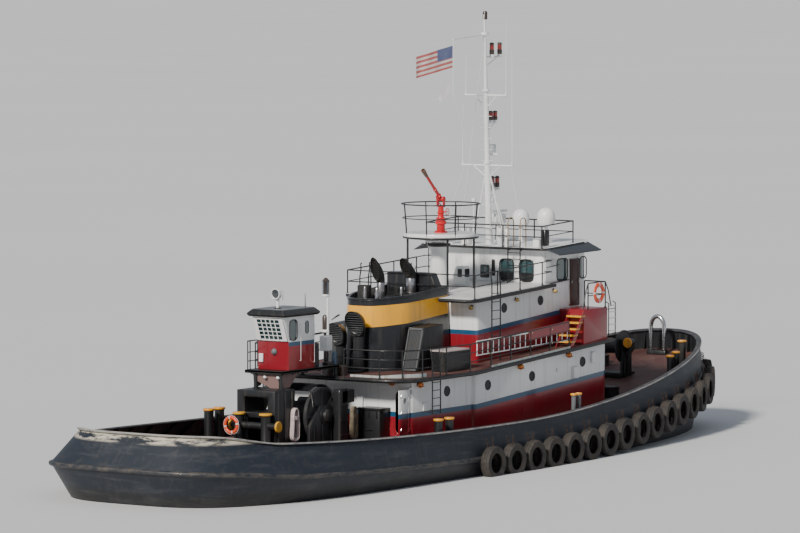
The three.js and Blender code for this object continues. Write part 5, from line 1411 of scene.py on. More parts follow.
boxes = Shape()
for x, y0, y1, z, w, h in ((4.95, -3.36, -3.25, 2.85, 0.3, 0.42), (6.2, -3.33, -3.25, 3.3, 0.22, 0.4),
                           (3.8, -3.30, -3.25, 3.02, 0.1, 0.14), (-4.5, -3.17, -3.11, 2.35, 0.25, 0.3)):
    boxes.block((x - w / 2, y0, z - h / 2), (x + w / 2, y1 - 0.001, z + h / 2), 0.012)
    boxes.block((x - w / 2, -y1 + 0.001, z - h / 2), (x + w / 2, -y0, z + h / 2), 0.012)
for y in (-1.0, 0.0, 1.0):
    boxes.block((-5.36, y - 0.12, 2.3), (-5.281, y + 0.12, 2.7), 0.012)
make("wall_boxes", boxes, "boat", [white_paint], [])

drip = Shape()
for side in (-1, 1):
    for a, b, y in ((-5.2, -1.6, 3.11), (-1.45, 6.95, 3.25)):
        steps = 8
        line = [Vector((a + (b - a) * k / steps, side * y, 0)) for k in range(steps + 1)]
        rings = []
        for p in line:
            z = deck1_z(p.x) - 0.16
            rings.append([p + Vector((0, side * o, z + h))
                          for o, h in ((0, 0), (0, 0.02), (0.022, 0.014), (0.03, 0.0), (0.022, -0.014),
                                       (0, -0.02))])
        drip.skin(rings)
make("drip_rails", drip, "boat", [white_paint], [])
print("wall fittings made")

# %% [markdown]
# Each deck ends in a heavy black pipe. The boat deck's is a closed loop along the deck's plan. The bridge
# deck's is open forward, where the pilothouse stands, so each side is a tube along its own line.


# %% Deck edge pipes
def plan(x0, x1, half, r_aft, r_fore, steps=6):
    corners = [(x1 - r_fore, half - r_fore, r_fore, 0), (x0 + r_aft, half - r_aft, r_aft, 90),
               (x0 + r_aft, r_aft - half, r_aft, 180), (x1 - r_fore, r_fore - half, r_fore, 270)]
    points = []
    for x, y, r, start in corners:
        for i in range(steps + 1):
            a = math.radians(start + 90 * i / steps)
            points.append((x + r * math.cos(a), y + r * math.sin(a)))
    return points


def subdivided(points, most):
    dense = []
    for (x0, y0), (x1, y1) in zip(points, points[1:] + points[:1]):
        count = max(1, math.ceil(math.hypot(x1 - x0, y1 - y0) / most))
        dense += [(x0 + (x1 - x0) * k / count, y0 + (y1 - y0) * k / count) for k in range(count)]
    return dense


edges = Shape()
loop = [Vector((x, y, deck1_z(x) - 0.07)) for x, y in subdivided(plan(-6.285, 7.28, 3.505, 1.2, 0.15), 0.5)]
edges.tube(loop, 0.066, 12, closed=True)
bridge_line = [(4.41, -2.79), (-0.45, -2.79), (-0.66, -2.74), (-0.82, -2.62), (-0.92, -2.42),
               (-0.93, -1.36)]
edges_bridge = [Vector((x, y, deck2_z(x) - 0.075)) for x, y in bridge_line]
edges.tube(edges_bridge, 0.06, 12)
edges.tube([Vector((p.x, -p.y, p.z)) for p in edges_bridge], 0.06, 12)
make("deck_edge_pipes", edges, "boat", [black_paint], [], 50)

# %% [markdown]
# The pilothouse roof is one thin plate that rises forward. A grey visor flares out and down from its rim
# round the front and both sides, and stops short of the aft edge, which has a black pipe.


# %% Pilothouse roof and visor
def roof_under(x):
    return 7.268 + 0.05 * (x - 4.25)


def roof_ring(grow, rise):
    """The roof's plan, grown and raised from its underside."""
    ring = subdivided(plan(3.9 - grow, 7.27 + grow, 2.73 + grow, 0.3, 0.8, 8), 0.6)
    return [Vector((x, y, roof_under(x) + rise)) for x, y in ring]


roof = Shape()
roof.skin([roof_ring(-0.01, 0.0), roof_ring(0.0, 0.01), roof_ring(0.0, 0.062), roof_ring(-0.02, 0.072)])
roof.mark = 1
VISOR = [(-0.02, 0.045), (0.38, -0.20), (0.40, -0.225), (0.38, -0.225), (-0.05, 0.0)]
FLARE = 0.7
sides = [plan(3.5, 7.27 + out * FLARE, 2.73 + out, 0.3, 0.8, 8) for out, _ in VISOR]


def visor_z(x, drop):
    """Height on the visor, which hangs lower toward the front."""
    deeper = 0.75 + 0.16 * (x - 4.2) if drop < -0.1 else 1.0
    return roof_under(x) + drop * deeper


front = [k for k, (x, y) in enumerate(sides[0]) if x > 4.0]
after = max(range(len(front)), key=lambda i: (front[i] - front[i - 1]) % len(sides[0]))
front = front[after:] + front[:after]
rings = []
for k in front:
    ring = []
    for side, (out, drop) in zip(sides, VISOR):
        x, y = side[k]
        ring.append(Vector((x, y, visor_z(x, drop))))
    rings.append(ring)
for end in (0, -1):
    tail = []
    for side, (out, drop) in zip(sides, VISOR):
        y = math.copysign(2.73 + out, rings[end][0].y)
        x = 4.02 + 0.35 * max(0.0, out)
        tail.append(Vector((x, y, visor_z(x, drop))))
    rings.insert(0 if end == 0 else len(rings), tail)
roof.skin(rings)
roof.mark = 2
roof.tube([ring[2] for ring in rings], 0.018, 8)
make("pilothouse_roof_visor", roof, "boat", [white_paint, visor_paint, black_paint],
     ["pilothouse_roof"], 35)

# %% [markdown]
# ## Rails and ladders
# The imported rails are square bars. Here the posts and bars are round pipe, swept by the pipe tree along the
# same deck edges, with a welded foot under each post.


# %% Rail builder
def rail_runs(path, heights, spacing, radius=0.024, closed=False, foot=0.0):
    """Posts and bars along a path of deck points: a post at each corner and evenly between."""
    runs, feet = [], []
    pairs = list(zip(path, path[1:] + path[:1])) if closed else list(zip(path, path[1:]))
    for h in heights:
        r = radius * (1.0 if h == heights[-1] else 0.72)
        line = [Vector(p) + Vector((0, 0, h)) for p in path]
        runs.append((line + [line[0]] if closed else line, r))
    for i, (p, q) in enumerate(pairs):
        p, q = Vector(p), Vector(q)
        steps = max(1, round((q - p).length / spacing))
        last = steps + (0 if closed or i < len(pairs) - 1 else 1)
        for k in range(last):
            at = p.lerp(q, k / steps)
            runs.append(([at - Vector((0, 0, foot)), at + Vector((0, 0, heights[-1]))], radius))
            feet.append(at)
    return runs, feet


foot_plate = Shape()
foot_plate.turned([(0.05, 0.0), (0.05, 0.008), (0.034, 0.016), (0.026, 0.05)], (0, 0, 0), UP, 10)
foot_mesh = seed_mesh("rail_foot", foot_plate)
all_feet = []

BARS = [0.34, 0.64, 0.95]
for s, label in ((-1, "starboard"), (1, "port")):
    line = [(4.28, 3.46), (-0.85, 3.46), (-2.18, 3.46), (-5.15, 3.46), (-5.82, 3.08), (-6.22, 2.41),
            (-6.24, 0.95)]
    path = [(x, s * y, deck1_z(x) + 0.001) for x, y in line]
    runs, feet = rail_runs(path, BARS, 1.38)
    all_feet += feet
    pipes("boat_rail_" + label, runs, rail_paint, "boat", 10, ["boat_deck_rail_" + label])
    board = Shape()
    section = [(-0.011, 0.615), (-0.011, 0.985), (-0.006, 0.99), (0.006, 0.99), (0.011, 0.985),
               (0.011, 0.615)]
    board.skin([[Vector((x, s * 3.46 + a, deck1_z(x) + b)) for a, b in section] for x in (1.6, 4.25)])
    make("blank_board_" + label, board, "boat", [red_paint], [])

x0, x1, y = -0.725, 3.68, 2.7
runs, feet = [], []
for s in (-1, 1):
    one, some = rail_runs([(x1, s * y, deck2_z(x1) + 0.001), (x0, s * y, deck2_z(x0) + 0.001)],
                          [0.42, 0.82], 1.5)
    runs += one
    feet += some
for h in (0.42, 0.82):
    runs.append(([(x0, -y, deck2_z(x0) + h), (x0, y, deck2_z(x0) + h)], 0.02))
    for s in (-1, 1):
        runs.append(([(x1, s * y, deck2_z(x1) + h), (4.3, s * y, deck2_z(4.3) + h),
                      (4.3, s * 2.41, deck2_z(4.3) + h)], 0.018))
all_feet += feet
pipes("bridge_rail", runs, rail_paint, "boat", 10, ["bridge_deck_rail"])

for s, label in ((-1, "starboard"), (1, "port")):
    y, z = s * 3.4, 5.0815
    runs, feet = rail_runs([(5.66, y, z), (6.84, y, z), (6.84, s * 2.52, z)], [0.48, 0.93], 0.9)
    all_feet += feet
    runs.append(([(5.66, y, z + 0.93), (5.5, y, z + 0.62), (5.33, y, z + 0.02)], 0.02))
    runs.append(([(6.84, y, z + 0.93), (7.04, y, z + 0.62), (7.24, y, z + 0.02)], 0.02))
    pipes("wing_rail_" + label + "_pipe", runs, rail_paint, "boat", 10, ["wing_rail_" + label])


def roof_z(x):
    return 7.26 + 0.05 * (x - 4.25) + 0.08


corners = [(4.0, -2.48), (6.1, -2.48), (6.1, 2.48), (4.0, 2.48)]
runs, feet = rail_runs([(x, y, roof_z(x) + 0.001) for x, y in corners], [0.40, 0.78], 1.5, closed=True)
all_feet += feet
for s in (-1, 1):
    yy = -1.40 + s * 0.26
    top = Vector((3.84, yy, 7.62))
    runs.append(([(3.84, yy, deck2_z(3.84) + 0.001), top], 0.024))
    runs.append(([(3.84, yy, roof_z(4.0) - 0.1), (3.94, yy, roof_z(4.0) - 0.1)], 0.02))
for i in range(7):
    z = deck2_z(3.84) + 0.2 + 0.225 * i
    runs.append(([(3.84, -1.66, z), (3.84, -1.14, z)], 0.013))
pipes("roof_rail_pipe", runs, rail_paint, "boat", 10, ["roof_rail"])
repeats("rail_feet", foot_mesh, [(p, (0, 0, 0), 1.0) for p in all_feet], "boat", [rail_paint], [])
print("rails made, feet:", len(all_feet))

# %% [markdown]
# Black ladders climb each side: a short one below the boat deck's edge, held off the wall by hooks, and one
# from the boat deck to the bridge deck. The stringers bend over the upper deck's edge.


# %% Side ladders, wing ladder and gangway
def side_ladder(x, half, y, out, low, high, over, rungs):
    """Stringers from low to high that curve in over the edge, and rungs; out is -1 to starboard."""
    runs = []
    for s in (-1, 1):
        xs = x + s * half
        runs.append(([(xs, y, low), (xs, y, high + 0.45), (xs, y - out * 0.05, high + 0.75),
                      (xs, y - out * over * 0.5, high + 0.93), (xs, y - out * over, high + 0.95)],
                     0.024))
    for i in range(rungs):
        z = low + 0.28 + (high - low - 0.2) * i / (rungs - 1)
        runs.append(([(x - half, y, z), (x + half, y, z)], 0.014))
    return runs


runs = []
for s in (-1, 1):
    runs += side_ladder(-4.44, 0.25, s * 3.56, s, 2.12, 3.4, 0.1, 5)
    runs += side_ladder(0.48, 0.275, s * 2.81, s, deck1_z(0.48) + 0.005, deck2_z(0.48), 0.08, 8)
    for xs in (-4.69, -4.19):
        runs.append(([(xs, s * 3.56, 2.2), (xs, s * 3.12, 2.2)], 0.014))
pipes("side_ladders", runs, rail_paint, "boat", 10, [])

runs = []
for s in (-1, 1):
    for i in range(5):
        runs.append(([(7.08, s * 3.4, 4.2 + 0.23 * i), (7.54, s * 3.4, 4.2 + 0.23 * i)], 0.014))
pipes("wing_ladder_rungs", runs, white_paint, "boat", 8, [])
runs = []
for s in (-1, 1):
    for xs in (7.08, 7.54):
        runs.append(([(xs, s * 3.4, 4.02), (xs, s * 3.4, 5.2), (xs - 0.02, s * 3.3, 5.26)], 0.02))
    runs.append(([(6.95, s * 3.4, 5.0), (7.54, s * 3.4, 5.0)], 0.014))
    runs.append(([(7.28, s * 3.45, 4.12), (7.54, s * 3.4, 4.12)], 0.014))
pipes("wing_ladder_sides", runs, rail_paint, "boat", 8, [])

gang_y = -3.40
runs = []


def gang_low(x):
    return 3.93 + (x + 1.75) / 6.0 * 0.13


for rise in (0.0, 0.48):
    runs.append(([(-1.68, gang_y, gang_low(-1.68) + rise), (4.28, gang_y, gang_low(4.28) + rise)], 0.024))
for i in range(18):
    x = -1.65 + 5.9 * i / 17
    runs.append(([(x, gang_y, gang_low(x)), (x, gang_y, gang_low(x) + 0.48)], 0.018))
pipes("gangway_pipe", runs, white_paint, "boat", 10, ["gangway"])
lash = Shape()
for x in (-0.85, 1.80, 3.12):
    for dz in (0.0, 0.48):
        z = gang_low(x) + dz
        lash.tube([Vector((x + 0.01 * math.sin(3 * a), -3.43 + 0.068 * math.cos(a),
                           z + 0.04 * math.sin(a))) for a in angles(16)], 0.009, 6, closed=True)
make("gangway_lashings", lash, "boat", [tan_rope], [], 60)

toe = Shape()
section = [(-0.01, 0.005), (-0.01, 0.075), (0.01, 0.075), (0.01, 0.005)]
for s in (-1, 1):
    toe.skin([[Vector((x, s * 3.50 + a, deck1_z(x) + b)) for a, b in section] for x in (-0.85, 4.3)])
for s in (-1, 1):
    line = [(-4.85, 3.425), (-5.13, 3.425), (-5.80, 3.045), (-6.19, 2.40), (-6.21, 1.2)]
    rings = []
    for x, y in line:
        z = deck1_z(x)
        tall = 0.15 if x > -6.0 else 0.10
        rings.append([Vector((x + 0.3 * a, s * (y + a), z + b))
                      for a, b in ((-0.006, 0.02), (-0.006, tall), (0.006, tall), (0.006, 0.02))])
    toe.skin(rings)
toe_grey = enamel("toe_board_pale_grey_enamel", (0.42, 0.46, 0.45), coat=0.1, roughness=0.5, streaks=0.4)
make("toe_boards", toe, "boat", [toe_grey], [])

for s, label in ((-1, "starboard"), (1, "port")):
    refined("bridge_wing_" + label, "boat", [red_paint], 0.01, 2)
    treads = Shape()
    foot, rise, run = deck1_z(4.33), (5.08 - deck1_z(4.33)) / 6, (5.3 - 4.33) / 6
    for i in range(1, 6):
        x, z = 4.33 + i * run, foot + i * rise
        treads.block((x - 0.045, s * 2.83, z - 0.035), (x + 0.235, s * 3.46, z + 0.008), 0.006)
        treads.mark = 1
        treads.block((x - 0.055, s * 2.83, z - 0.05), (x - 0.03, s * 3.46, z + 0.012), 0.004)
        treads.mark = 0
    make("stair_treads_" + label, treads, "boat", [stair_yellow, yellow_paint], [])
print("ladders, gangway and stairs made")

# %% [markdown]
# ## Stack casing and exhausts
# The casing is rolled plate that leans inward, round at its aft corners, with a coaming that rises round a
# tray. It is lofted from a rounded plan. Two bright exhaust pipes stand in the tray; each ends in a black
# quill-cut nozzle whose long oval mouth faces aft behind a grille.


# %% Casing
BASE = [(-0.12, 1.35), (-2.75, 1.33), (-3.75, 0.86), (-4.1, 0.5)]
TOP = [(-0.12, 1.22), (-2.7, 1.18), (-3.56, 0.76), (-3.9, 0.42)]
both = [BASE + [(x, -y) for x, y in reversed(BASE)], TOP + [(x, -y) for x, y in reversed(TOP)]]
RADII = [0.16, 0.22, 0.42, 0.34, 0.34, 0.42, 0.22, 0.16]
foot_plan, head_plan = [rounded_polygon(points, RADII) for points in both]


def head_rise(x):
    """How much the casing's head climbs forward of its aft end."""
    return 0.075 * (x + 4.0)


def casing_ring(t):
    """The casing's outline between its foot, at 0, and its head, at 1."""
    return [Vector((a.x, a.y, 3.38)).lerp(Vector((b.x, b.y, 5.87 + head_rise(b.x))), t)
            for a, b in zip(foot_plan, head_plan)]


def top_ring(inset, z):
    """The head's outline drawn in toward its middle."""
    centre = Vector((-2.0, 0))
    ring = []
    for p in head_plan:
        away = p - centre
        q = centre + away * (1 - inset / away.length)
        ring.append(Vector((q.x, q.y, z + head_rise(q.x))))
    return ring


casing = Shape()
rings = [casing_ring(k / 8) for k in range(9)]
for inset, z in ((0.004, 5.89), (0.03, 5.902), (0.07, 5.902), (0.09, 5.89), (0.1, 5.86), (0.1, 5.66),
                 (0.12, 5.64)):
    rings.append(top_ring(inset, z))
casing.skin(rings)
rings = []
for z, narrow in ((5.6, 0.0), (5.85, 0.0), (6.54, 1.0), (6.60, 1.05), (6.63, 1.25)):
    inset = 0.0 if z < 6.56 else 0.4 * (z - 6.56)
    corners = [(-0.64 + inset, 1.08), (-0.19 - inset, 1.08), (-0.19 - inset, -1.15 + 0.32 * narrow),
               (-0.64 + inset, -1.15 + 0.32 * narrow)]
    rings.append(rounded_level(corners, [0.05, 0.12, 0.12, 0.05], 4, z))
casing.skin(rings)
band = Shape()
band.tube(casing_ring(0.985), 0.022, 8, closed=True)
make("stack_plating", casing, "boat", [stack_paint], ["stack_casing"], 45)
make("stack_rim_bead", band, "boat", [black_paint], [], 60)

# %% Exhaust pipes
pipes_shape = Shape()
TURN = angles(32)
for x, y, r, z, foot, head, wide in ((-2.6, 0.0, 0.14, 6.44, (-2.83, 6.46), (-3.09, 7.30), 0.165),
                                     (-0.88, -0.12, 0.178, 6.5, (-1.08, 6.52), (-1.42, 7.19), 0.20)):
    z0 = 5.69 + head_rise(x)
    pipes_shape.mark = 0
    pipes_shape.turned([(r + 0.05, z0), (r + 0.05, z0 + 0.03), (r, z0 + 0.035), (r, z0 + 0.24),
                        (r + 0.012, z0 + 0.25), (r + 0.012, z0 + 0.28), (r, z0 + 0.29), (r, z - 0.03),
                        (r - 0.02, z)], (x, y, 0), UP, 28)
    pipes_shape.mark = 1
    low, high = Vector((foot[0], y, foot[1])), Vector((head[0], y, head[1]))
    centre, half, slope = (low + high) / 2, (high - low).length / 2, (high - low).normalized()
    rings = []
    for step in range(9):
        t = step / 8
        ring = []
        for a in TURN:
            start = Vector((x + r * 1.04 * math.cos(a), y + r * 1.04 * math.sin(a), z - 0.05))
            end = centre + slope * half * math.cos(a) + Vector((0, wide * math.sin(a), 0))
            bend = Vector((start.x, y + max(r, wide) * 1.05 * math.sin(a),
                           start.z + 0.62 * (end.z - start.z)))
            ring.append(curved(start, bend, end, t))
        rings.append(ring)
    facing = Vector((-slope.z, 0, slope.x))
    for grow, depth in ((1.0, 0.012), (0.93, 0.014), (0.90, -0.01), (0.84, -0.09)):
        rings.append([centre + slope * half * grow * math.cos(a) + Vector((0, wide * grow * math.sin(a), 0))
                      + facing * depth for a in TURN])
    pipes_shape.skin(rings)
    for k in range(-4, 5):
        at = centre + slope * half * 0.2 * k - facing * 0.012
        reach = wide * 0.9 * math.sqrt(max(0.05, 1 - (0.2 * k) ** 2))
        pipes_shape.tube([at + Vector((0, -reach, 0)), at + Vector((0, reach, 0))], 0.008, 6)
    for k in (-1, 0, 1):
        at = centre + Vector((0, wide * 0.42 * k, 0)) - facing * 0.016
        reach = half * 0.88 * math.sqrt(1 - (0.42 * k) ** 2)
        pipes_shape.tube([at - slope * reach, at + slope * reach], 0.007, 6)
for x, y, r, z in ((-3.55, 0.02, 0.055, 6.30), (-3.35, -0.35, 0.07, 6.27), (-1.76, -0.30, 0.06, 6.20)):
    z0 = 5.69 + head_rise(x)
    pipes_shape.mark = 0
    pipes_shape.turned([(r + 0.035, z0), (r + 0.035, z0 + 0.02), (r + 0.01, z0 + 0.025),
                        (r + 0.01, z - 0.2), (r - 0.01, z - 0.12), (r - 0.01, z - 0.02), (r * 0.6, z)],
                       (x, y, 0), UP, 20)
pipes_shape.mark = 1
base = [(-3.3, 5.673), (-0.76, 5.864)]
pipes_shape.skin([[Vector((x, y, z + rise))
                   for y, rise in ((0.3, 0.0), (0.3, 0.055), (-0.3, 0.055), (-0.3, 0.0))]
                  for x, z in base])
pipes_shape.block((-3.05, 0.28, 5.75), (-2.75, 0.7, 6.30), 0.03)
pipes_shape.block((-2.2, 0.5, 5.84), (-1.5, 0.9, 6.12), 0.03)
for y in (-0.03, 0.19):
    pipes_shape.block((-0.42, y - 0.015, 6.62), (-0.38, y + 0.015, 6.96), 0.005)
pipes_shape.block((-0.43, -0.05, 6.60), (-0.37, 0.21, 6.63), 0.005)
pipes_shape.mark = 2
pipes_shape.turned([(0.05, 0.0), (0.085, 0.04), (0.095, 0.12), (0.095, 0.16), (0.0, 0.165)],
                   (-0.34, 0.08, 6.80), (-1, 0, -0.2), 20)
make("exhaust_pipes", pipes_shape, "boat", [exhaust_steel, soot_black, white_paint], ["exhausts"],
     45)
print("casing and exhausts made")

# %% [markdown]
# Cowl ventilators are bent pipes with a bell mouth, so that wind blows down them. Each ring of the bend is
# blended from the round neck to the oval mouth along a curve, and the mouth ends in a rolled lip.

# %% Cowl ventilators
cowl = Shape()
cowl.block((-4.91, -0.56, 3.405), (-4.39, 0.76, 3.48), 0.02)
GRILLE = []
STEM_X = -4.42
for y, x, z, wide, tall, neck in ((-0.32, -4.66, 5.13, 0.37, 0.45, 0.2),
                                  (0.44, -4.72, 4.76, 0.34, 0.38, 0.19)):
    cowl.turned([(neck + 0.05, 3.47), (neck + 0.05, 3.5), (neck, 3.51), (neck, 3.9),
                 (neck + 0.025, 3.92), (neck + 0.025, 3.97), (neck, 3.99), (neck, z - 0.48)],
                (STEM_X, y, 0), UP, 28)
    facing = Vector((-0.90, 0, -0.43)).normalized()
    upward = Vector((-0.43, 0, 0.90)).normalized()
    mouth = Vector((x, y, z))
    rings = []
    for step in range(9):
        t = step / 8
        ring = []
        for a in TURN:
            start = Vector((STEM_X + neck * math.cos(a), y + neck * math.sin(a), z - 0.5))
            end = mouth + upward * tall * math.cos(a) + Vector((0, wide * math.sin(a), 0))
            lift = 0.95 if math.cos(a) > 0 else 0.55
            bend = Vector((start.x + 0.12 * math.cos(a), y + wide * 0.9 * math.sin(a),
                           start.z + lift * (end.z - start.z)))
            ring.append(curved(start, bend, end, t))
        rings.append(ring)
    for grow, depth in ((1.03, 0.02), (1.03, 0.045), (0.99, 0.055), (0.94, 0.04), (0.9, -0.02),
                        (0.7, -0.2)):
        rings.append([mouth + upward * tall * grow * math.cos(a) + Vector((0, wide * grow * math.sin(a), 0))
                      + facing * depth for a in TURN])
    cowl.skin(rings)
    for k in range(-4, 5):
        at = mouth + upward * tall * 0.2 * k + facing * 0.03
        reach = wide * 0.93 * math.sqrt(max(0.05, 1 - (0.2 * k) ** 2))
        GRILLE.append(([at - Vector((0, reach, 0)), at + Vector((0, reach, 0))], 0.008))
cowl.skin([[Vector((-5.0, 0.42, 5.20)), Vector((-5.0, 0.46, 5.20)), Vector((-4.98, 0.44, 5.21))],
           [Vector((-4.66, 0.30, 5.36)), Vector((-4.66, 0.44, 5.36)), Vector((-4.62, 0.36, 5.40))]])
make("cowls", cowl, "boat", [black_paint], ["cowl_ventilators"], 40)
pipes("cowl_grilles", GRILLE, grey_paint, "boat", 8, [])

# %% [markdown]
# The vent trunks lean against the casing. Their slanted aft face is a grey panel of upright louvres, and
# their black sides end in an open hood. Slats are one seed bar repeated across the panel.

# %% Vent trunks and deck locker
slat = Shape()
slat_section = [(0.0, -0.024), (-0.035, 0.0), (-0.035, 0.008), (0.0, 0.004)]
slat.skin([[Vector((x, y, z)) for x, y in slat_section] for z in (0, 1)])
louvre_paint = enamel("louvre_dark_grey_enamel", (0.075, 0.08, 0.085), coat=0.1, roughness=0.5, streaks=0.4)
for s, label in ((-1, "starboard"), (1, "port")):
    refined("vent_trunk_" + label, "boat", [black_paint], 0.012, 2)
    low, high = Vector((-3.38 + 0.56 * 0.42 / 1.9, 0, 3.42)), Vector((-2.82, 0, 4.88))
    panel = Shape()
    tilt = math.atan2(high.x - low.x, high.z - low.z)
    rise = (high - low).normalized()
    normal = Vector((-rise.z, 0, rise.x))
    edge0, edge1 = sorted((s * 1.36, s * 1.97))
    for y0, y1 in ((edge0, edge0 + 0.05), (edge1 - 0.05, edge1)):
        section = [(y0, 0.0), (y0, 0.05), (y1, 0.05), (y1, 0.0)]
        panel.skin([[end + Vector((0, y, 0)) + normal * d for y, d in section] for end in (low, high)])
    for t in (0.0, 0.95):
        base = low.lerp(high, t)
        panel.skin([[base + rise * a + Vector((0, y, 0)) + normal * d
                     for a, d in ((0.0, 0.0), (0.0, 0.05), (0.07, 0.05), (0.07, 0.0))]
                    for y in (edge0, edge1)])
    make("louvre_frame_" + label, panel, "boat", [louvre_paint], [])
    places = [(low + Vector((0, edge0 + 0.075 + 0.0575 * k, 0)) + rise * 0.06, (0, tilt, 0),
               (1, 1, (high - low).length - 0.14)) for k in range(9)]
    repeats("louvre_slats_" + label, seed_mesh("slat_" + label, slat), places, "boat", [louvre_paint],
            [])

locker = Shape()
LOCKER_AFT, LOCKER_FORE = -2.88, -1.40
locker.block((LOCKER_AFT, -2.95, deck1_z(LOCKER_FORE) - 0.02), (LOCKER_FORE, -2.30, 4.09), 0.02)
for k in range(6):
    y = -2.90 + 0.11 * k
    locker.block((LOCKER_AFT - 0.018, y - 0.02, 3.50), (LOCKER_AFT + 0.01, y + 0.02, 4.06), 0.006)
for x in (-2.6, -1.7):
    locker.tube([(x - 0.08, -2.95, 4.0), (x - 0.08, -2.99, 4.0), (x + 0.08, -2.99, 4.0),
                 (x + 0.08, -2.95, 4.0)], 0.009, 8)
locker.mark = 1
locker.block((LOCKER_AFT - 0.03, -2.98, 4.09), (LOCKER_FORE + 0.03, -2.27, 4.15), 0.02)
lid_white = enamel("locker_lid_pinkish_white", (0.42, 0.36, 0.35), coat=0.1, roughness=0.5, streaks=0.4)
make("deck_box", locker, "boat", [black_paint, lid_white], ["deck_locker"])
print("vents and locker made")

# %% [markdown]
# ## Fire monitor and its platform
# A white column carries a round platform with a black rim, four black legs and a flared guard of two hoops.
# The red monitor turns on a flange: a swivel with cheeks and a hand wheel, and a barrel that elevates.

# %% Platform
MX, FLOOR_Z, RIM_R = 1.2, 7.95, 1.34
disc = Shape()
disc.turned([(0.36, FLOOR_Z - 0.19), (RIM_R - 0.07, FLOOR_Z - 0.185), (RIM_R - 0.02, FLOOR_Z - 0.15),
             (RIM_R - 0.005, FLOOR_Z - 0.02), (RIM_R - 0.02, FLOOR_Z)], (MX, 0, 0), UP, 64)
COLUMN_X = 1.08
disc.turned([(0.40, deck2_z(MX) + 0.006), (0.40, deck2_z(MX) + 0.04), (0.35, deck2_z(MX) + 0.05),
             (0.335, 6.5), (0.30, 6.85), (0.275, 7.12), (0.285, 7.25), (0.33, 7.38), (0.405, 7.47),
             (0.0, 7.475)], (COLUMN_X, 0, 0), UP, 40)
disc.turned([(0.15, 7.575), (0.14, 7.63)], (COLUMN_X, 0, 0), UP, 32)
disc.turned([(0.0, 7.625), (0.46, 7.63), (0.5, 7.64), (0.5, 7.68), (0.42, 7.70), (0.36, 7.765)],
            (COLUMN_X, 0, 0), UP, 40)
disc.mark = 2
disc.turned([(0.24, 7.949), (0.24, 7.98), (0.155, 7.99), (0.145, 8.23), (0.2, 8.26), (0.2, 8.355)],
            (MX, 0, 0), UP, 32)
for a in angles(8):
    disc.turned([(0.018, 7.978), (0.018, 8.008), (0.0, 8.013)],
                (MX + 0.2 * math.cos(a), 0.2 * math.sin(a), 0), UP, 6)
disc.mark = 0
for k in range(6):
    a = math.pi / 6 + k * math.pi / 3
    c, s = math.cos(a), math.sin(a)
    disc.skin([[Vector((MX + r * c + o * s, r * s - o * c, z))
                for r, z in ((0.42, 7.66), (0.5, 7.762), (1.15, 7.762), (1.15, 7.74))]
               for o in (-0.008, 0.008)])
disc.mark = 1
disc.turned([(0.41, 7.47), (0.425, 7.485), (0.425, 7.565), (0.41, 7.58)], (COLUMN_X, 0, 0), UP, 40)
disc.tube([Vector((MX + (RIM_R - 0.01) * math.cos(a), (RIM_R - 0.01) * math.sin(a), FLOOR_Z - 0.155))
           for a in angles(64)], 0.035, 10, closed=True)
make("monitor_deck", disc, "boat", [white_paint, rail_paint, bright_red_paint], ["monitor_platform"],
     45)

runs = []
for h, r in ((0.53, RIM_R + 0.02), (1.03, RIM_R + 0.06)):
    circle = [Vector((MX + r * math.cos(a), r * math.sin(a), FLOOR_Z + h)) for a in
              [2 * math.pi * k / 64 for k in range(65)]]
    runs.append((circle, 0.024 if h > 0.9 else 0.018))
for i in range(16):
    a = (i + 0.5) * 2 * math.pi / 16
    c, s = math.cos(a), math.sin(a)
    if i % 2 == 0:
        foot, head = RIM_R - 0.03, RIM_R + 0.06
        runs.append(([Vector((MX + foot * c, foot * s, FLOOR_Z - 0.1)),
                      Vector((MX + head * c, head * s, FLOOR_Z + 1.03))], 0.022))
for a in (-0.85, 0.85):
    for b in (-0.85, 0.85):
        runs.append(([Vector((MX + a, b, deck2_z(MX + a) + 0.001)),
                      Vector((MX + a, b, FLOOR_Z - 0.15))], 0.04))
for y in (0.95, 1.25):
    runs.append(([Vector((MX + 1.1, y, deck2_z(MX + 1.1) + 0.001)),
                  Vector((MX + 1.1, y, FLOOR_Z - 0.02))], 0.018))
for k in range(8):
    z = deck2_z(MX + 1.1) + 0.25 + 0.22 * k
    runs.append(([Vector((MX + 1.1, 0.95, z)), Vector((MX + 1.1, 1.25, z))], 0.011))
pipes("monitor_guard", runs, rail_paint, "boat", 10, [])

# %% Monitor
swivel = Shape()
swivel.turned([(0.172, 8.36), (0.172, 8.4), (0.12, 8.41), (0.12, 8.43), (0.172, 8.44), (0.172, 8.475),
               (0.12, 8.485), (0.105, 8.52), (0.105, 8.62), (0.135, 8.64), (0.135, 8.68), (0.105, 8.7),
               (0.10, 8.86), (0.12, 8.88), (0.0, 8.9)], (MX, 0, 0), UP, 32)
for k in range(8):
    a = 2 * math.pi * (k + 0.5) / 8
    swivel.turned([(0.0, 8.35), (0.016, 8.36), (0.016, 8.49), (0.0, 8.495)],
                  (MX + 0.148 * math.cos(a), 0.148 * math.sin(a), 0), UP, 6)
swivel.block((MX - 0.075, -0.15, 8.86), (MX + 0.075, 0.15, 8.93), 0.015)
for s in (-1, 1):
    swivel.block((MX - 0.07, s * 0.112, 8.86), (MX + 0.07, s * 0.15, 9.15), 0.012)
    swivel.turned([(0.09, 0.0), (0.095, 0.008), (0.09, 0.036), (0.05, 0.042), (0.05, 0.055),
                   (0.0, 0.058)], (MX, s * 0.112, 9.15), (0, s, 0), 24)
wheel_centre = Vector((MX + 0.02, -0.26, 8.7))
swivel.tube([wheel_centre + Vector((0.12 * math.cos(a), 0, 0.12 * math.sin(a))) for a in
             angles(24)], 0.012, 8, closed=True)
for a in angles(3):
    swivel.tube([wheel_centre, wheel_centre + Vector((0.12 * math.cos(a), 0, 0.12 * math.sin(a)))],
                0.008, 6)
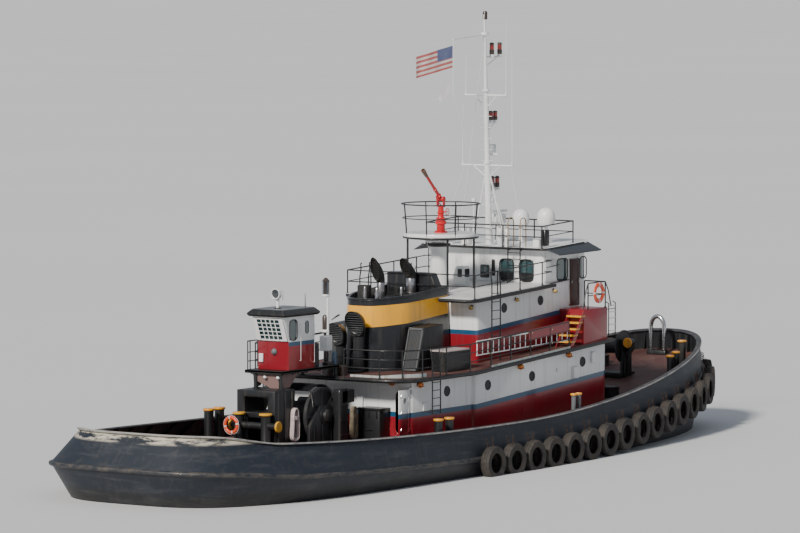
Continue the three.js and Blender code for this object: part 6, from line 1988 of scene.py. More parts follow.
swivel.tube([(MX + 0.02, -0.27, 8.7), (MX + 0.02, -0.05, 8.7)], 0.016, 10)
make("monitor_body", swivel, "monitor_swivel", [bright_red_paint], ["monitor_swivel"],
     40)

aim = Vector((-1.15, 0, 1.07)).normalized()
top = Vector((0, 1, 0)).cross(aim)
pivot = Vector((MX, 0, 9.15))
barrel = Shape()
barrel.turned([(0.075, -0.108), (0.08, -0.1), (0.08, 0.1), (0.075, 0.108)], pivot, PORTWARD, 28)
barrel.turned([(0.068, 0.0), (0.068, 0.16), (0.09, 0.165), (0.09, 0.2), (0.062, 0.21), (0.058, 0.5),
               (0.072, 0.505), (0.072, 0.53), (0.056, 0.54), (0.05, 1.24)], pivot, aim, 28)
barrel.tube([pivot + aim * 0.22 - top * 0.06, pivot + aim * 0.3 - top * 0.13, pivot + aim * 0.1 - top * 0.2,
             pivot - aim * 0.16 - top * 0.15], 0.018, 10)
barrel.mark = 1
barrel.turned([(0.058, 1.23), (0.064, 1.26), (0.07, 1.36), (0.078, 1.48), (0.08, 1.55), (0.074, 1.57),
               (0.06, 1.57), (0.052, 1.5), (0.0, 1.49)], pivot, aim, 28)
nozzle_brown = enamel("nozzle_brown_bronze", (0.16, 0.085, 0.05), roughness=0.4, streaks=0.2)
make("monitor_barrel_pipe", barrel, "monitor_barrel", [bright_red_paint, nozzle_brown], ["monitor_barrel"],
     40)
print("monitor made")

# %% [markdown]
# ## Mast
# The mast is a raked white pole with cross arms for whip aerials, brackets that carry navigation lamps in
# black and red lanterns, a gaff, steps and thin stays. The pole steps down in four sizes of pipe.


# %% Mast, arms, lamps and aerials
HALYARD_X = 1.99


def mast_x(z):
    return 4.36 - 0.0416 * (z - 7.38)


runs, masts = [], Shape()
masts.tube([(mast_x(z), 0, z) for z in (7.36, 8.5, 9.6, 10.36)], [0.125, 0.12, 0.118, 0.115], 28)
masts.tube([(mast_x(z), 0, z) for z in (10.3, 10.4, 11.8, 12.98)], [0.118, 0.095, 0.092, 0.09], 28)
masts.tube([(mast_x(z), 0, z) for z in (12.9, 13.0, 14.2, 15.0)], [0.095, 0.068, 0.062, 0.058], 24)
masts.tube([(mast_x(z), 0, z) for z in (14.96, 15.66)], 0.034, 16)
masts.turned([(0.24, 0.0), (0.24, 0.03), (0.13, 0.04), (0.13, 0.1)], (mast_x(7.37), 0, 7.352), UP, 28)
for z in (10.32, 12.94, 14.97):
    masts.turned([(0.135, -0.05), (0.14, -0.03), (0.14, 0.03), (0.135, 0.05)], (mast_x(z), 0, z), UP,
                 24)
for s in (-1, 1):
    for x, y in ((4.36, s * 0.7), (4.36 + 0.75, s * 0.35)):
        runs.append(([(x, y, 7.36), (mast_x(10.1), s * 0.05, 10.1)], 0.026))
for z, half in ((10.23, 1.11), (12.76, 0.9)):
    x = mast_x(z)
    runs.append(([(x, -half, z), (x, half, z)], 0.036))
    for s in (-1, 1):
        runs.append(([(x, s * half * 0.55, z), (x, s * 0.02, z - 0.45)], 0.018))
        runs.append(([(x, s * half * 0.95, z), (x, s * half * 0.95, z + 0.14)], 0.03))
for z, reach, tall in ((9.33, 0.7, 0.5), (11.76, 0.66, 0.43), (14.13, 1.05, 0.52)):
    x = mast_x(z)
    runs.append(([(x, 0, z), (x + reach, 0, z)], 0.03))
    runs.append(([(x + reach * 0.8, 0, z), (x, 0, z - 0.35)], 0.016))
    for out in (reach * 0.42, reach - 0.09):
        masts.mark = 0
        masts.turned([(0.1, z), (0.1, z + 0.03), (0.085, z + 0.05), (0.085, z + 0.09)],
                     (x + out, 0, 0), UP, 20)
        masts.mark = 1
        masts.turned([(0.084, z + 0.09), (0.09, z + 0.13), (0.09, z + tall * 0.45),
                      (0.084, z + tall * 0.5)], (x + out, 0, 0), UP, 20)
        masts.mark = 2
        masts.turned([(0.078, z + tall * 0.5), (0.082, z + tall * 0.62), (0.078, z + tall * 0.84)],
                     (x + out, 0, 0), UP, 20)
        masts.mark = 1
        masts.turned([(0.0, z + tall * 0.84), (0.092, z + tall * 0.85), (0.092, z + tall * 0.9),
                      (0.05, z + tall)], (x + out, 0, 0), UP, 20)
masts.mark = 1
masts.turned([(0.08, 15.48), (0.085, 15.52), (0.085, 15.74), (0.05, 15.785), (0.0, 15.788)],
             (mast_x(15.0) + 0.03, 0, 0), UP, 20)
masts.mark = 0
masts.block((mast_x(10.7), -0.06, 10.64), (mast_x(10.7) + 0.52, 0.06, 10.98), 0.03)
masts.turned([(0.05, -0.34), (0.055, -0.3), (0.055, 0.3), (0.05, 0.34)],
             (mast_x(10.7) + 0.34, 0, 10.62), (0.4, 1, 0), 20)
make("mast_pole", masts, "boat", [white_paint, lamp_dark, lamp_red], ["mast"], 45)

x_low, x_high = mast_x(10.23), mast_x(12.76)
runs += [([(x_low, 1.06, 10.25), (x_low, 1.06, 12.5)], [0.016, 0.007]),
         ([(x_low, -1.06, 10.25), (x_low - 0.03, -1.06, 14.4)], [0.018, 0.007]),
         ([(x_high, -0.86, 12.78), (x_high, -0.86, 15.6)], [0.016, 0.006]),
         ([(x_high, 0.86, 12.78), (x_high, 0.86, 14.2)], [0.014, 0.006]),
         ([(mast_x(14.94), 0, 14.94), (HALYARD_X, 0, 14.8)], 0.024),
         ([(HALYARD_X, 0, 14.79), (HALYARD_X, 0, 12.8)], 0.009),
         ([(HALYARD_X, 0, 12.81), (4.02, -0.5, 7.45)], 0.006),
         ([(mast_x(14.9), 0.02, 14.9), (3.95, 0.9, 8.35)], 0.006),
         ([(x_low, 1.0, 10.2), (4.05, 1.6, 8.3)], 0.006), ([(x_low, -1.0, 10.2), (4.05, -1.5, 8.3)], 0.006)]
for k in range(12):
    z = 8.0 + 0.4 * k
    x = mast_x(z)
    runs.append(([(x - 0.02, -0.24, z), (x - 0.02, 0.24, z)], 0.011))
pipes("mast_rigging", runs, white_paint, "boat", 8, [])
print("mast made")

# %% [markdown]
# ## Pilothouse roof
# Two white radomes, a radar scanner, boxes, gas bottles, two lamp posts and a pair of tan hoops crowd the
# roof. The domes are turned profiles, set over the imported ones.

# %% Roof gear
DOME_X = 5.5
gear = Shape()
for y, r, z in ((-0.63, 0.3, 8.31), (-1.71, 0.32, 8.37)):
    gear.turned([(0.12, 7.42), (0.12, 7.44), (0.072, 7.46), (0.072, z - r * 0.95),
                 (r * 0.9, z - r * 0.9), (r * 1.01, z - r * 0.55), (r * 1.03, z - r * 0.1),
                 (r * 0.98, z + r * 0.3), (r * 0.82, z + r * 0.66), (r * 0.52, z + r * 0.92),
                 (r * 0.2, z + r * 1.02), (0.0, z + r * 1.03)], (DOME_X, y, 0), UP, 40)
gear.turned([(0.16, 7.41), (0.16, 7.44), (0.092, 7.46), (0.08, 7.98), (0.2, 8.06), (0.265, 8.12),
             (0.265, 8.4), (0.22, 8.418), (0.0, 8.419)], (DOME_X, 0.32, 0), UP, 32)
make("radomes", gear, "boat", [dome_plastic], [], 45)

scanner = Shape()
scanner.turned([(0.07, 8.421), (0.07, 8.47), (0.0, 8.475)], (DOME_X, 0.32, 0), UP, 20)
rings = []
for x, w, h in ((-0.52, 0.02, 0.025), (-0.5, 0.05, 0.045), (-0.2, 0.056, 0.05), (0.2, 0.056, 0.05),
                (0.5, 0.05, 0.045), (0.52, 0.02, 0.025)):
    rings.append([Vector((DOME_X + x, 0.32 + w * a, 8.52 + h * b))
                  for a, b in ((1, 0.4), (0.7, 1), (-0.7, 1), (-1, 0.4), (-1, -0.4), (-0.7, -1),
                               (0.7, -1), (1, -0.4))])
scanner.skin(rings)
make("radar_bar", scanner, "radar_scanner", [dome_plastic], ["radar_scanner"], 40)

extras = Shape()
for x, y, w, d, h in ((4.26, 0.9, 0.3, 0.3, 0.6), (4.3, 1.6, 0.25, 0.25, 0.45),
                      (4.27, -2.14, 0.3, 0.28, 0.32)):
    z = roof_z(x)
    extras.block((x - w / 2, y - d / 2, z), (x + w / 2, y + d / 2, z + h), 0.03)
for y in (-0.76, -0.46):
    extras.turned([(0.09, 0.0), (0.1, 0.02), (0.1, 0.5), (0.07, 0.62), (0.03, 0.65), (0.03, 0.72)],
                  (4.15, y - 0.15, roof_z(4.15)), UP, 24)
for y in (1.2, 2.0):
    extras.turned([(0.025, 0.0), (0.02, 1.3), (0.012, 1.34)], (6.4, y, roof_z(6.4)), UP, 12)
    extras.turned([(0.0, 1.3), (0.07, 1.32), (0.09, 1.38), (0.07, 1.44), (0.0, 1.46)],
                  (6.4, y, roof_z(6.4)), UP, 20)
extras.mark = 1
extras.block((4.12, -2.56, 7.4), (4.4, -2.34, 7.985), 0.03)
extras.mark = 2
for y in (-1.66, -1.14):
    hoop = [Vector((4.03 - 0.19 * math.cos(a), y, 8.20 + 0.19 * math.sin(a)))
            for a in [math.pi * k / 14 for k in range(15)]]
    extras.tube([Vector((3.84, y, 7.6))] + hoop + [Vector((4.22, y, roof_z(4.22) + 0.001))], 0.019, 10)
hoop_tan = enamel("tan_hoop_enamel", (0.30, 0.19, 0.09), roughness=0.4, streaks=0.2)
make("roof_boxes", extras, "boat", [white_paint, black_paint, hoop_tan], [], 45)

runs = []
for s in (-1, 1):
    runs.append(([(x, s * 2.72, roof_z(x) - 0.04) for x in (4.2, 5.0, 6.0, 6.45)], 0.045))
runs.append(([(3.93, y, roof_z(3.93) - 0.04) for y in (-2.5, -1.0, 1.0, 2.5)], 0.045))
runs.append(([(3.93, -2.5, roof_z(3.93) - 0.04), (4.0, -2.66, roof_z(4.0) - 0.04),
              (4.2, -2.72, roof_z(4.2) - 0.04)], 0.045))
runs.append(([(3.93, 2.5, roof_z(3.93) - 0.04), (4.0, 2.66, roof_z(4.0) - 0.04),
              (4.2, 2.72, roof_z(4.2) - 0.04)], 0.045))
pipes("roof_edge_pipe", runs, black_paint, "boat", 10, [])
runs = []
for s in (-1, 1):
    runs.append(([(4.16, s * 2.45, 5.98), (5.0, s * 2.46, 6.05), (5.85, s * 2.46, 6.1)], 0.022))
    runs.append(([(4.4, s * 2.47, 6.62), (5.2, s * 2.47, 6.68)], 0.014))
    for x in (4.42, 5.18):
        runs.append(([(x, s * 2.395, 6.62 + 0.076 * (x - 4.4)),
                      (x, s * 2.47, 6.62 + 0.076 * (x - 4.4))], 0.01))
    runs.append(([(4.9, s * 2.4, 6.02), (4.9, s * 2.46, 6.045)], 0.012))
    runs.append(([(5.7, s * 2.4, 6.08), (5.7, s * 2.46, 6.09)], 0.012))
pipes("pilothouse_handrails", runs, rail_paint, "boat", 10, [])
print("roof gear made")

# %% [markdown]
# ## Aft control cab
# The cab stands on four legs above the after deck. Its sides are white over a blue line and red. Its aft
# face is red below the sill and white above it, where it leans aft, and a white grating protects the window
# there. A thin black roof with a bevelled edge overhangs it and carries the searchlight.

# %% Cab walls, panes and fittings
LEAN, SILL_Z = 0.3846, 4.78                  # how far the aft face leans above its sill
cab = refined("control_cab", "boat", [cab_paint, red_paint, white_paint], 0.018, 2)
for face in cab.data.polygons:
    if face.normal.x < -0.7:
        face.material_index = 1 if face.center.z < SILL_Z else 2


def cab_face(y, z, out=0.0):
    """A point on the aft face of the cab, which leans aft above its waist."""
    return Vector((-9.06 - LEAN * (z - SILL_Z) - out, y, z))


frames = Shape()
for s in (-1, 1):
    frame_ring(frames, Vector((-8.79, s * 0.641, 5.16)), Vector((-s, 0, 0)), Vector(UP), 0.43, 0.67,
               0.16, 0.03, 0.016)
    frame_ring(frames, Vector((-7.99, s * 0.641, 5.21)), Vector((-s, 0, 0)), Vector(UP), 0.17, 0.4,
               0.07, 0.022, 0.012)
make("cab_gaskets", frames, "boat", [gasket], [], 40)
panes = Shape()
for s in (-1, 1):
    panes.block((-8.999, s * 0.606, 4.831), (-8.581, s * 0.620, 5.489), 0.003)
    panes.block((-8.07, s * 0.641, 5.02), (-7.91, s * 0.648, 5.40), 0.002)
panes.skin([[cab_face(y, z, depth)
             for y, z in ((-0.549, 4.842), (0.549, 4.842), (0.549, 5.508), (-0.549, 5.508))]
            for depth in (-0.034, -0.02)])
make("cab_panes", panes, "boat", [window_glass], [], 30)

fittings = Shape()
fittings.block((-9.12, 0.40, 4.05), (-9.061, 0.57, 4.34), 0.012)
for s in (-1, 1):
    for x, z0, z1 in ((-8.42, 4.1, 5.35), (-7.62, 4.0, 5.3)):
        fittings.tube([(x, s * 0.64, z0), (x, s * 0.69, z0), (x, s * 0.69, z1), (x, s * 0.64, z1)],
                      0.009, 8)
fittings.mark = 2
fittings.turned([(0.10, 0.0), (0.115, 0.02), (0.09, 0.075), (0.045, 0.10), (0.0, 0.105)],
                (-9.061, -0.05, 4.42), (-1, 0, 0), 24)
fittings.mark = 1
fittings.block((-7.52, -0.6, 3.796), (-7.2, 0.4, 4.62), 0.02)
make("cab_fittings", fittings, "boat", [white_paint, black_paint, grey_paint], [], 40)

# %% [markdown]
# The guard over the aft window is one flat grating: a wide frame and thin flat bars that leave five
# columns and five rows of openings. The upright bars lie a hair behind the level ones, as welded.

# %% Window guard of the cab
grate = Shape()


def flat_bar(y0, z0, y1, z1, back, front):
    """A flat bar in the leaning plane of the guard, from one corner to the opposite one."""
    ease = min(0.004, 0.3 * (y1 - y0), 0.3 * (z1 - z0))
    rings = []
    for depth, cut in ((back, ease), (back + 0.002, 0.0), (front - 0.002, 0.0), (front, ease)):
        rings.append([cab_face(y, z, depth)
                      for y, z in ((y0 + cut, z0 + cut), (y1 - cut, z0 + cut), (y1 - cut, z1 - cut),
                                   (y0 + cut, z1 - cut))])
    grate.skin(rings)


for y0, y1 in ((-0.628, -0.452), (0.452, 0.628)):
    flat_bar(y0, 4.802, y1, 5.558, 0.052, 0.062)
for k in range(4):
    y = -0.452 + 0.904 * (k + 1) / 5
    flat_bar(y - 0.018, 4.81, y + 0.018, 5.55, 0.052, 0.062)
for z0, z1 in ((4.80, 4.838), (5.538, 5.56)):
    flat_bar(-0.63, z0, 0.63, z1, 0.054, 0.066)
for k in range(4):
    z = 4.838 + 0.70 * (k + 1) / 5
    flat_bar(-0.46, z - 0.015, 0.46, z + 0.015, 0.054, 0.065)
for y in (-0.59, 0.0, 0.59):
    for z in (4.83, 5.545):
        grate.tube([cab_face(y, z, 0.055), cab_face(y, z, 0.0)], 0.011, 8)
make("window_guard", grate, "boat", [white_paint], ["cab_window_guard"], 20)


# %% Roof of the cab and searchlight
def roof_outline(grow, z):
    corners = [(-9.52 - grow, -0.80 - grow), (-7.40 + grow, -0.80 - grow), (-7.40 + grow, 0.80 + grow),
               (-9.52 - grow, 0.80 + grow)]
    return rounded_level(corners, [0.06] * 4, 3, z)


LIGHT_X, LIGHT_Z = -8.8, 6.37
lid = Shape()
lid.skin([roof_outline(-0.05, 5.622), roof_outline(-0.004, 5.676), roof_outline(0.0, 5.682),
          roof_outline(0.0, 5.726), roof_outline(-0.006, 5.733), roof_outline(-0.125, 5.852),
          roof_outline(-0.135, 5.858)])
lid.mark = 1
lid.skin([roof_outline(-0.14, 5.85), roof_outline(-0.14, 5.866), roof_outline(-0.15, 5.872)])
lid.mark = 0
lid.turned([(0.12, 5.86), (0.12, 5.89), (0.05, 5.9)], (LIGHT_X, 0, 0), UP, 24)
lid.tube([(-7.75, -0.4, 5.86), (-7.75, -0.4, 5.93), (-7.755, -0.4, 6.33)], [0.024, 0.015, 0.009], 10)
make("cab_lid", lid, "boat", [black_paint, grey_paint], ["cab_roof"], 20)

lamp = Shape()
lamp.turned([(0.055, 5.9), (0.052, 6.14), (0.04, 6.15), (0.04, 6.2)], (LIGHT_X, 0, 0), UP, 20)
lamp.block((-8.84, -0.2, 6.16), (-8.76, 0.2, 6.19), 0.01)
for s in (-1, 1):
    lamp.block((-8.84, s * 0.186, 6.16), (-8.76, s * 0.205, 6.41), 0.008)
    lamp.turned([(0.03, 0.0), (0.03, 0.03), (0.0, 0.035)], (LIGHT_X, s * 0.19, LIGHT_Z), (0, s, 0), 12)
lamp.turned([(0.0, 0.155), (0.06, 0.15), (0.13, 0.12), (0.168, 0.05), (0.174, -0.03), (0.174, -0.13),
             (0.182, -0.135), (0.182, -0.158), (0.158, -0.16), (0.15, -0.12), (0.0, -0.11)],
            (LIGHT_X, 0, LIGHT_Z), FORWARD, 36)
lamp.mark = 1
lamp.turned([(0.0, -0.142), (0.08, -0.138), (0.145, -0.124), (0.148, -0.118), (0.0, -0.116)],
            (LIGHT_X, 0, LIGHT_Z), FORWARD, 36)
lens_dark = enamel("searchlight_dark_lens", (0.03, 0.035, 0.04), coat=1.0, roughness=0.15, streaks=0.0,
                   waviness=0.0)
make("searchlight_drum", lamp, "searchlight", [white_paint, lens_dark], ["searchlight"], 40)

# %% Platform of the cab
stand = Shape()
PORT_EDGE = 0.88
stand.block((-9.5, -0.69, 3.725), (-6.14, PORT_EDGE, 3.795), 0.008)
stand.block((-9.5, -0.69, 3.69), (-9.44, PORT_EDGE, 3.80), 0.01)
stand.block((-6.2, -0.69, 3.69), (-6.14, PORT_EDGE, 3.80), 0.01)
for y in (-0.69, PORT_EDGE - 0.06):
    stand.block((-9.5, y, 3.69), (-6.14, y + 0.06, 3.80), 0.01)
for x in (-8.8, -8.0, -7.2, -6.6):
    stand.block((x - 0.03, -0.66, 3.655), (x + 0.03, PORT_EDGE - 0.03, 3.73), 0.008)
for y in (-0.52, 0.52):
    stand.turned([(0.13, 3.182), (0.13, 3.2), (0.08, 3.21), (0.08, 3.72)], (-9.34, y, 0), UP, 20)
for y in (-0.6, 0.8):
    stand.turned([(0.11, 3.405), (0.11, 3.42), (0.06, 3.43), (0.06, 3.72)], (-6.22, y, 0), UP, 20)
stand.mark = 1
stand.skin([[Vector((-9.36 + o, y, z))
             for y, z in ((0.60, 3.70), (0.50, 3.44), (-0.10, 3.20), (-0.60, 3.20), (-0.60, 3.70))]
            for o in (0.0, 0.014)])
for y in (-0.60, 0.62):
    stand.skin([[Vector((x, y + o, z))
                 for x, z in ((-9.36, 3.70), (-9.30, 3.22), (-8.95, 3.22), (-8.45, 3.70))]
                for o in (0.0, 0.014)])
stand.mark = 2
for y in (0.07, -0.47):
    stand.turned([(0.055, 0.0), (0.062, 0.03), (0.055, 0.07), (0.0, 0.085)], (-9.44, y, 3.60),
                 (-0.6, 0, -1), 16)
gusset_tone = enamel("gusset_brown_pink_enamel", (0.20, 0.12, 0.11), coat=0.1, roughness=0.5,
                     streaks=0.5, chips=0.4)
make("cab_floor", stand, "boat", [black_paint, gusset_tone, white_paint], ["cab_platform"],
     40)
line = [Vector((-6.2, 0.78, 3.79)), Vector((-9.46, 0.78, 3.79)), Vector((-9.46, 0.68, 3.79))]
runs, feet = rail_runs(line, [0.30, 0.60, 0.98], 0.82, 0.021)
pipes("cab_rail", runs, rail_paint, "boat", 10, [])

# %% Light post with its lanterns
post = Shape()
px, py = -5.95, -0.08
post.turned([(0.0, 3.73), (0.09, 3.74), (0.10, 3.76), (0.10, 3.84), (0.05, 3.86)], (px, 0, 0), UP, 24)
post.block((px - 0.16, -0.17, 4.23), (px + 0.16, 0.17, 4.76), 0.02)
post.turned([(0.05, 4.78), (0.045, 6.14)], (px, py, 0), UP, 20)
post.turned([(0.12, 4.86), (0.14, 4.88), (0.14, 4.94), (0.12, 4.96)], (px, 0.02, 0), UP, 24)
post.turned([(0.11, 6.09), (0.13, 6.11), (0.13, 6.16), (0.11, 6.18)], (px, 0, 0), UP, 24)
post.tube([(px, 0, 4.40), (px - 0.22, -0.02, 4.40)], 0.014, 8)
post.mark = 1
post.turned([(0.2, 3.405), (0.2, 3.43), (0.09, 3.44), (0.085, 4.24)], (px, 0, 0), UP, 24)
post.turned([(0.06, 4.75), (0.06, 4.87)], (px, 0.02, 0), UP, 20)
post.turned([(0.105, 4.955), (0.11, 4.99), (0.11, 5.40), (0.06, 5.47), (0.0, 5.475)], (px, 0.02, 0), UP, 24)
post.turned([(0.1, 6.175), (0.105, 6.22), (0.105, 6.60), (0.12, 6.62), (0.12, 6.66), (0.05, 6.74),
             (0.0, 6.755)], (px, 0, 0), UP, 24)
post.skin([[Vector((px - 0.12, 0.03, 4.84)), Vector((px - 0.12, -0.03, 4.84)),
            Vector((px - 0.12, 0.0, 4.88))], [Vector((px - 0.62, 0.12, 4.80)),
                                              Vector((px - 0.62, 0.10, 4.80)),
                                              Vector((px - 0.62, 0.11, 4.815))]])
for x, y, w, h in ((-6.35, -0.35, 0.32, 0.5), (-5.85, -0.62, 0.28, 0.36)):
    post.block((x - w / 2, y - 0.13, 3.403), (x + w / 2, y + 0.13, 3.403 + h), 0.025)
post.mark = 2
for k in range(6):
    a = math.pi / 3 * k
    post.tube([Vector((px + 0.125 * math.cos(a), 0.125 * math.sin(a), 6.17)),
               Vector((px + 0.125 * math.cos(a), 0.125 * math.sin(a), 6.63))], 0.007, 6)
post.turned([(0.0, 3.45), (0.09, 3.46), (0.095, 4.18), (0.06, 4.22)], (px + 0.12, -0.26, 0), UP, 20)
bottle_blue = enamel("bottle_blue_grey_enamel", (0.10, 0.17, 0.26), roughness=0.4, streaks=0.3)
make("lantern_post", post, "boat", [white_paint, lamp_dark, bottle_blue], ["light_post"], 40)
print("cab and light post made")

# %% [markdown]
# ## Towing winch and aft deck gear
# The winch is a black frame of two cheeks with a wide drum between them. The drum has heavy flanges with
# lightening holes left as spokes, brake bands and rope grooves on its core. Everything is worn black paint.

# %% Towing winch
DRUM_X, DRUM_Z = -7.75, 2.2
refined("towing_winch_frame", "boat", [black_paint], 0.02, 2)
details = Shape()
for s in (-1, 1):
    for k in range(4):
        x = -8.45 + 0.5 * k
        low, high = sorted((s * 1.25, s * 1.29))
        details.skin([[Vector((x + a, y, z))
                       for a, z in ((-0.02, 1.1), (0.02, 1.1), (0.02, 1.95), (-0.02, 1.95))]
                      for y in (low, high)])
    details.turned([(0.34, 0.0), (0.34, 0.03), (0.24, 0.05), (0.2, 0.12), (0.1, 0.15), (0.0, 0.155)],
                   (DRUM_X, s * 1.251, DRUM_Z), (0, s, 0), 28)
    for k in range(8):
        a = k * math.pi / 4
        details.turned([(0.025, 0.03), (0.025, 0.06), (0.0, 0.065)],
                       (DRUM_X + 0.28 * math.cos(a), s * 1.251, DRUM_Z + 0.28 * math.sin(a)),
                       (0, s, 0), 6)
details.block((-6.78, -0.5, 2.32), (-6.34, 0.1, 2.56), 0.03)
details.turned([(0.16, -0.3), (0.17, -0.28), (0.17, 0.28), (0.16, 0.3)], (-6.55, 0.38, 2.5), PORTWARD,
               24)
gear = [(-7.45, -1.32), (-6.93, -1.32), (-6.93, -1.62), (-7.45, -1.62)]
details.skin([rounded_level([(x * (1 - g) - 7.19 * g, y) for x, y in gear], [0.06] * 4, 4, z)
              for z, g in ((1.15, 0.0), (2.95, 0.0), (3.05, 0.06), (3.08, 0.2))])
for z in (1.5, 2.0, 2.5):
    details.block((-7.42, -1.645, z), (-6.96, -1.62, z + 0.05), 0.006)
details.block((-7.30, -1.62, 2.60), (-6.55, -1.32, 3.04), 0.03)
guard = []
for k in range(15):
    a = math.radians(62 + 62 * k / 14)
    guard.append([Vector((DRUM_X + r * math.cos(a), y, DRUM_Z + r * math.sin(a))) for r, y in
                  ((1.035, -1.0), (1.035, 0.34), (1.07, 0.34), (1.07, -1.0))])
details.skin(guard)
for a in (64, 122):
    t = math.radians(a)
    for y in (-0.97, 0.31):
        foot = Vector((DRUM_X + 1.20 * math.cos(t) * 1.12, math.copysign(1.22, y), 2.55))
        head = Vector((DRUM_X + 1.05 * math.cos(t), y, DRUM_Z + 1.05 * math.sin(t)))
        details.tube([foot, foot.lerp(head, 0.5) + Vector((0, 0, 0.2)), head], 0.03, 10)
make("winch_details", details, "boat", [black_paint], [], 40)

drum = Shape()
profile = [(0.0, -1.115), (0.14, -1.115), (0.16, -1.10), (0.3, -1.10), (0.34, -1.085), (0.86, -1.085),
           (0.88, -1.11), (0.955, -1.11), (0.968, -1.10), (0.968, -0.99), (0.955, -0.98),
           (0.72, -0.98), (0.6, -0.96), (0.46, -0.94)]
for k in range(24):
    y = -0.92 + 0.08 * k
    profile += [(0.44, y - 0.028), (0.455, y), (0.44, y + 0.028)]
profile += [(0.46, 0.94), (0.6, 0.96), (0.72, 0.98), (0.955, 0.98), (0.968, 0.99), (0.968, 1.10),
            (0.955, 1.11), (0.88, 1.11), (0.86, 1.085), (0.34, 1.085), (0.3, 1.10), (0.16, 1.10),
            (0.14, 1.115), (0.0, 1.115)]
drum.turned(profile, (DRUM_X, 0, DRUM_Z), PORTWARD, 64)
for s in (-1, 1):
    for k in range(8):
        a = k * math.pi / 4
        c, n = math.cos(a), math.sin(a)
        low, high = sorted((s * 1.083, s * 1.113))
        drum.skin([[Vector((DRUM_X + r * c - o * n, y, DRUM_Z + r * n + o * c))
                    for r, o in ((0.28, -0.03), (0.28, 0.03), (0.9, 0.03), (0.9, -0.03))]
                   for y in (low, high)])
drum_paint = enamel("winch_drum_worn_black", (0.035, 0.035, 0.038), coat=0.1, roughness=0.42, fade=0.3,
                    streaks=0.4, chips=0.3, chip_tone=(0.16, 0.12, 0.10))
make("winch_drum", drum, "towing_winch_drum", [drum_paint], ["towing_winch_drum"], 35)

# %% Tow lead frame, H-bitt and hose locker
refined("tow_lead_frame", "boat", [black_paint], 0.025, 2)
lead = Shape()
for y in (-0.79, 0.74):
    for x in (-9.9, -9.5, -9.1):
        inner = y + (0.05 if y > 0 else 0.0)
        outer = inner + (0.03 if y > 0 else -0.03)
        lead.block((x - 0.025, inner, 0.66), (x + 0.025, outer, 3.1), 0.006)
for y in (-0.3, 0.3):
    lead.turned([(0.07, 0.0), (0.085, 0.06), (0.07, 0.3), (0.07, 0.86), (0.085, 1.1), (0.07, 1.16)],
                (-10.02, y + (0.12 if y > 0 else -0.12), 1.17), UP, 20)
lead.turned([(0.075, -0.46), (0.075, 0.46)], (-10.0, 0, 1.24), PORTWARD, 20)
lead.turned([(0.075, -0.46), (0.075, 0.46)], (-10.0, 0, 2.36), PORTWARD, 20)
make("lead_rollers", lead, "boat", [drum_paint], [], 40)

bitt = Shape()
BITT_X = -10.35
bz = deck_z(BITT_X)
for y in (-0.60, 0.50):
    bitt.mark = 0
    bitt.turned([(0.3, bz + 0.001), (0.3, bz + 0.03), (0.19, bz + 0.05), (0.17, bz + 0.1),
                 (0.168, 2.38)], (BITT_X, y, 0), UP, 32)
    bitt.mark = 1
    bitt.turned([(0.2, 2.37), (0.222, 2.385), (0.226, 2.40), (0.226, 2.43), (0.21, 2.448),
                 (0.0, 2.455)], (BITT_X, y, 0), UP, 32)
bitt.mark = 0
bitt.turned([(0.118, -1.10), (0.118, 0.78)], (BITT_X, 0, 2.02), PORTWARD, 28)
for s, end in ((-1, -1.085), (1, 0.765)):
    bitt.mark = 1
    bitt.turned([(0.17, 0.0), (0.186, 0.015), (0.186, 0.06), (0.172, 0.075), (0.0, 0.077)],
                (BITT_X, end, 2.02), (0, s, 0), 32)
for y in (-0.60, 0.50):
    bitt.mark = 0
    for t in (-1, 1):
        bitt.skin([[Vector((BITT_X + t * a, y + o, bz + z))
                    for a, z in ((0.15, 0.02), (0.42, 0.02), (0.42, 0.05), (0.16, 0.6))]
                   for o in (-0.012, 0.012)])
make("h_bitt", bitt, "boat", [black_paint, yellow_paint], ["towing_bitt"], 40)

refined("hose_locker", "boat", [black_paint], 0.02, 2)
hatch = Shape()
hatch.block((-5.93, -2.24, 2.26), (-5.25, -1.27, 2.34), 0.015)
for y in (-2.08, -1.75, -1.42):
    hatch.block((-5.925, y - 0.03, 2.0), (-5.895, y + 0.03, 2.3), 0.006)
hatch.tube([(-5.9, -1.9, 1.6), (-5.95, -1.9, 1.6), (-5.95, -1.6, 1.6), (-5.9, -1.6, 1.6)], 0.011, 8)
make("hose_locker_lid", hatch, "boat", [black_paint], [])

aft_gear = Shape()
for x, y, w, d, h in ((-6.1, 2.0, 0.7, 1.0, 1.1), (-5.7, 0.55, 0.5, 0.6, 1.3)):
    z = deck_z(x)
    aft_gear.block((x - w / 2, y - d / 2, z), (x + w / 2, y + d / 2, z + h), 0.03)
for x, y in ((-12.2, 0.9), (-12.2, -0.9)):
    z = deck_z(x)
    aft_gear.turned([(0.42, z), (0.42, z + 0.02), (0.34, z + 0.05), (0.34, z + 0.26), (0.36, z + 0.27),
                     (0.36, z + 0.31), (0.1, z + 0.35)], (x, y, 0), UP, 36)
make("aft_hatches", aft_gear, "boat", [black_paint], [], 40)
print("towing gear made")

# %% [markdown]
# ## Foredeck gear
# The bow winch has two cheeks with a drum between them and a warping head outboard. The hawser staple is an
# arch of polished pipe on a plinth. A round yellow cover shows over the starboard end of the winch.

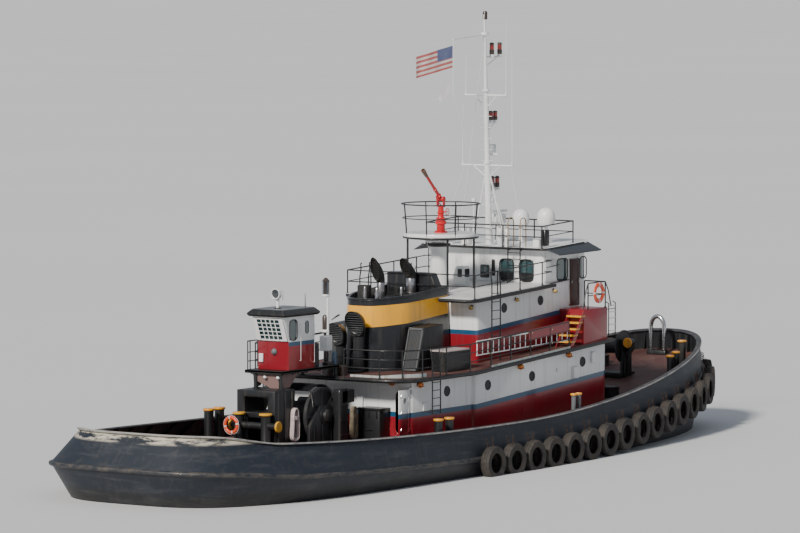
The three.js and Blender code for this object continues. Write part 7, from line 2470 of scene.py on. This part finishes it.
# %% Bow winch
BOW_X, BOW_Z = 12.75, 3.12
refined("bow_winch_frame", "boat", [black_paint], 0.02, 2)
bow = Shape()
for s in (-1, 1):
    bow.mark = 0
    bow.turned([(0.24, 0.0), (0.24, 0.03), (0.14, 0.05), (0.12, 0.09), (0.0, 0.095)],
               (BOW_X, s * 0.731, BOW_Z), (0, s, 0), 28)
    for x in (12.5, BOW_X, 13.0):
        bow.block((x - 0.02, s * 0.73, 2.1), (x + 0.02, s * 0.765, 2.85), 0.006)
bow.turned([(0.13, 0.0), (0.14, 0.02), (0.14, 0.28), (0.12, 0.31)], (12.38, -1.01, 3.3), FORWARD, 24)
bow.block((12.44, -1.06, 2.05), (12.56, -0.96, 3.24), 0.01)
bow.mark = 1
bow.turned([(0.175, 0.0), (0.19, 0.015), (0.19, 0.05), (0.175, 0.065)], (12.3, -1.01, 3.3), FORWARD, 32)
make("bow_winch_parts", bow, "boat", [black_paint, amber_paint], [], 40)

drum = Shape()
profile = [(0.0, -0.618), (0.2, -0.618), (0.22, -0.6), (0.56, -0.6), (0.58, -0.618), (0.61, -0.618),
           (0.618, -0.61), (0.618, -0.56), (0.6, -0.55), (0.4, -0.54), (0.28, -0.52)]
for k in range(14):
    y = -0.49 + 0.0754 * k
    profile += [(0.262, y - 0.026), (0.274, y), (0.262, y + 0.026)]
profile += [(0.28, 0.52), (0.4, 0.54), (0.6, 0.55), (0.618, 0.56), (0.618, 0.61), (0.61, 0.618),
            (0.58, 0.618), (0.56, 0.6), (0.22, 0.6), (0.2, 0.618), (0.0, 0.618)]
drum.turned(profile, (BOW_X, 0, BOW_Z), PORTWARD, 48)
make("bow_drum", drum, "bow_winch_drum", [drum_paint], ["bow_winch_drum"], 35)

# %% Hawser staple
staple = Shape()
half, z0 = 0.29, 2.72
STAPLE_X = 16.2
arch = [Vector((STAPLE_X, -half, z0 - 0.02)), Vector((STAPLE_X, -half, 3.3)),
        Vector((STAPLE_X, -half, 3.6))]
for k in range(1, 12):
    a = math.pi * k / 12
    arch.append(Vector((STAPLE_X, -half * math.cos(a), 3.6 + 0.41 * math.sin(a))))
arch += [Vector((STAPLE_X, half, 3.6)), Vector((STAPLE_X, half, 3.3)), Vector((STAPLE_X, half, z0 - 0.02))]
staple.mark = 1
staple.tube(arch, 0.083, 24)
staple.mark = 0
dz = deck_z(STAPLE_X)
plinth = []
for g, z in ((0.0, dz + 0.001), (0.0, z0 - 0.02), (-0.015, z0)):
    aft, ahead = STAPLE_X - 0.13 - g, STAPLE_X + 0.13 + g
    corners = [(aft, -0.42 - g), (ahead, -0.42 - g), (ahead, 0.42 + g), (aft, 0.42 + g)]
    plinth.append(rounded_level(corners, [0.05] * 4, 3, z))
staple.skin(plinth)
for s in (-1, 1):
    staple.turned([(0.14, z0), (0.14, z0 + 0.02), (0.09, z0 + 0.04)], (STAPLE_X, s * half, 0), UP, 24)
    staple.skin([[Vector((STAPLE_X + o, s * (half + a), z0 + z))
                  for a, z in ((0.07, 0.0), (0.12, 0.0), (0.075, 0.5))] for o in (-0.01, 0.01)])
make("staple_arch", staple, "boat", [black_paint, bright_steel], ["hawser_staple"], 45)

fore = Shape()
for x, y, r, h in ((14.3, 1.3, 0.26, 0.32), (9.6, -1.9, 0.36, 0.3), (9.6, 1.9, 0.36, 0.3)):
    z = deck_z(x)
    fore.turned([(r + 0.06, z), (r + 0.06, z + 0.02), (r, z + 0.04), (r, z + h),
                 (r + 0.02, z + h + 0.01), (r + 0.02, z + h + 0.04), (0.08, z + h + 0.07)], (x, y, 0),
                UP, 32)
VENT_X, VENT_Y = 10.9, 2.4
z = deck_z(VENT_X)
fore.turned([(0.12, z), (0.12, z + 0.02), (0.06, z + 0.03), (0.06, z + 0.5)], (VENT_X, VENT_Y, 0), UP,
            16)
fore.turned([(0.0, 0.0), (0.16, 0.02), (0.17, 0.06), (0.12, 0.17), (0.0, 0.2)],
            (VENT_X, VENT_Y, z + 0.48), UP, 20)
make("foredeck_hatches", fore, "boat", [black_paint], [], 40)
print("foredeck gear made")

# %% [markdown]
# ## Life rings
# Each ring is an orange torus with four bands of pale tape and a grab line held at the bands.


# %% Life rings
def life_ring(name, centre, axis, replaces, middle=0.29, tube_r=0.066, tilt=0.0):
    turn = Matrix.Rotation(tilt, 3, axis)
    side = turn @ Vector(UP).cross(axis).normalized()
    up = turn @ Vector(UP)
    ring = Shape()
    sections = 64
    rings = []
    for a in angles(sections):
        out = side * math.cos(a) + up * math.sin(a)
        rings.append([centre + out * (middle + tube_r * math.cos(b)) + axis * 0.049 * math.sin(b) for b in
                      angles(16)])
    for start in range(0, sections, 16):
        ring.mark = 0
        ring.skin([rings[(start + 1 + j) % sections] for j in range(15)])
        ring.mark = 1
        band = [rings[(start - 1 + j) % sections] for j in range(3)]
        swollen = []
        for section in band:
            m = sum(section, Vector()) / 16
            swollen.append([m + (p - m) * 1.02 for p in section])
        ring.skin(swollen)
    line = []
    for k in range(65):
        a = 2 * math.pi * k / 64
        bulge = 0.022 * abs(math.sin(2 * a)) ** 0.7
        out = side * math.cos(a) + up * math.sin(a)
        line.append(centre + out * (middle + tube_r + 0.004 + bulge * 0.4))
    ring.mark = 2
    ring.tube(line[:-1], 0.006, 6, closed=True)
    make(name, ring, "boat", [orange_paint, reflective_tape, pale_rope], replaces, 50)


life_ring("ring_wing", Vector((6.28, -3.4743, 5.64)), Vector((0, -1, 0)), ["life_ring_wing"], 0.29, 0.08)
life_ring("ring_aft", Vector((-10.735, 0.55, 2.03)), Vector((-1, 0, 0)), ["life_ring_aft"], 0.25, 0.06,
          math.radians(12))

# %% [markdown]
# ## Flags
# The ensign and the pennant are thin cloth hung from the halyard. Their cloth is drawn from the luff
# outward with folds that grow toward the fly, and its colours come from the cloth's own layout coordinates.


# %% Cloth colours and the two flags
FLY = Vector((math.cos(math.pi - 0.72), math.sin(math.pi - 0.72), 0))
ACROSS = Vector((-FLY.y, FLY.x, 0))
POLE = Vector((HALYARD_X, 0, 0))


def hung_cloth(name, corners, folds, depth, columns, rows):
    """Corners: luff top, fly top, fly bottom, luff bottom as (u, z)."""
    bm = bmesh.new()
    layer = bm.loops.layers.uv.new("Layout")
    grid = []
    for i in range(columns + 1):
        s = i / columns
        line = []
        for j in range(rows + 1):
            t = j / rows
            top = Vector(corners[0]).lerp(Vector(corners[1]), s)
            low = Vector(corners[3]).lerp(Vector(corners[2]), s)
            p = top.lerp(low, t)
            wave = depth * s ** 0.8 * math.sin(2 * math.pi * (folds * s + 0.22 * t) + 0.6)
            wave += 0.3 * depth * s * math.sin(2 * math.pi * (folds * 1.9 * s - 0.5 * t) + 1.1)
            line.append((bm.verts.new(POLE + FLY * p.x + ACROSS * wave + Vector((0, 0, p.y))), s, t))
        grid.append(line)
    for i in range(columns):
        for j in range(rows):
            quad = [grid[i][j], grid[i + 1][j], grid[i + 1][j + 1], grid[i][j + 1]]
            face = bm.faces.new([q[0] for q in quad])
            face.smooth = True
            for loop, (_, s, t) in zip(face.loops, quad):
                loop[layer].uv = (s, 1 - t)
    mesh = bpy.data.meshes.new(name)
    bm.to_mesh(mesh)
    bm.free()
    return placed(name, mesh)


f = Finish("ensign_cloth", roughness=0.85)
u, v = f.layout("Layout")
wave = (v * (math.pi * 9) + 0.4).sine()
canton = (0.42 - u).above(0.0) * (v - 0.46).above(0.0)
tone = f.mix(wave.above(0.0, 0.05), (0.50, 0.48, 0.46), (0.36, 0.045, 0.045))
tone = f.mix(canton, tone, (0.035, 0.055, 0.16))
wear = f.noise(6.0, detail=5.0)
f.set("Base Color", f.mix(wear * 0.3, tone, (0.36, 0.35, 0.34)))
f.set("Roughness", wear * 0.15 + 0.75)
f.bump(f.noise(400.0) + wear, 0.2, 0.002)
ensign_cloth = f.material

f = Finish("pennant_cloth", roughness=0.85)
wear = f.noise(7.0, detail=5.0)
f.set("Base Color", f.mix(wear * 0.4, (0.62, 0.62, 0.62), (0.40, 0.39, 0.38)))
f.set("Roughness", wear * 0.15 + 0.75)
f.bump(f.noise(400.0) + wear, 0.2, 0.002)
pennant_cloth = f.material

ensign = hung_cloth("ensign_flag", [(0.016, 14.58), (1.36, 14.19), (1.36, 13.42), (0.016, 13.80)], 1.7,
                    0.035, 48, 24)
pennant = hung_cloth("pennant_flag", [(0.016, 13.41), (0.55, 12.71), (0.45, 12.58), (0.016, 13.04)],
                     0.8, 0.02, 24, 12)
for piece, finish, node in ((ensign, ensign_cloth, "ensign"), (pennant, pennant_cloth, "pennant")):
    piece.data.materials.append(finish)
    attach(piece, "boat")
    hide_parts(node)
    bm = bmesh.new()
    bm.from_mesh(piece.data)
    size = sum(face.calc_area() for face in bm.faces)
    bm.free()
    print(piece.name, "cloth area", round(size, 3))
toggles = Shape()
for z in (14.58, 13.80, 13.41, 13.04):
    toggles.turned([(0.012, -0.03), (0.014, 0.0), (0.012, 0.03)], (HALYARD_X, 0, z), UP, 10)
make("flag_toggles", toggles, "boat", [white_paint], [])
print("life rings and flags made")

# %% [markdown]
# ## Floor and light
# The boat floats with its waterline on a plain pale floor. One key light stands straight aft of the boat,
# a third of the way up the sky, so that the aft walls are bright and the starboard side lies in its own
# shade, and a pale sky fills the rest.

# %% Floor, key light and sky
floor_mesh = bpy.data.meshes.new("floor")
REACH = 2800
floor_mesh.from_pydata([(-REACH, -REACH, 0), (REACH, -REACH, 0), (REACH, REACH, 0), (-REACH, REACH, 0)], [],
                       [(0, 1, 2, 3)])
floor = placed("floor", floor_mesh)
f = Finish("pale_floor")
cloud = f.noise(0.02, detail=3.0)
f.set("Base Color", f.mix(cloud, (0.60, 0.61, 0.62), (0.65, 0.66, 0.67)))
f.set("Roughness", cloud * 0.05 + 0.75)
floor_mesh.materials.append(f.material)

sun_data = bpy.data.lights.new("key_light", "SUN")
sun_data.energy = 4.6
sun_data.angle = math.radians(8)
sun_data.color = (1.0, 0.95, 0.87)
sun = placed("key_light", sun_data)
toward = Vector((-0.81, -0.03, 0.58))
sun.rotation_euler = toward.to_track_quat("Z", "Y").to_euler()
world = bpy.data.worlds.new("pale_sky")
bpy.context.scene.world = world
world.use_nodes = True
world.node_tree.nodes["Background"].inputs[0].default_value = (0.82, 0.89, 1.0, 1)
world.node_tree.nodes["Background"].inputs[1].default_value = 0.42
print("floor and light set")

# %% Sizes
import json

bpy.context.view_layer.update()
triangles = sum(len(p.vertices) - 2 for o in bpy.data.objects if o.type == "MESH" for p in o.data.polygons)
print("triangles in the scene", triangles)
